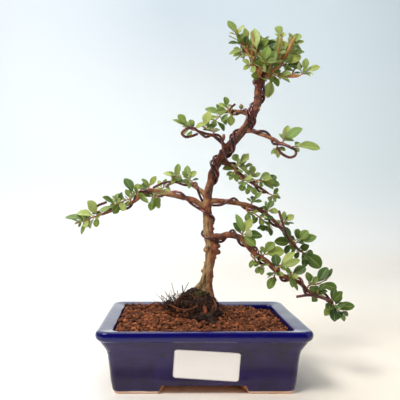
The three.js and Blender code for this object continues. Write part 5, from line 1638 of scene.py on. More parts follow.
@dataclass(frozen=True)
class StemFinish(Finish):
    """Young bark: orange-brown that turns green towards the leaves."""

    name: str = "young_stem"
    brown: tuple = rgb(150, 84, 50)
    orange: tuple = rgb(204, 140, 84)
    green: tuple = rgb(156, 160, 84)
    bud: tuple = rgb(168, 74, 48)

    def sockets(self, graph: Graph) -> dict:
        """The tint's red is how green it is, its green how dark, and its blue a bud.

        Args:
            graph: the graph of its material.

        Returns:
            What its shader's inputs take.
        """
        green, dark, bud, _ = graph.tint()
        colour = graph.mix(dark, self.orange, self.brown)
        colour = graph.mix(green, colour, self.green)
        colour = graph.mix(bud, colour, self.bud)
        flecks = graph.mottle(1400.0)
        return {
            "Base Color": graph.mix(graph.times(flecks, 0.25), colour, self.brown),
            "Roughness": graph.span(flecks, 0.45, 0.65),
            "Normal": graph.bump(graph.grain(1200.0), 0.0003, 0.5),
        }


@dataclass(frozen=True)
class LeafFinish(Finish):
    """Small leathery leaves, glossy above and pale below."""

    name: str = "leaf"
    pale: tuple = rgb(174, 186, 102)
    mid: tuple = rgb(112, 136, 54)
    dark: tuple = rgb(40, 70, 30)
    under: tuple = rgb(180, 188, 142)
    vein: tuple = rgb(192, 202, 130)
    rusty: tuple = rgb(150, 104, 52)

    def sockets(self, graph: Graph) -> dict:
        """The tint is how dark the leaf is, a shade of its own, the underside, and how rusty its
        edge is. Its map runs along the leaf and across it.

        Args:
            graph: the graph of its material.

        Returns:
            What its shader's inputs take.
        """
        dark, own, under, rust = graph.tint()
        lie = graph.axes(graph.add("UVMap", uv_map="lie").outputs[0])
        across = graph.math("ABSOLUTE", graph.math("SUBTRACT", lie["Y"], 0.5))
        colour = graph.mix(graph.ramp(dark, 0.0, 0.5, "LINEAR"), self.pale, self.mid)
        shaded = graph.add("HueSaturation", {
            "Hue": graph.span(own, 0.485, 0.51),
            "Saturation": graph.span(own, 1.08, 0.9),
            "Value": graph.span(own, 0.82, 1.15),
            "Color": graph.mix(graph.ramp(dark, 0.5, 1.0, "LINEAR"), colour, self.dark),
        })
        blotch = graph.times(graph.mottle(320.0), 0.16)
        colour = graph.mix(blotch, shaded.outputs[0], self.dark)
        colour = graph.mix(graph.times(under, 0.75), colour, self.under)
        midrib = graph.ramp(across, 0.045, 0.015)
        slant = graph.math("SUBTRACT", lie["X"], graph.times(across, 0.55))
        wave = graph.math("PINGPONG", graph.times(slant, 11.0), 0.5)
        veins = graph.most(midrib, graph.times(graph.ramp(wave, 0.09, 0.02), 0.45))
        colour = graph.mix(graph.times(veins, 0.38), colour, self.vein)
        rim = graph.times(graph.ramp(across, 0.4, 0.5), rust)
        quilt = graph.math("SUBTRACT", wave, graph.times(midrib, 0.6))
        height = graph.math("ADD", quilt, graph.times(graph.grain(1500.0), 0.25))
        return {
            "Base Color": graph.mix(rim, colour, self.rusty),
            "Roughness": graph.span(under, 0.42, 0.7),
            "Specular IOR Level": 0.3,
            "Subsurface Weight": 0.12,
            "Subsurface Radius": (0.4, 1.0, 0.2),
            "Subsurface Scale": 0.0012,
            "Normal": graph.bump(height, 0.0004, 0.5),
        }


@dataclass(frozen=True)
class WireFinish(Finish):
    """Soft training wire, anodised dark copper and scuffed bright."""

    name: str = "training_wire"
    body: tuple = rgb(116, 58, 56)
    dark: tuple = rgb(58, 29, 31)
    scuff: tuple = rgb(238, 190, 182)

    def sockets(self, graph: Graph) -> dict:
        """Dark patches, and scuffs where the metal shows.

        Args:
            graph: the graph of its material.

        Returns:
            What its shader's inputs take.
        """
        patches = graph.mottle(130.0)
        scuffs = graph.mottle(700.0, 0.6, 0.72)
        colour = graph.mix(patches, self.body, self.dark)
        return {
            "Base Color": graph.mix(graph.times(scuffs, 0.45), colour, self.scuff),
            "Metallic": graph.span(scuffs, 0.55, 0.9),
            "Roughness": graph.span(patches, 0.2, 0.32),
            "Specular IOR Level": 0.9,
            "Normal": graph.bump(graph.grain(900.0), 0.0002, 0.4),
        }


@dataclass(frozen=True)
class FruitFinish(Finish):
    """A small pome, green turning brown towards its lower front left side and in patches."""

    name: str = "fruit_skin"
    green: tuple = rgb(118, 130, 58)
    brown: tuple = rgb(138, 86, 46)

    def sockets(self, graph: Graph) -> dict:
        """The tint's red is how brown it is.

        Args:
            graph: the graph of its material.

        Returns:
            What its shader's inputs take.
        """
        patches = graph.mottle(500.0)
        browning = graph.most(graph.tint()[0], graph.times(patches, 0.5))
        return {
            "Base Color": graph.mix(browning, self.green, self.brown),
            "Roughness": graph.span(patches, 0.3, 0.5),
            "Normal": graph.bump(graph.grain(900.0), 0.0002, 0.4),
        }


@dataclass(frozen=True)
class PaperFinish(Finish):
    """White sticker paper with a faint tooth, its edge a little grey."""

    name: str = "label_paper"
    white: tuple = rgb(251, 248, 246)
    grey: tuple = rgb(214, 206, 204)

    def sockets(self, graph: Graph) -> dict:
        """The tint's red is the edge.

        Args:
            graph: the graph of its material.

        Returns:
            What its shader's inputs take.
        """
        tooth = graph.mottle(1600.0)
        worn = graph.most(graph.tint()[0], graph.times(tooth, 0.15))
        return {
            "Base Color": graph.mix(worn, self.white, self.grey),
            "Roughness": graph.span(tooth, 0.5, 0.62),
            "Normal": graph.bump(graph.grain(2200.0), 0.0001, 0.4),
        }


@dataclass(frozen=True)
class NettingFinish(Finish):
    """Dark green plastic netting, dusted by the soil above it."""

    name: str = "netting"
    green: tuple = rgb(30, 46, 34)
    dusty: tuple = rgb(110, 78, 58)

    def sockets(self, graph: Graph) -> dict:
        """Dust in patches.

        Args:
            graph: the graph of its material.

        Returns:
            What its shader's inputs take.
        """
        dust = graph.mottle(180.0, 0.5)
        return {
            "Base Color": graph.mix(dust, self.green, self.dusty),
            "Roughness": graph.span(dust, 0.45, 0.8),
            "Normal": graph.bump(graph.grain(1200.0), 0.0002, 0.4),
        }


@dataclass(frozen=True)
class StageFinish(Finish):
    """A pale table that turns into a cool pale wall."""

    name: str = "pale_stage"
    floor: tuple = rgb(244, 234, 220)
    lit_floor: tuple = rgb(250, 247, 242)
    low_wall: tuple = rgb(249, 251, 251)
    high_wall: tuple = rgb(192, 205, 218)
    cool_wall: tuple = rgb(227, 244, 254)

    def sockets(self, graph: Graph) -> dict:
        """The colour changes with the place on the table and with the height above it, with painted
        light: the floor is lighter on the left and further back, and the wall's darker top is lighter
        on the left.

        Args:
            graph: the graph of its material.

        Returns:
            What its shader's inputs take.
        """
        place = graph.axes(graph.place)
        x, y, height = place["X"], place["Y"], place["Z"]
        # Painted light: the wall's darker top is weaker on the left, where the light comes from
        inward = graph.span(graph.ramp(x, -0.5, 0.0), 0.66, 1.0)
        high = graph.times(graph.ramp(height, 0.12, 0.75), inward)
        wall = graph.mix(high, self.low_wall, self.high_wall)
        side = graph.times(graph.ramp(x, -0.1, 0.5), 0.78)
        cool = graph.most(side, graph.span(high, 0.5, 0.0))
        cool = graph.times(cool, graph.ramp(height, 0.02, 0.3))
        wall = graph.mix(cool, wall, self.cool_wall)
        # Painted light: the floor is lighter on the left and further back
        floor = graph.mix(graph.ramp(x, -0.15, 0.12), self.lit_floor, self.floor)
        far = graph.times(graph.ramp(y, 0.05, 0.5), 0.6)
        floor = graph.mix(far, floor, self.lit_floor)
        return {"Base Color": graph.mix(graph.ramp(height, 0.0, 0.08), floor, wall),
                "Roughness": 0.7}


# Pieces


@dataclass
class Pot(Maker):
    """The glazed pot: an oblong with rounded corners, a flared rim and four feet."""

    long: float = 180
    wide: float = 128
    tall: float = 55
    corner: float = 9
    per_corner: int = 9
    per_side: tuple = (110, 76)
    floor: float = 13
    underside: float = 7.9
    foot_tall: float = 7.4
    foot_thick: float = 9
    foot_reach: float = 27
    gap_long: float = 76.4
    gap_wide: float = 46.8
    gap_slope: float = 3.6
    slide_top: float = 16
    lip_drop: float = 0.15
    unevenness: float = 0.28
    drain_radius: float = 7
    drain_apart: float = 70
    drain_sides: int = 40
    drill_spare: float = 4
    rim_tall: float = 12
    # How far in from the rim, and how far below it, from the rim down
    outside: tuple = (
        (3.2, 0), (2.3, 0.12), (1.45, 0.45), (0.75, 1.05), (0.3, 1.9), (0.05, 3), (0, 4.1),
        (0.15, 5.3), (0.55, 6.5), (1.3, 7.6), (2.3, 8.5), (3.0, 8.9), (3.3, 9.5), (4.3, 11.4),
        (6.4, 14.8), (8.2, 17.9), (9.2, 21.5), (9.8, 26), (10.5, 31.4), (11.6, 43.7),
        (12.6, 48.9), (13.1, 52.1), (15, 55),
    )
    inside: tuple = (
        (12.4, 1.5), (13.1, 1.9), (13.6, 2.8), (13.9, 4.5), (14.4, 8), (16.5, 30), (18, 40),
        (19.5, 41.7), (22, 42),
    )

    def wall(self, z: Rows, rows: tuple = outside) -> Rows:
        """How far in from the rim one side of the wall is at a height."""
        inset, down = np.array(rows).T
        return np.interp(self.tall - np.asarray(z, float), down, inset)

    def ring(self, inset: Rows, z: Rows) -> Rows:
        """Lays a rounded oblong.

        Args:
            inset: how far in it is, for the whole ring or for each of its places.
            z: its height, likewise.

        Returns:
            Its places, four corners with the sides between them.
        """
        quarter, corner, share = [], [], []
        arc = np.arange(self.per_corner + 1) / self.per_corner
        for k, count in enumerate(self.per_side * 2):
            quarter += [*(k + arc), *[k + 1] * (count - 1)]
            share += [*(0 * arc), *(np.arange(1, count) / count)]
            corner += [k] * (self.per_corner + count)
        signs = np.array([(1, 1), (-1, 1), (-1, -1), (1, -1), (1, 1)])
        corner, share = np.array(corner), np.array(share)[:, None]
        inset = np.broadcast_to(np.asarray(inset, float), corner.shape)[:, None]
        radius = np.maximum(3, self.corner - inset * 0.3)
        turn = np.radians(90 * np.array(quarter))
        sign = signs[corner] * (1 - share) + signs[corner + 1] * share
        half = np.array([self.long, self.wide]) / 2 - inset - radius
        flat = sign * half + radius * np.stack([np.cos(turn), np.sin(turn)], axis=1)
        return np.column_stack([flat, np.broadcast_to(np.asarray(z, float), corner.shape)])

    def lift(self, ring: Rows) -> Rows:
        """How high the foot's underside is at each place of a ring.

        Args:
            ring: the places.

        Returns:
            A height for each of them.
        """
        x, y = np.abs(ring[:, :2]).T
        on_long, on_wide = y > self.wide / 2 - self.foot_reach, x > self.long / 2 - self.foot_reach
        by_long, by_wide = self.gap_long / 2 - x, self.gap_wide / 2 - y
        share = np.where(on_long & ~on_wide, by_long, np.where(on_wide & ~on_long, by_wide, 0))
        share = np.clip(share / self.gap_slope, 0, 1)
        return self.foot_tall * (0.6 * share + 0.4 * smoothstep(share, 0, 1))

    def make(self) -> Object:
        """Builds the pot in one skin and drills its drain holes.

        Returns:
            The piece.
        """
        lift = self.lift(self.ring(self.wall(0), 0))
        foot, inner = self.wall(0), self.wall(0) + self.foot_thick
        # Each layer: how far in it is, its height, how worn its edge is, and 1 underneath
        layers = [(inner, self.underside, 0, 1), (inner, (lift + self.underside) / 2, 0, 1)]
        layers += [(inset, lift, 0, 1) for inset in (inner, inner - 0.8, foot + 4.5, foot + 0.7)]
        for share in (0, 0.03, 0.07, 0.13, 0.22, 0.34, 0.5, 0.7, 1):
            z = lift + share * (self.slide_top - lift) + (0 if share else 0.35)
            layers.append((self.wall(z), z, max(0, 0.5 - 6 * share), 0))
        heights = [self.tall - down for _, down in self.outside if down < self.rim_tall]
        heights += [*np.linspace(self.slide_top + 2, 36, 8), *np.linspace(37, self.tall - 0.6, 24)]
        for z in np.unique(np.round(heights, 3)):
            layers.append((self.wall(z), z, smoothstep(self.tall - z, 9.5, 7.5), 0))
        for inset in (5, 7, 9, 11.2):
            layers.append((inset, self.tall - self.lip_drop * (inset - 3.2), 0.5, 0))
        layers += [(inset, self.tall - down, down < 10, 0) for inset, down in self.inside]
        corners, faces = stacked([self.uneven(self.ring(*layer[:2])) for layer in layers])
        tint = np.array([tints(*layer[2:]) for layer in layers])
        shape = Shape()
        shape.add(corners, faces, np.repeat(tint, len(lift), axis=0))
        piece = self.built(shape, "pot_body", 38)
        self.drill(piece)
        return dress(piece, "glaze", "pot")

    def uneven(self, ring: Rows) -> Rows:
        """A ring with a cast wall's slight unevenness, none at the feet.

        Args:
            ring: its places.

        Returns:
            The places, a little moved.
        """
        noise = Noise(5)
        shift = np.stack([noise.at(ring + 40 * k, 22) - 0.5 for k in range(3)], axis=1)
        rise = smoothstep(ring[:, 2], 9, 20)[:, None]
        return ring + shift * [1, 1, 1.4] * self.unevenness * rise

    def drill(self, piece: Object) -> None:
        """Cuts the two drain holes through the pot's floor.

        Args:
            piece: the pot.
        """
        drill = bmesh.new()
        for side in (-1, 1):
            middle = [side * self.drain_apart / 2, 0, (self.floor + self.underside) / 2]
            middle = Matrix.Translation((middle + self.offset) * MM)
            deep = (self.floor - self.underside + self.drill_spare) * MM
            radius = self.drain_radius * MM
            bmesh.ops.create_cone(drill, cap_ends=True, segments=self.drain_sides,
                                  radius1=radius, radius2=radius, depth=deep, matrix=middle)
        mesh = bpy.data.meshes.new("drill")
        drill.to_mesh(mesh)
        drill.free()
        bit = bpy.data.objects.new("drill", mesh)
        bpy.context.scene.collection.objects.link(bit)
        cut = piece.modifiers.new("drain", "BOOLEAN")
        cut.operation, cut.solver, cut.object = "DIFFERENCE", "EXACT", bit
        graph = bpy.context.evaluated_depsgraph_get()
        made = bpy.data.meshes.new_from_object(piece.evaluated_get(graph))
        piece.modifiers.remove(cut)
        old, piece.data = piece.data, made
        bpy.data.objects.remove(bit)
        for spare in (old, mesh):
            bpy.data.meshes.remove(spare)
        made.name = piece.name


@dataclass
class DrainNet(Maker):
    """A strip of woven plastic netting over the drain holes."""

    long: float = 92
    wide: float = 22
    height: float = 13.85
    pitch: float = 2.4
    strand: float = 0.38
    weave: float = 0.16

    def make(self) -> Object:
        """Builds the strands, one way over the other.

        Returns:
            The piece.
        """
        shape = Shape()
        for axis, reach, across in ((0, self.long, self.wide), (1, self.wide, self.long)):
            count = int(across // self.pitch)
            steps = np.linspace(0.4 - reach / 2, reach / 2 - 0.4, int(reach / self.pitch) + 1)
            for k in range(count + 1):
                points = np.zeros((len(steps), 3))
                points[:, axis] = steps
                points[:, 1 - axis] = 0.4 - across / 2 + k * (across - 0.8) / count
                over = (-1) ** (np.arange(len(steps)) + k + axis)
                points[:, 2] = self.height + self.weave * over
                shape.rod(points, self.strand, 6, dome=0.4)
        return dress(self.built(shape, "drain_net"), "netting", "drain_mesh")


@dataclass
class RootBall(Maker):
    """The old root ball: a dark lumpy dome with fibrous roots, and some moss by the trunk."""

    centre: tuple = (-3.5, 3.0)
    oval: float = 0.94
    dome_sides: int = 40
    voxel: float = 0.62
    soil_top: float = 57.5
    moss_spot: tuple = (-1.0, -6.0, 76.6)
    # Height and radius from the bottom up
    profile: tuple = (
        (42.3, 13.5), (50, 18), (57, 19.8), (60.5, 19.8), (65, 18.6), (69.5, 16),
        (73, 12.4), (75.8, 8.6), (77.4, 4.4), (78, 0.5),
    )
    # Clods at its foot: where each is, and its radius
    clods: tuple = (
        ((1, -20, 58), 4.4), ((6, -20, 57.5), 4.6), ((10, -17, 60), 4.2), ((12, -12, 63), 4.2),
        ((8, -23, 55.5), 3.8), ((11, -24, 54.5), 3.4), ((13.5, -15, 58), 3.8),
        ((-10, -17, 57), 3.4), ((-4, -21, 56), 3.6), ((-16, 3, 66), 4.8), ((-15.5, -5, 67.5), 4.8),
        ((13, 2, 62), 4.0), ((2, 20, 62), 5.0), ((-15, -3, 72.4), 5.7), ((-8.5, -5, 74.4), 4.6),
        ((-10, 4, 74), 4.8), ((12, -29, 53), 3.0), ((-13.5, -11, 68), 4.2), ((9, -27, 53.4), 2.6),
        ((15, -27, 53), 2.4), ((11, -32, 52.6), 2),
    )
    # Loose roots: points, radius, and how warm the colour is
    loops: tuple = (
        (((-26, -12, 63), (-23, -10, 69.5), (-19.5, -6, 73.4), (-14.5, -6, 75.4),
          (-9, -8, 75.4), (-5, -12, 72)), 0.62, 0.9),
        (((-29, -12, 67), (-25, -15, 65.4), (-19.5, -17.5, 64), (-14, -19, 63.6),
          (-8.6, -19.5, 65), (-4, -18, 67.4)), 0.75, 0.95),
        (((2, -9, 66), (3.2, -15, 64), (3.4, -20, 61.8)), 2.3, 1.0),
        (((12, -8, 70), (13.4, -14, 66), (12.6, -18, 62.6)), 1.1, 0.8),
        (((8, -5, 66), (14, -11, 64), (19, -15, 62), (24, -20, 60)), 0.7, 0.5),
        (((-14, 4, 66), (-22, 4, 63.6), (-29, 1, 61.6), (-36, -2, 59.4)), 0.85, 0.4),
        (((11, -8, 65), (12, -14, 66.5), (10, -18, 64), (11, -20, 60.5)), 0.55, 0.8),
        (((16, 0, 63), (21, -4, 65), (27, -9, 63), (30, -12, 60)), 0.5, 0.6),
        (((-12, -10, 72), (-18, -14, 74), (-22, -15, 69), (-20, -17, 63)), 0.45, 0.3),
    )
    cut_radius: float = 1.5
    lumps_on: int = 150
    crumbs_round: int = 170
    strands: int = 260
    hairs: int = 130
    tufts: int = 110

    def radius(self, z: Rows) -> Rows:
        """The dome's radius at a height."""
        return np.interp(z, *np.array(self.profile).T)

    def spot(self, angle: float, reach: float, z: float) -> tuple:
        """A place round the ball's middle."""
        x, y = self.centre
        return x + reach * math.cos(angle), y + reach * math.sin(angle) * self.oval, z

    def inside(self, x: Rows, y: Rows, reach: float) -> Rows:
        """Whether places stand within a distance of the ball's middle."""
        return np.hypot(x - self.centre[0], (y - self.centre[1]) / self.oval) < reach

    def make(self) -> Object:
        """Builds the ball's skin from a dome with clods and crumbs on it.

        Returns:
            The piece.
        """
        rng = np.random.default_rng(31)
        lumps = Shape()
        turns = np.linspace(0, 2 * np.pi, self.dome_sides, endpoint=False)
        rings = [np.array([self.spot(turn, reach, z) for turn in turns])
                 for z, reach in self.profile]
        lumps.add(*stacked(rings))
        grains, faces = crumbs(2, rng.uniform(1.6, 4.2, self.lumps_on), rng)
        for grain in grains:
            z, angle = rng.uniform(57, 78), rng.uniform(0, 2 * np.pi)
            lumps.add(grain * [1, 1, 0.8] + self.spot(angle, self.radius(z) - 1.2, z), faces)
        grains, faces = crumbs(2, np.array([radius for _, radius in self.clods]), rng)
        for grain, (spot, _) in zip(grains, self.clods):
            lumps.add(grain + spot, faces)
        grains, faces = crumbs(1, rng.uniform(0.7, 2.2, self.crumbs_round), rng)
        for grain in grains:
            angle, reach = rng.uniform(0, 2 * np.pi), rng.uniform(19, 26)
            lumps.add(grain + self.spot(angle, reach, 57.2 - 0.12 * (reach - 19)), faces)
        mesh = remeshed(lumps, self.voxel, 1)
        corners, normals = rows_of(mesh.vertices, "co"), rows_of(mesh.vertex_normals, "vector")
        noise, stringy = Noise(8), corners * [1.0, 1.0, 0.35]
        swell = (noise.rough(corners, 5.0) - 0.5) * 2.6 + (noise.rough(stringy, 1.1) - 0.5) * 1.6
        swell *= smoothstep(corners[:, 2], 55, 59)
        moved = corners + normals * swell[:, None]
        moss = np.exp(-(((moved - [-1.5, -7, 76.5]) / [6.5, 5, 3.0]) ** 2).sum(1))
        moss = smoothstep(moss * 1.6 * noise.rough(moved, 1.0), 0.42, 0.66)
        return dress(self.skinned(mesh, "root_ball", moved, tints(0, moss)), "peat", "root_mass")

    def strand(self, rng: Rng) -> Curve:
        """Draws a thin root that wanders down over the dome and into the soil.

        Args:
            rng: the draws of its way.

        Returns:
            Its route.
        """
        z, angle, drift = rng.uniform(62, 77), rng.uniform(0, 2 * np.pi), rng.normal(0, 0.5)
        lift, reaches_out = rng.uniform(0.2, 1.5), rng.uniform(0, 1) < 0.3
        points = []
        for share in np.arange(9) / 8:
            height = z - share * rng.uniform(0.8, 1.0) * (z - self.soil_top)
            radius = self.radius(height) + 0.3 + lift * math.sin(math.pi * share)
            if reaches_out:
                radius, height = radius + 7 * share**2, max(height, self.soil_top + 1)
            turn = angle + drift * share + 0.16 * math.sin(5 * share + 7 * drift)
            points.append(self.spot(turn, radius, height + rng.normal(0, 0.35)))
        return Curve(points)

    def make_roots(self) -> Object:
        """Builds the loose roots: loops and a cut root in front, thin strands all round, and
        dry hairs that stand up on the left.

        Returns:
            The piece.
        """
        rng = np.random.default_rng(77)
        shape = Shape()
        steps = np.linspace(0, 1, 26)
        for points, radius, warmth in self.loops:
            places = Curve(points).place(steps)
            places = places + rng.normal(0, 0.12, places.shape)
            radii = radius * (1 - 0.35 * steps) * rng.uniform(0.85, 1.15, len(steps))
            cut = 0.9 if radius > self.cut_radius else 0
            shape.rod(places, radii, 9,
                      lambda along: tints(warmth, 0, cut * smoothstep(along, 0.8, 0.97)))
        for _ in range(self.strands):
            places = self.strand(rng).place(np.linspace(0, 1, 16))
            radii = rng.uniform(0.18, 0.55) * np.linspace(1, 0.5, 16)
            warmth = rng.choice([0.0, 0.12, 0.3, 0.75], p=[0.42, 0.28, 0.2, 0.1])
            shape.rod(places, radii, 5, (warmth, 0, 0, 0))
        for _ in range(self.hairs):
            start = np.array([rng.uniform(-36, -13), rng.uniform(-14, 8), rng.uniform(59, 68)])
            side = np.array([rng.uniform(-1.3, 0.3), rng.uniform(-0.5, 0.5), 1.0])
            long = rng.uniform(2, 6.5) + rng.choice([0, 4.5], p=[0.8, 0.2])
            bend = rng.normal(0, 0.7, 3) * long
            points = [start + side * long * s + bend * s * s for s in np.linspace(0, 1, 5)]
            radii = rng.uniform(0.2, 0.55) * np.linspace(1, 0.5, 12)
            shape.rod(Curve(points).place(np.linspace(0, 1, 12)), radii, 5,
                      (rng.choice([0.0, 0.05, 0.3]), 0, 0, 0))
        return dress(self.built(shape, "loose_roots"), "peat")

    def make_moss(self) -> Object:
        """Builds the moss by the trunk's foot as many short tufts.

        Returns:
            The piece.
        """
        rng = np.random.default_rng(12)
        shape = Shape()
        base, faces = ball(1)
        for _ in range(self.tufts):
            spot = self.moss_spot + rng.normal(0, 1, 3) * [4.0, 1.8, 0.9]
            lean = unit([rng.normal(0, 0.5), -0.5 + rng.normal(0, 0.3), 1.0])
            long = rng.uniform(0.7, 1.5)
            tuft = base * rng.uniform(0.22, 0.42)
            tuft = tuft + (tuft @ lean)[:, None] * lean * (long / 0.35 - 1) * 0.6
            shape.add(tuft + spot, faces, (0, rng.uniform(0.15, 1), 0, 0))
        return dress(self.built(shape, "moss_tufts"), "peat")


@dataclass
class Soil(Maker):
    """The soil's surface: a bed with baked granules heaped on it."""

    pot: Pot
    root_ball: RootBall
    top: float = 52
    pitch: float = 3.15
    row_pitch: float = 0.866
    inset: float = 14.6
    corner: float = 4.2
    wall_gap: float = 0.5
    bed_heights: tuple = (14.6, 25, 38, 46, 50)
    bed_steps: tuple = (0, 4, 9, 15, 22, 30, 38, 44)
    bed_sunk: float = 2.6
    granule_sizes: tuple = (1.4, 1.75, 2.1, 2.5)
    size_shares: tuple = (0.26, 0.36, 0.26, 0.12)
    on_top: int = 150
    tree_reach: float = 20
    # How high the mound is, and how far it reaches along the pot and across it
    mound: tuple = (4.2, 42, 30)
    back_rise: float = 1.8
    right_fall: float = 4.2
    # The heap against the root ball: its tries, where it starts, and how high it is there
    heap_tries: int = 400
    heap_start: float = 16.5
    heap_tall: float = 8.5

    def height(self, x: Rows, y: Rows) -> Rows:
        """The surface's height: a mound round the tree that falls off to the right.

        Args:
            x: places along the pot.
            y: places across it.

        Returns:
            The heights.
        """
        rise, long, wide = self.mound
        mound = rise * np.exp(-(((x + 3) / long) ** 2 + ((y - 3) / wide) ** 2))
        back = self.back_rise * smoothstep(y, 22, 46) * smoothstep(-x, -12, 12)
        return self.top + mound + back - self.right_fall * smoothstep(x, 40, 76)

    def spread(self, rng: Rng) -> tuple:
        """Spreads granules in crooked rows over the pot, but for the root ball's place.

        Args:
            rng: the draws of their places and sizes.

        Returns:
            Their x, y rows and their radii.
        """
        half = np.array([self.pot.long, self.pot.wide]) / 2 - self.inset
        rows = int(2 * half[1] / (self.pitch * self.row_pitch)) + 1
        spots = np.array([((i + 0.5 * (j % 2)) * self.pitch, j * self.pitch * self.row_pitch)
                          for j in range(rows) for i in range(int(2 * half[0] / self.pitch) + 1)])
        spots = spots - half + rng.uniform(-0.8, 0.8, spots.shape)
        sizes = rng.choice(self.granule_sizes, size=len(spots), p=self.size_shares)
        sizes = sizes * rng.uniform(0.85, 1.1, len(spots))
        spots = np.clip(spots, sizes[:, None] - half, half - sizes[:, None])
        over = np.abs(spots) - half + self.corner
        out = (over > 0).all(1) & (np.hypot(*over.T) > self.corner - sizes)
        kept = ~out & ~self.root_ball.inside(*spots.T, self.tree_reach)
        return spots[kept], sizes[kept]

    def make(self) -> Object:
        """Builds the bed inside the pot's walls and the granules on it.

        Returns:
            The piece.
        """
        rng = np.random.default_rng(4)
        shape = Shape()
        self.add_bed(shape)
        spots, sizes = self.spread(rng)
        count = len(spots)
        extra = rng.choice(count, self.on_top, replace=False)
        high = self.height(*spots.T) - 0.2 * sizes + rng.uniform(-0.9, 0.9, count)
        over = spots[extra] + rng.uniform(-1, 1, (self.on_top, 2))
        over = np.column_stack([over, self.height(*over.T) + rng.uniform(1.2, 2, self.on_top)])
        heap = self.heap(rng)
        sizes = np.concatenate([sizes, sizes[extra] * 0.85, rng.uniform(1.4, 2.4, len(heap))])
        places = np.concatenate([np.column_stack([spots, high]), over, heap])
        shades = np.clip(rng.normal(0.52, 0.24, len(sizes)), 0.12, 1)
        shades[rng.random(len(sizes)) < 0.03] = 0
        coarse = sizes > 1.5
        for levels, chosen in ((2, coarse), (1, ~coarse)):
            grains, faces = crumbs(levels, sizes[chosen], rng, 4)
            rise = grains[:, :, 2] / sizes[chosen][:, None]
            per = grains.shape[1]
            numbers = (np.arange(len(grains)) * per)[:, None, None] + faces[None]
            corners = (grains + places[chosen][:, None]).reshape(-1, 3)
            # Painted shade: each granule darkens towards its bottom, down in the gaps
            deep = 0.9 * (1 - smoothstep(rise.ravel(), -0.4, 0.7))
            tint = tints(np.repeat(shades[chosen], per), deep)
            shape.add(corners, numbers.reshape(-1, 3).tolist(), tint)
        return dress(self.built(shape, "soil_granules", 42), "granules", "soil")

    def heap(self, rng: Rng) -> Rows:
        """Heaps granules against the root ball, most of them on its left.

        Args:
            rng: the draws of their places.

        Returns:
            Their x, y, z rows.
        """
        found, start = [], self.heap_start
        for _ in range(self.heap_tries):
            angle, reach = rng.uniform(95, 265), rng.uniform(start, 2 * start)
            spot = np.array(self.root_ball.spot(math.radians(angle), reach, 0)[:2])
            steep = self.heap_tall - max(0, angle - 220) / 45 * 6
            rise = steep * (1 - (reach - start) / start)
            low = self.height(*spot)
            found += [(*(spot + rng.uniform(-0.6, 0.6, 2)), low + step)
                      for step in np.arange(0.4, rise + 0.5, 2.4)]
        return np.array(found)

    def add_bed(self, shape: Shape) -> None:
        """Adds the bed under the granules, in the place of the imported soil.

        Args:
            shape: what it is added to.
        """
        insets = self.pot.wall(self.bed_heights, self.pot.inside) + self.wall_gap
        rings = [self.pot.ring(inset, z)[::4] for inset, z in zip(insets, self.bed_heights)]
        for step in self.bed_steps:
            ring = self.pot.ring(insets[-1] + step, 0)[::4]
            ring[:, 2] = self.height(*ring[:, :2].T) - self.bed_sunk
            rings.append(ring)
        # Painted shade: the bed takes the dark gap colour under the granules
        shape.add(*stacked(rings), (0.06, 0.9, 0, 0))


@dataclass
class Litter(Maker):
    """Dry bits that lie on the granules: short root ends and straw."""

    soil: Soil
    count: int = 60
    reach: tuple = (-68, 66, -44, 44)
    tree_reach: float = 22

    def make(self) -> Object:
        """Builds the bits, none of them on the root ball.

        Returns:
            The piece.
        """
        rng = np.random.default_rng(90)
        shape = Shape()
        laid = 0
        left, right, front, back = self.reach
        while laid < self.count:
            x, y = rng.uniform(left, right), rng.uniform(front, back)
            if self.soil.root_ball.inside(x, y, self.tree_reach):
                continue
            laid += 1
            turn, long = rng.uniform(0, np.pi), rng.uniform(2.5, 8)
            way = np.array([math.cos(turn), math.sin(turn), rng.normal(0, 0.15)])
            middle = np.array([x, y, self.soil.height(x, y) + 1.4])
            bend = np.cross(way, [0, 0, 1]) * rng.normal(0, 0.25) * long
            points = [middle + way * long * (s - 0.5) + bend * s * s for s in (0, 0.35, 0.7, 1)]
            shape.rod(Curve(points).place(np.linspace(0, 1, 9)), rng.uniform(0.12, 0.34), 5,
                      (rng.choice([0.1, 0.5, 0.9]), 0, 0, 0))
        return dress(self.built(shape, "soil_litter"), "peat")


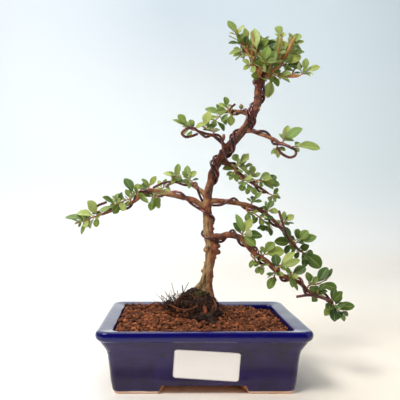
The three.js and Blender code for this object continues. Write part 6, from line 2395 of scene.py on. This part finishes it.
@dataclass
class Wood(Maker):
    """Trunk, branches, twigs and stubs in one skin of bark."""

    tree: TreeRoutes
    swell: float = 0.15
    voxel: float = 0.5
    sides: int = 22
    young: tuple = ("crown_left", "crown_right", "crown_low", "crown_twig")
    young_swell: float = 1.3
    stubs: tuple = ("trunk_stub", "twig_stub")
    # How red each limb's bark is, from tan to dark red-brown
    redness: dict = field(default_factory=lambda: {
        "low_left": 0.42, "back_left": 0.4, "low_right": 0.7, "mid_right": 0.5,
        "back_right": 0.72, "high_left": 0.7, "front_left": 0.75, "high_right": 0.55,
        "root_flare": 0.0, "buttress": 0.0,
    })
    # The main root's shoulder, which spreads to the left at the trunk's foot
    buttress: tuple = (((5, 3, 93), (1.5, 2.5, 85), (-4, 1.5, 78.5), (-13, 0, 73)), (2.6, 2.4))
    groove: tuple = (4.6, 84.5)
    # The trunk's knots and bud scars: how far along it, its turn, and its radius
    knots: tuple = (
        (35, -75, 1.9), (31, 90, 1.1), (43, -95, 1.0), (49, 60, 1.2), (57, 20, 2.8),
        (56, -60, 3.0), (55, 90, 3.0), (60, -30, 2.4), (60, 60, 2.6), (82, 80, 1.6),
        (76, 70, 1.4), (112, -20, 1.5), (98, -20, 1.7), (103, 60, 1.5), (140, 20, 1.3),
        (152, -60, 1.6), (176, 40, 1.2), (196, -30, 1.4), (214, 70, 1.2),
    )
    knot_pitch: float = 6.5
    # By how much a limb is thicker at its foot, and how far up that reaches
    trunk_flare: tuple = (0.12, 12)
    limb_flare: tuple = (0.25, 6)
    batch: int = 8000

    def make(self) -> Object:
        """Builds every limb, joins them in one skin, and works the bark on it.

        Returns:
            The piece.
        """
        rng = np.random.default_rng(61)
        shape = Shape()
        for name, limb in self.tree.limbs.items():
            self.add_limb(shape, name, limb)
        self.add_limb(shape, "buttress", Limb(*self.buttress))
        base, faces = ball(2)
        for along, turn, radius in self.knots:
            spot = self.on_limb(self.tree.limbs["trunk"], along, turn, 0.25)
            shape.add(base * radius + spot, faces)
        for name, limb in self.tree.limbs.items():
            if name in (*self.stubs, "root_flare"):
                continue
            start = 60 if name == "trunk" else 8
            for along in np.arange(start, limb.length - 2, self.knot_pitch):
                spot = self.on_limb(limb, along + rng.uniform(-2, 2), rng.uniform(0, 360), 0.3)
                shape.add(base * rng.uniform(0.55, 1.0) + spot, faces)
        mesh = remeshed(shape, self.voxel, 3)
        corners, normals = rows_of(mesh.vertices, "co"), rows_of(mesh.vertex_normals, "vector")
        noise, worked = Noise(3), []
        for start in range(0, len(corners), self.batch):
            part = slice(start, start + self.batch)
            worked.append(self.work(noise, corners[part], normals[part]))
        lift, tint = (np.concatenate(rows) for rows in zip(*worked))
        piece = self.skinned(mesh, "tree_wood", corners + normals * lift[:, None], tint)
        return dress(piece, "bark", "wood")

    def on_limb(self, limb: Limb, along: float, turn: float, sunk: float) -> Rows:
        """A place on a limb's surface.

        Args:
            limb: the limb.
            along: how far along it.
            turn: how far round it from the front, in degrees.
            sunk: how far under the surface.

        Returns:
            The place.
        """
        place, direction, radius = limb.one(min(along, limb.length))
        out = turned(ways_across(direction)[0], direction, math.radians(turn))
        return place + out * (radius + self.swell - sunk)

    def add_limb(self, shape: Shape, name: str, limb: Limb) -> None:
        """Adds a limb as a rod that swells where it leaves another.

        Args:
            shape: what it is added to.
            name: the limb's name.
            limb: the limb.
        """
        along = np.linspace(0, limb.length, max(4, math.ceil(limb.length)))
        place, _, radius = limb.at(along)
        radius = radius + self.swell
        if name == "trunk":
            more, reach = self.trunk_flare
            radius = radius * (0.95 + more * np.exp(-((along / reach) ** 2)))
        elif name not in ("root_flare", "buttress"):
            more, reach = self.limb_flare
            radius = radius * (1 + more * np.exp(-((along / reach) ** 2)))
        if name in self.young:
            radius = radius * self.young_swell
        shape.rod(place, radius, self.sides, dome=0.15 if name in self.stubs else 0.7)

    def work(self, noise: Noise, spots: Rows, normals: Rows) -> tuple:
        """Works ridges, cracks and lumps into a part of the skin.

        Args:
            noise: what the bark's pattern comes from.
            spots: the skin's corners.
            normals: the way out at each.

        Returns:
            How far each corner lifts, and its tint.
        """
        wood = self.tree.wood
        _, away, best, share = wood.nearest(spots)
        owner, ends, radius = np.array(wood.owner)[best], wood.along[best], wood.start_radius[best]
        along = ends[:, 0] + share * (ends[:, 1] - ends[:, 0])
        span = unit(wood.end[best] - wood.start[best])
        front, side = ways_across(span)
        out = unit(away)
        shift = np.array([sum(map(ord, name)) % 37 for name in owner]) * 3.1
        fibre = np.column_stack([(out * front).sum(1) * radius, (out * side).sum(1) * radius,
                                 along * 0.16 + shift])
        ridges = noise.rough(fibre, 1.5, 2)
        cracks = smoothstep(noise.at(fibre + 50, 0.9), 0.62, 0.85)
        lumps = noise.rough(spots, 6.5, 2) - 0.5
        thick = smoothstep(radius, 1.2, 4.5)
        depth = 0.16 + 0.42 * thick
        groove = np.exp(-(((spots[:, [0, 2]] - self.groove) / [0.95, 8]) ** 2).sum(1))
        groove = groove * (out[:, 1] < -0.3)
        lift = (ridges - 0.5) * depth * 1.7 - cracks * depth * 0.6 - 1.9 * groove
        lift += lumps * (0.5 + 1.2 * thick)
        high = smoothstep(along, 42, 140)
        # Painted light and shade: the bark is lighter and tanner on its left side and darker and redder
        # on its right, as the light falls from the left
        up = 0.2 + high * 0.74 + (0.5 - 0.2 * high) * out[:, 0]
        # Each limb has its own redness, with the same painted side shade
        for name, redness in self.redness.items():
            up = np.where(owner == name, redness + 0.15 * out[:, 0], up)
        up = up + (noise.at(spots, 14) - 0.5) * 0.3 + (noise.at(spots + 20, 3.8) - 0.5) * 0.7
        # Painted shade: darker in the cracks, between the ridges and in the groove, with the cracks'
        # own dark colour
        deep = np.clip(cracks * 0.5 + (0.47 - ridges) * 1.3 + groove, 0, 0.9)
        young = np.isin(owner, self.young) * (0.7 + 0.3 * noise.at(spots, 9))
        cut = np.isin(owner, self.stubs) & (share > 0.9) & ((normals * span).sum(1) > 0.7)
        return lift, tints(up, deep, young, cut * 0.8)


@dataclass
class Wires(Maker):
    """The training wires, each a soft round rod along its route."""

    step: float = 0.8
    sides: int = 12

    def make(self, name: str, route: Rows) -> Object:
        """Builds one wire along its route.

        Args:
            name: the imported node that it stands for.
            route: points along it.

        Returns:
            The piece.
        """
        curve = Curve(route, centripetal=True)
        along = np.linspace(0, curve.length, math.ceil(curve.length / self.step))
        shape = Shape()
        shape.rod(curve.place(curve.share(along)), WIRE_RADIUS, self.sides, dome=0.35)
        piece = self.built(shape, name.replace("wire", "training_wire"), 50)
        return dress(piece, "training_wire", name)


class Age(Enum):
    """How old a leaf looks, as its place from pale to dark green."""

    YOUNG = 0.1
    MIDDLE = 0.42
    OLD = 0.85


# The crown's inner twigs: a place by the wood that each grows from, its route, the age of its
# leaves, and the leaves as place along, turn, lean, length and breadth
CROWN_SHOOTS = [
    ((50, 4, 298), [(50, 9, 303), (52, 11, 309)], Age.OLD,
     [(0.5, 150, 10, 11), (0.8, 60, 10, 12), (1, 110, 15, 12, 0.7), (1, 20, 20, 13, 0.7)]),
    ((59, 7, 281), [(62, 12, 287), (63, 14, 294)], Age.OLD,
     [(0.4, 140, 20, 12, 0.7), (0.7, 30, 10, 11), (1, 85, 15, 14, 0.7), (1, 130, 10, 12),
      (1, 45, 15, 12, 0.7)]),
    ((67, 8, 285), [(67, 14, 294), (67, 16, 303)], Age.OLD,
     [(0.4, 160, 5, 11, 0.7), (0.7, 25, 10, 10), (1, 70, 10, 14, 0.75), (1, 125, 10, 13, 0.7),
      (1, 10, 5, 11)]),
    ((56, 4, 280), [(57, -2, 283), (57, -5, 286)], Age.MIDDLE,
     [(0.8, -20, -25, 9), (1, 150, -20, 10, 0.75), (1, 60, -30, 10), (1, 100, -20, 12, 0.7)]),
    ((73, 9, 290), [(73, 3, 296), (73, 1, 301)], Age.MIDDLE,
     [(0.5, 170, -15, 9), (0.8, 40, -20, 10), (1, 100, -15, 12, 0.5), (1, 150, -10, 11)]),
    ((46, 0.5, 302), [(46, 3, 309), (45, 2, 314)], Age.YOUNG,
     [(0.6, 60, 20, 10), (1, 107, -10, 13, 0.55), (1, 153, -5, 12, 0.55), (0.8, 30, 20, 9)]),
    ((51, 2, 292), [(51.5, 0, 303), (50, -2, 316)], Age.YOUNG,
     [(0.7, 150, 20, 8), (1, 60, 10, 6), (1, 130, 0, 5)]),
    ((55, 4, 286), [(56, 1, 298), (55.5, 0, 309)], Age.MIDDLE,
     [(0.5, 140, -15, 10), (0.8, 40, 10, 12, 0.7), (1, 75, 20, 12)]),
    ((76, 10, 293), [(75, 9, 303), (76, 8, 315)], Age.YOUNG,
     [(0.4, 150, 15, 10), (0.7, 60, 20, 10), (1, 95, 0, 7)]),
    ((84, 12, 308), [(88, 9, 311), (90, 8, 314)], Age.MIDDLE,
     [(0.7, -20, 0, 10, 0.7), (1, 55, 5, 12, 0.7), (1, 10, -10, 10)]),
    ((88, 7, 282), [(90, 10, 287), (92, 12, 290)], Age.MIDDLE,
     [(0.7, 150, 10, 10), (1, 100, 10, 12, 0.7), (1, 30, 15, 11), (1, 60, 20, 10)]),
    ((64, 8, 284), [(65, 2, 288), (66, -2, 291)], Age.MIDDLE,
     [(0.7, 130, -10, 11, 0.7), (1, 75, -20, 13, 0.7), (1, 20, -15, 11), (1, -20, -20, 9)]),
    ((47, 1, 301), [(43, 6, 303), (40, 8, 306)], Age.MIDDLE,
     [(0.7, 100, 15, 11), (1, 150, 10, 9), (1, 60, 15, 12, 0.7)]),
    ((73, 9, 289), [(72.5, 3, 297), (74, 0, 307), (75.5, -1, 315)], Age.MIDDLE, []),
    ((79, 10, 297), [(83.5, 4, 305), (86, 3, 311), (90, 2, 318)], Age.MIDDLE, []),
    ((84, 12, 309), [(87, 5, 313), (86, 3, 317)], Age.MIDDLE, []),
    ((49, 1, 297), [(48.5, -4, 303), (49, -6, 311), (47, -7, 319)], Age.MIDDLE, []),
    ((40, -1, 308), [(36, -3, 314), (33, -5, 322)], Age.MIDDLE, []),
    ((56, 4, 283), [(57, -3, 291), (56.5, -5, 301)], Age.MIDDLE, []),
]


@dataclass
class Foliage(Maker):
    """The leafy shoots: thin young stems, leaves on stalks, and buds."""

    tree: TreeRoutes
    thick: float = 0.34
    stem_radius: float = 0.78
    stem_sides: int = 8
    bare_stout: float = 2.3
    leafy_stout: float = 1.3
    # For each limb's shoots: the shares of young, middle and old leaves, and how many small
    # leaves are added between the main ones for each 10 mm of stem
    growth: dict = field(default_factory=lambda: {
        "low_left": ((0.35, 0.5, 0.15), 4.5), "back_left": ((0.55, 0.35, 0.1), 4.5),
        "low_right": ((0.1, 0.5, 0.4), 3.2), "mid_right": ((0.15, 0.5, 0.35), 4.2),
        "back_right": ((0.45, 0.4, 0.15), 3.6), "high_right": ((0.6, 0.35, 0.05), 2.0),
        "high_left": ((0.3, 0.5, 0.2), 2.6), "front_left": ((0.4, 0.45, 0.15), 2.6),
        "crown_left": ((0.3, 0.5, 0.2), 3.2), "crown_right": ((0.4, 0.4, 0.2), 3.6),
        "crown_low": ((0.4, 0.5, 0.1), 3.2), "crown_twig": ((0.8, 0.2, 0.0), 2.6),
    })
    dark_shares: tuple = (0.0, 0.3, 0.7)
    dark_ends: tuple = (
        "spray_low_right_6", "spray_low_right_7", "spray_low_right_8", "spray_mid_right_5",
        "spray_mid_right_7",
    )
    broad: dict = field(default_factory=lambda: {"spray_high_right_2": 1.3})
    light: tuple = (0.05, -0.85, 0.5)
    room: float = 1.7
    tries: int = 16
    # The crown's inner leaves: small ones added, breadth, arch and roll
    fill_count: int = 4
    fill_breadth: float = 0.62
    fill_arch: float = 0.07
    fill_roll: float = 25
    columns: tuple = (-1, -0.78, -0.5, -0.2, 0, 0.2, 0.5, 0.78, 1)

    def survey(self) -> None:
        """Notes the wood, the wires and every main leaf, which the added leaves stay clear of."""
        self.solid = Lengths.joined([self.tree.wood, self.tree.wire_lengths])
        stems = [stem for leafy in self.tree.sprays.values() for stem in leafy]
        self.taken = np.concatenate([self.spots(leaf) for stem in stems for leaf in stem.grown])

    def spots(self, leaf: Leaf) -> Rows:
        """Three places along a leaf's middle."""
        u = np.array([0.45, 0.7, 0.95])
        return leaf.middle(u, 0 * u, 0 * u)

    def take(self, leaf: Leaf) -> None:
        """Notes where a leaf stands."""
        self.taken = np.concatenate([self.taken, self.spots(leaf)])

    def make(self, name: str, leafy: list) -> Object:
        """Builds one shoot.

        Args:
            name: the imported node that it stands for.
            leafy: its arms with their grown leaves.

        Returns:
            The piece.
        """
        rng = np.random.default_rng(sum(map(ord, name)) * 7)
        shape = Shape()
        shares, fill = self.growth[name.removeprefix("spray_").rsplit("_", 1)[0]]
        if name in self.dark_ends:
            shares = self.dark_shares
        for arm in leafy:
            self.add_stem(shape, arm.stem, rng)
            grown = [self.to_light(leaf) for leaf in arm.grown]
            grown = [replace(leaf, half=leaf.half * self.broad.get(name, 1)) for leaf in grown]
            count = round(fill * arm.stem.length / 10) + 1
            for leaf in grown + self.between(arm.stem, count, rng):
                age = rng.choice([age.value for age in Age], p=shares)
                self.add_leaf(shape, leaf, age, rng)
            self.add_bud(shape, arm.stem, rng)
        return dress(self.built(shape, name.replace("spray", "leafy")), "leaf", name)

    def make_fill(self) -> Object:
        """Builds the crown's crowded inner twigs and leaves.

        Returns:
            The piece.
        """
        rng = np.random.default_rng(19)
        shape = Shape()
        for foot, points, age, leaves in CROWN_SHOOTS:
            away = self.tree.wood.nearest([foot])[1][0]
            stem = Limb([foot - away, *points], [1, 1])
            self.add_stem(shape, stem, rng, self.leafy_stout if leaves else self.bare_stout)
            if not leaves:
                continue
            for at, turn, lean, long, *breadth in leaves:
                base = stem.one(min(at, 0.98) * stem.length)[0]
                share = breadth[0] if breadth else self.fill_breadth
                roll = rng.uniform(-self.fill_roll, self.fill_roll)
                leaf = Leaf.lying(base, turn, lean, long, share, roll, self.fill_arch)
                self.add_leaf(shape, self.to_light(leaf), age.value, rng)
                self.take(leaf)
            for leaf in self.between(stem, self.fill_count, rng):
                self.add_leaf(shape, leaf, age.value, rng)
            self.add_bud(shape, stem, rng)
        return dress(self.built(shape, "leafy_crown_middle"), "leaf")

    def to_light(self, leaf: Leaf) -> Leaf:
        """Turns a leaf about its own length so that its face lies more to the light.

        Args:
            leaf: the leaf.

        Returns:
            The turned leaf.
        """
        light = self.light - self.light @ leaf.along * leaf.along
        face = unit(leaf.face + 0.5 * light * (-1 if leaf.face @ light < 0 else 1))
        return replace(leaf, face=face, side=np.cross(leaf.along, face))

    def between(self, stem: Limb, count: int, rng: Rng) -> list:
        """Finds room for small leaves along a stem.

        Args:
            stem: where they grow.
            count: how many are tried.
            rng: the draws of their places.

        Returns:
            The leaves that found room.
        """
        found = []
        for _ in range(count):
            base, direction, radius = stem.one(rng.uniform(0.12, 1) * stem.length)
            best, room = None, self.room
            for _ in range(self.tries):
                out = unit(np.cross(direction, rng.normal(0, 1, 3)))
                way = unit(direction * rng.uniform(0.2, 0.9) + out + [0, -0.15, 0.3])
                face = ways_across(way, [0, -0.7, 0.7] + rng.normal(0, 0.45, 3))
                long = rng.uniform(6.5, 12.5)
                half, arch = long * rng.uniform(0.27, 0.37), rng.uniform(0.02, 0.12)
                leaf = Leaf(base + out * radius * 0.6, way, *face, long, half, arch)
                spots = self.spots(leaf)
                gap = np.sqrt(((spots[:, None] - self.taken[None]) ** 2).sum(2)).min() * 0.5
                gap = min(gap, self.solid.nearest(spots)[0].min() + 0.6)
                if gap > room:
                    best, room = leaf, gap
            if best:
                found.append(best)
                self.take(best)
        return found

    def add_stem(self, shape: Shape, stem: Limb, rng: Rng, stout: float = 1.0) -> None:
        """Adds a young stem from inside its root to its tip, with a swelling at its foot.

        Args:
            shape: what it is added to.
            stem: its route.
            rng: the draws of its thickness and shade.
            stout: how thick it is beside a usual one.
        """
        along = np.linspace(0, stem.length, max(5, math.ceil(stem.length / 1.1)))
        place, direction, _ = stem.at(along)
        place = np.concatenate([[place[0] - direction[0] * 1.5], place])
        share = np.concatenate([[0], along / stem.length])
        radii = self.stem_radius * stout * (1 - 0.3 * share) * rng.uniform(0.93, 1.08, len(share))
        radii[:2] *= 1.25
        dark = rng.uniform(0.1, 0.8)
        shape.rod(place, radii, self.stem_sides,
                  lambda lie: tints(smoothstep(lie, 0.35, 1.1) * 0.8, dark), 1)

    def add_leaf(self, shape: Shape, leaf: Leaf, age: float, rng: Rng) -> None:
        """Adds a leaf: a folded blade with an upper and a lower side, on a stalk that runs on
        under it as the midrib.

        Args:
            shape: what it is added to.
            leaf: its place and lie.
            age: from pale to dark green.
            rng: the draws of its shape and shade.
        """
        rows, columns = 13 if leaf.long > 9 else 9, len(self.columns)
        share = 1 - (1 - np.linspace(0, 1, rows)) ** 1.4
        bulge = np.maximum(np.sin(np.pi * share ** rng.uniform(0.95, 1.4)), 0)
        half = leaf.half * rng.uniform(0.82, 1.04)
        half = half * bulge ** (rng.uniform(0.62, 0.9) - 0.1 * share)
        half[0], half[-1] = 0.3, 0.1
        u, v = np.meshgrid(0.1 + 0.9 * share, self.columns, indexing="ij")
        middle = self.sheet(leaf, u, v, np.repeat(half[:, None], columns, axis=1), rng)
        thin = np.sqrt(np.clip(1 - v**2, 0, 1)) * np.minimum(1, 4 * (1.02 - u))
        push = (self.thick / 2 * thin)[..., None] * leaf.face
        upper, lower = middle + push, (middle - push)[:, 1:-1]
        corners = np.concatenate([upper.reshape(-1, 3), lower.reshape(-1, 3)])
        # The numbers of the corners, which the two sides share along the edges
        top = np.arange(rows * columns).reshape(rows, columns)
        under = top.copy()
        under[:, 1:-1] = rows * columns + np.arange(lower[..., 0].size).reshape(rows, -1)
        faces = []
        for r in range(rows - 1):
            for c in range(columns - 1):
                faces.append((top[r, c], top[r, c + 1], top[r + 1, c + 1], top[r + 1, c]))
                faces.append((under[r, c], under[r + 1, c], under[r + 1, c + 1], under[r, c + 1]))
        for r, turn in ((0, 1), (rows - 1, -1)):
            for c in range(columns - 1):
                ring = dict.fromkeys((top[r, c], under[r, c], under[r, c + 1], top[r, c + 1]))
                faces.append(tuple(ring)[::turn])
        place = np.stack([u, (v + 1) / 2], axis=-1)
        lie = np.concatenate([place.reshape(-1, 2), place[:, 1:-1].reshape(-1, 2)])
        dark, own = np.clip(age + rng.normal(0, 0.08), 0, 1), rng.random()
        below = np.arange(len(corners)) >= rows * columns
        worn = 0.5 if rng.random() < 0.25 else 0.05
        shape.add(corners, faces, tints(dark, own, below, worn), lie)
        self.add_stalk(shape, leaf)

    def sheet(self, leaf: Leaf, u: Rows, v: Rows, half: Rows, rng: Rng) -> Rows:
        """Lays the middle of a leaf's blade: folded along its midrib, arched, and a little wavy.

        Args:
            leaf: its place and lie.
            u: shares of the length.
            v: shares of the half breadth.
            half: the half breadth there.
            rng: the draws of its fold, waves, twist and bend.

        Returns:
            Its places.
        """
        rise = LEAF_FOLD * half * (np.sqrt(v * v + 0.04) - 0.2) * rng.uniform(0.8, 3.0)
        rise += 0.05 * half * v * v * np.sin(9 * u + rng.uniform(0, 6.28))
        rise += rng.normal(0, 0.12) * half * v * u
        bend = rng.normal(0, 0.035) * leaf.long * (u - 0.1) ** 2
        return leaf.middle(u, v, half, rise) + bend[..., None] * leaf.side

    def add_stalk(self, shape: Shape, leaf: Leaf) -> None:
        """Adds the stalk, which thins into the midrib on the underside.

        Args:
            shape: what it is added to.
            leaf: the leaf it carries.
        """
        u = np.array([-0.06, 0.02, 0.08, 0.14, 0.24, 0.4, 0.6, 0.8])
        sink = self.thick * 0.55 * smoothstep(u, 0.08, 0.2)
        places = leaf.middle(u, 0 * u, 0 * u) - sink[:, None] * leaf.face
        radii = np.interp(u, [-0.06, 0.12, 0.3, 0.8], [0.42, 0.34, 0.22, 0.08])
        shape.rod(places, radii * min(1, 0.75 + leaf.long / 60), 6,
                  lambda lie: tints(np.clip(0.45 + lie, 0, 1), 0.2), 1)

    def add_bud(self, shape: Shape, stem: Limb, rng: Rng) -> None:
        """Adds the growing tip: a bud with two or three leaves that have yet to open.

        Args:
            shape: what it is added to.
            stem: the stem it ends.
            rng: the draws of its leaves.
        """
        tip, ahead, _ = stem.one(stem.length)
        base, faces = ball(2)
        bud = base * 0.75 + (base @ ahead)[:, None] * ahead * 0.6
        shape.add(bud + tip + ahead * 0.5, faces, (0.2, 0.3, 0.8, 0), slot=1)
        for _ in range(int(rng.integers(2, 4))):
            spread = unit(ahead + rng.normal(0, 0.5, 3))
            face = unit(np.cross(spread, rng.normal(0, 1, 3)))
            long = rng.uniform(3.0, 5.2)
            small = Leaf(tip + ahead * 0.4, spread, face, np.cross(spread, face), long,
                         long * 0.22, 0.05)
            self.add_leaf(shape, small, Age.YOUNG.value, rng)


@dataclass
class Berry(Maker):
    """The one fruit: a small round pome with a calyx at its end, on a short stalk."""

    tree: TreeRoutes
    place: tuple = (40, 10, 253.4)
    radius: float = 2.2
    stalk_radius: float = 0.6
    sepals: int = 5

    def make(self) -> Object:
        """Builds the fruit, its calyx and its stalk.

        Returns:
            The piece.
        """
        centre = np.array(self.place, float)
        gap, away, _, _ = self.tree.wood.nearest(centre[None])
        out = unit(away[0])
        base, faces = ball(4)
        up = unit(out + [-0.25, -0.2, 0.3])
        height = base @ up
        sunk = 1 - 0.22 * np.exp(-((1 - height) / 0.05)) - 0.1 * np.exp(-((1 + height) / 0.06))
        shape = Shape()
        # Browner towards the lower front left
        browning = smoothstep(base @ unit([-0.5, -0.4, -0.8]), 0.1, 0.9) * 0.7
        shape.add(base * sunk[:, None] * self.radius + centre, faces, tints(browning))
        across = unit(np.cross(up, [0.3, 0.9, 0.1]))
        for k in range(self.sepals):
            side = turned(across, up, 2 * math.pi * k / self.sepals)
            start = centre + up * self.radius * 0.86 + side * 0.35
            points = [start, start + side * 0.35 + up * 0.4, start + side * 0.15 + up * 0.85]
            shape.rod(points, [0.3, 0.24, 0.08], 6, (0.1, 0.9, 0.4, 0), 1)
        foot = centre - out * (gap[0] + 0.2)
        stalk = Curve([foot, (foot + centre) / 2 + [0.1, -0.1, 0.1], centre])
        places = stalk.place(np.linspace(0, 1, 7))
        shape.rod(places, self.stalk_radius, 8, (0.3, 0.4, 0, 0), 1)
        return dress(self.built(shape, "fruit_on_stalk"), "fruit", "berry")


@dataclass
class Label(Maker):
    """A blank paper sticker on the front wall."""

    pot: Pot
    long: float = 55
    tall: float = 24.8
    centre: tuple = (2.1, 25.4)
    tilt: float = -3.8
    corner: float = 2
    thick: float = 0.22
    # Where the upper right and lower left corners start to lift, and how fast
    right_curl: tuple = (0.86, 2.2)
    left_curl: tuple = (0.9, 1.6)
    columns: int = 44
    rows: int = 20

    def make(self) -> Object:
        """Builds the sticker, which follows the wall and lifts a little at two corners.

        Returns:
            The piece.
        """
        tilt, half = math.radians(self.tilt), self.tall / 2
        v, across = np.meshgrid(np.arange(self.rows + 1) / self.rows - 0.5,
                                np.arange(self.columns + 1) / self.columns - 0.5, indexing="ij")
        v = v * self.tall
        from_end = half - np.abs(v)
        inward = np.clip(self.corner - from_end, 0, None)
        cut = self.corner - np.sqrt(self.corner**2 - inward**2)
        u = across * (self.long - 2 * cut)
        x = self.centre[0] + u * math.cos(tilt) - v * math.sin(tilt)
        z = self.centre[1] + u * math.sin(tilt) + v * math.cos(tilt)
        reach = u / self.long + v / self.tall
        curl = sum(np.maximum(0, way - start) * rise
                   for way, (start, rise) in ((reach, self.right_curl), (-reach, self.left_curl)))
        y = self.pot.wall(z) - self.pot.wide / 2 - self.thick - curl
        edge = 1 - np.minimum(self.long / 2 - cut - np.abs(u), from_end) / 0.5
        upper = np.stack([x, y, z], axis=-1).reshape(-1, 3)
        lower = upper + [0, self.thick, 0]
        count = len(upper)
        at = np.arange(count).reshape(x.shape)
        faces = []
        for row in range(self.rows):
            for column in range(self.columns):
                low, high = at[row, column:column + 2], at[row + 1, column:column + 2]
                four = (*low, *high[::-1])
                faces += [four, tuple(count + i for i in reversed(four))]
        rim = [*at[0, :-1], *at[:-1, -1], *at[-1, :0:-1], *at[:0:-1, 0]]
        faces += [(j, i, i + count, j + count) for i, j in zip(rim, rim[1:] + rim[:1])]
        shape = Shape()
        tint = tints(np.tile(np.maximum(0, edge).ravel(), 2))
        shape.add(np.concatenate([upper, lower]), faces, tint)
        return dress(self.built(shape, "blank_label", 40), "label_paper", "label")


@dataclass
class Studio:
    """The pale table and wall, the soft lights, and the camera."""

    lens: float = 41.877
    sensor: float = 36
    eye: tuple = (-25.0, -439.4, 156.5)
    shift: tuple = (0.065, 0.0178)
    reach: float = 1.6
    wall_away: float = 0.55
    wall_bend: float = 0.25
    # Each lamp: its name, where it hangs, how broad and how strong it is, its colour, its aim
    lamps: tuple = (
        ("key", (-0.5, -0.55, 1.05), 0.4, 12, (1.0, 0.965, 0.91), (0, 0, 0.15)),
        ("fill", (0.9, -0.6, 0.6), 0.8, 2.5, (0.95, 0.98, 1.0), (0, 0, 0.15)),
        ("top", (-0.1, 0.25, 1.2), 0.7, 5.2, (1.0, 0.99, 0.96), (0, 0, 0.15)),
        ("wall", (-0.7, 0.2, 0.9), 0.6, 1.3, (1.0, 1.0, 1.0), (-0.4, 0.8, 0.5)),
    )
    surround: tuple = (0.9, 0.95, 1.0, 1)
    seen_strength: float = 0.82

    def make_stage(self, finish: Material) -> None:
        """Builds the table, which curves up into the wall behind the pot.

        Args:
            finish: the material of both.
        """
        angles = np.radians(90 * np.arange(1, 13) / 12)
        bend = self.wall_away + self.wall_bend * np.sin(angles)
        profile = [(-self.reach, 0.0), (self.wall_away, 0.0)]
        profile += [*zip(bend, self.wall_bend * (1 - np.cos(angles)))]
        profile.append((self.wall_away + self.wall_bend, self.reach))
        corners = [(side * self.reach, y, z) for y, z in profile for side in (-1, 1)]
        faces = [(2 * k, 2 * k + 1, 2 * k + 3, 2 * k + 2) for k in range(len(profile) - 1)]
        mesh = bpy.data.meshes.new("stage")
        mesh.from_pydata(corners, [], faces)
        placed("stage", mesh, [finish])

    def add_lamp(self, name: str, place: tuple, size: float, power: float, colour: tuple,
                 aim: tuple) -> None:
        """Adds a soft square lamp.

        Args:
            name: its name.
            place: where it hangs.
            size: how broad it is.
            power: how strong it is.
            colour: the colour of its light.
            aim: what it is turned to.
        """
        lamp = bpy.data.lights.new(name, "AREA")
        lamp.shape = "SQUARE"
        lamp.size, lamp.energy, lamp.color = size, power, colour
        holder = bpy.data.objects.new(name, lamp)
        bpy.context.scene.collection.objects.link(holder)
        holder.location = place
        way = Vector(aim) - Vector(place)
        holder.rotation_euler = way.to_track_quat("-Z", "Y").to_euler()

    def light(self) -> None:
        """Lights the scene softly from the front and above, with a pale surround."""
        world = bpy.data.worlds.new("surround")
        world.use_nodes = True
        graph = Graph(world.node_tree)
        across = graph.axes(graph.add("TexCoord").outputs["Generated"])["Y"]
        strength = graph.span(graph.ramp(across, -0.7, 0.5), 0.14, 0.55)
        seen = graph.times(graph.add("LightPath").outputs["Is Camera Ray"], self.seen_strength)
        inputs = {"Color": self.surround, "Strength": graph.most(strength, seen)}
        graph.fill(world.node_tree.nodes["Background"], inputs)
        bpy.context.scene.world = world
        for row in self.lamps:
            self.add_lamp(*row)
        bpy.context.scene.view_settings.view_transform = "Standard"

    def set_camera(self, offset: Rows) -> None:
        """Stands the camera where the photograph was taken from.

        Args:
            offset: the pot's frame in the part's frame, in millimetres.
        """
        data = bpy.data.cameras.new("camera")
        data.lens, data.sensor_width = self.lens, self.sensor
        data.shift_x, data.shift_y = self.shift
        data.clip_start, data.clip_end = 0.01, 20
        camera = bpy.data.objects.new("camera", data)
        bpy.context.scene.collection.objects.link(camera)
        camera.location = ((np.array(self.eye) + offset) * MM).tolist()
        camera.rotation_euler = (math.pi / 2, 0, 0)
        bpy.context.scene.camera = camera


def main(frame: dict) -> None:
    """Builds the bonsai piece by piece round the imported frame.

    Args:
        frame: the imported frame, with its nodes.
    """
    logging.basicConfig(level=logging.INFO, format="%(name)s: %(message)s")
    log.info("%d packed nodes", len(frame["nodes"]))
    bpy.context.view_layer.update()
    low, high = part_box("pot")
    offset = np.array([(low.x + high.x) / 2, (low.y + high.y) / 2, low.z]) / MM

    effects = Effects()
    leaf, stem = LeafFinish().material(effects), StemFinish().material(effects)
    peat = PeatFinish().material(effects)
    pot = Pot(offset, [GlazeFinish().material(effects)])
    pot.make()
    DrainNet(offset, [NettingFinish().material(effects)]).make()
    root_ball = RootBall(offset, [peat])
    soil = Soil(offset, [GranuleFinish().material(effects)], pot, root_ball)
    soil.make()
    Litter(offset, [peat], soil).make()
    root_ball.make()
    root_ball.make_roots()
    root_ball.make_moss()
    Label(offset, [PaperFinish().material(effects)], pot).make()

    tree = TreeRoutes()
    tree.lay(offset, frame)
    Wood(offset, [BarkFinish().material(effects)], tree).make()
    wires = Wires(offset, [WireFinish().material(effects)])
    for name, route in tree.wires.items():
        wires.make(name, route)
    foliage = Foliage(offset, [leaf, stem], tree)
    foliage.survey()
    foliage.make_fill()
    for name, leafy in tree.sprays.items():
        foliage.make(name, leafy)
    Berry(offset, [FruitFinish().material(effects), stem], tree).make()

    studio = Studio()
    studio.make_stage(StageFinish().material(effects))
    studio.light()
    studio.set_camera(offset)


if __name__ == "__main__":
    main(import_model())
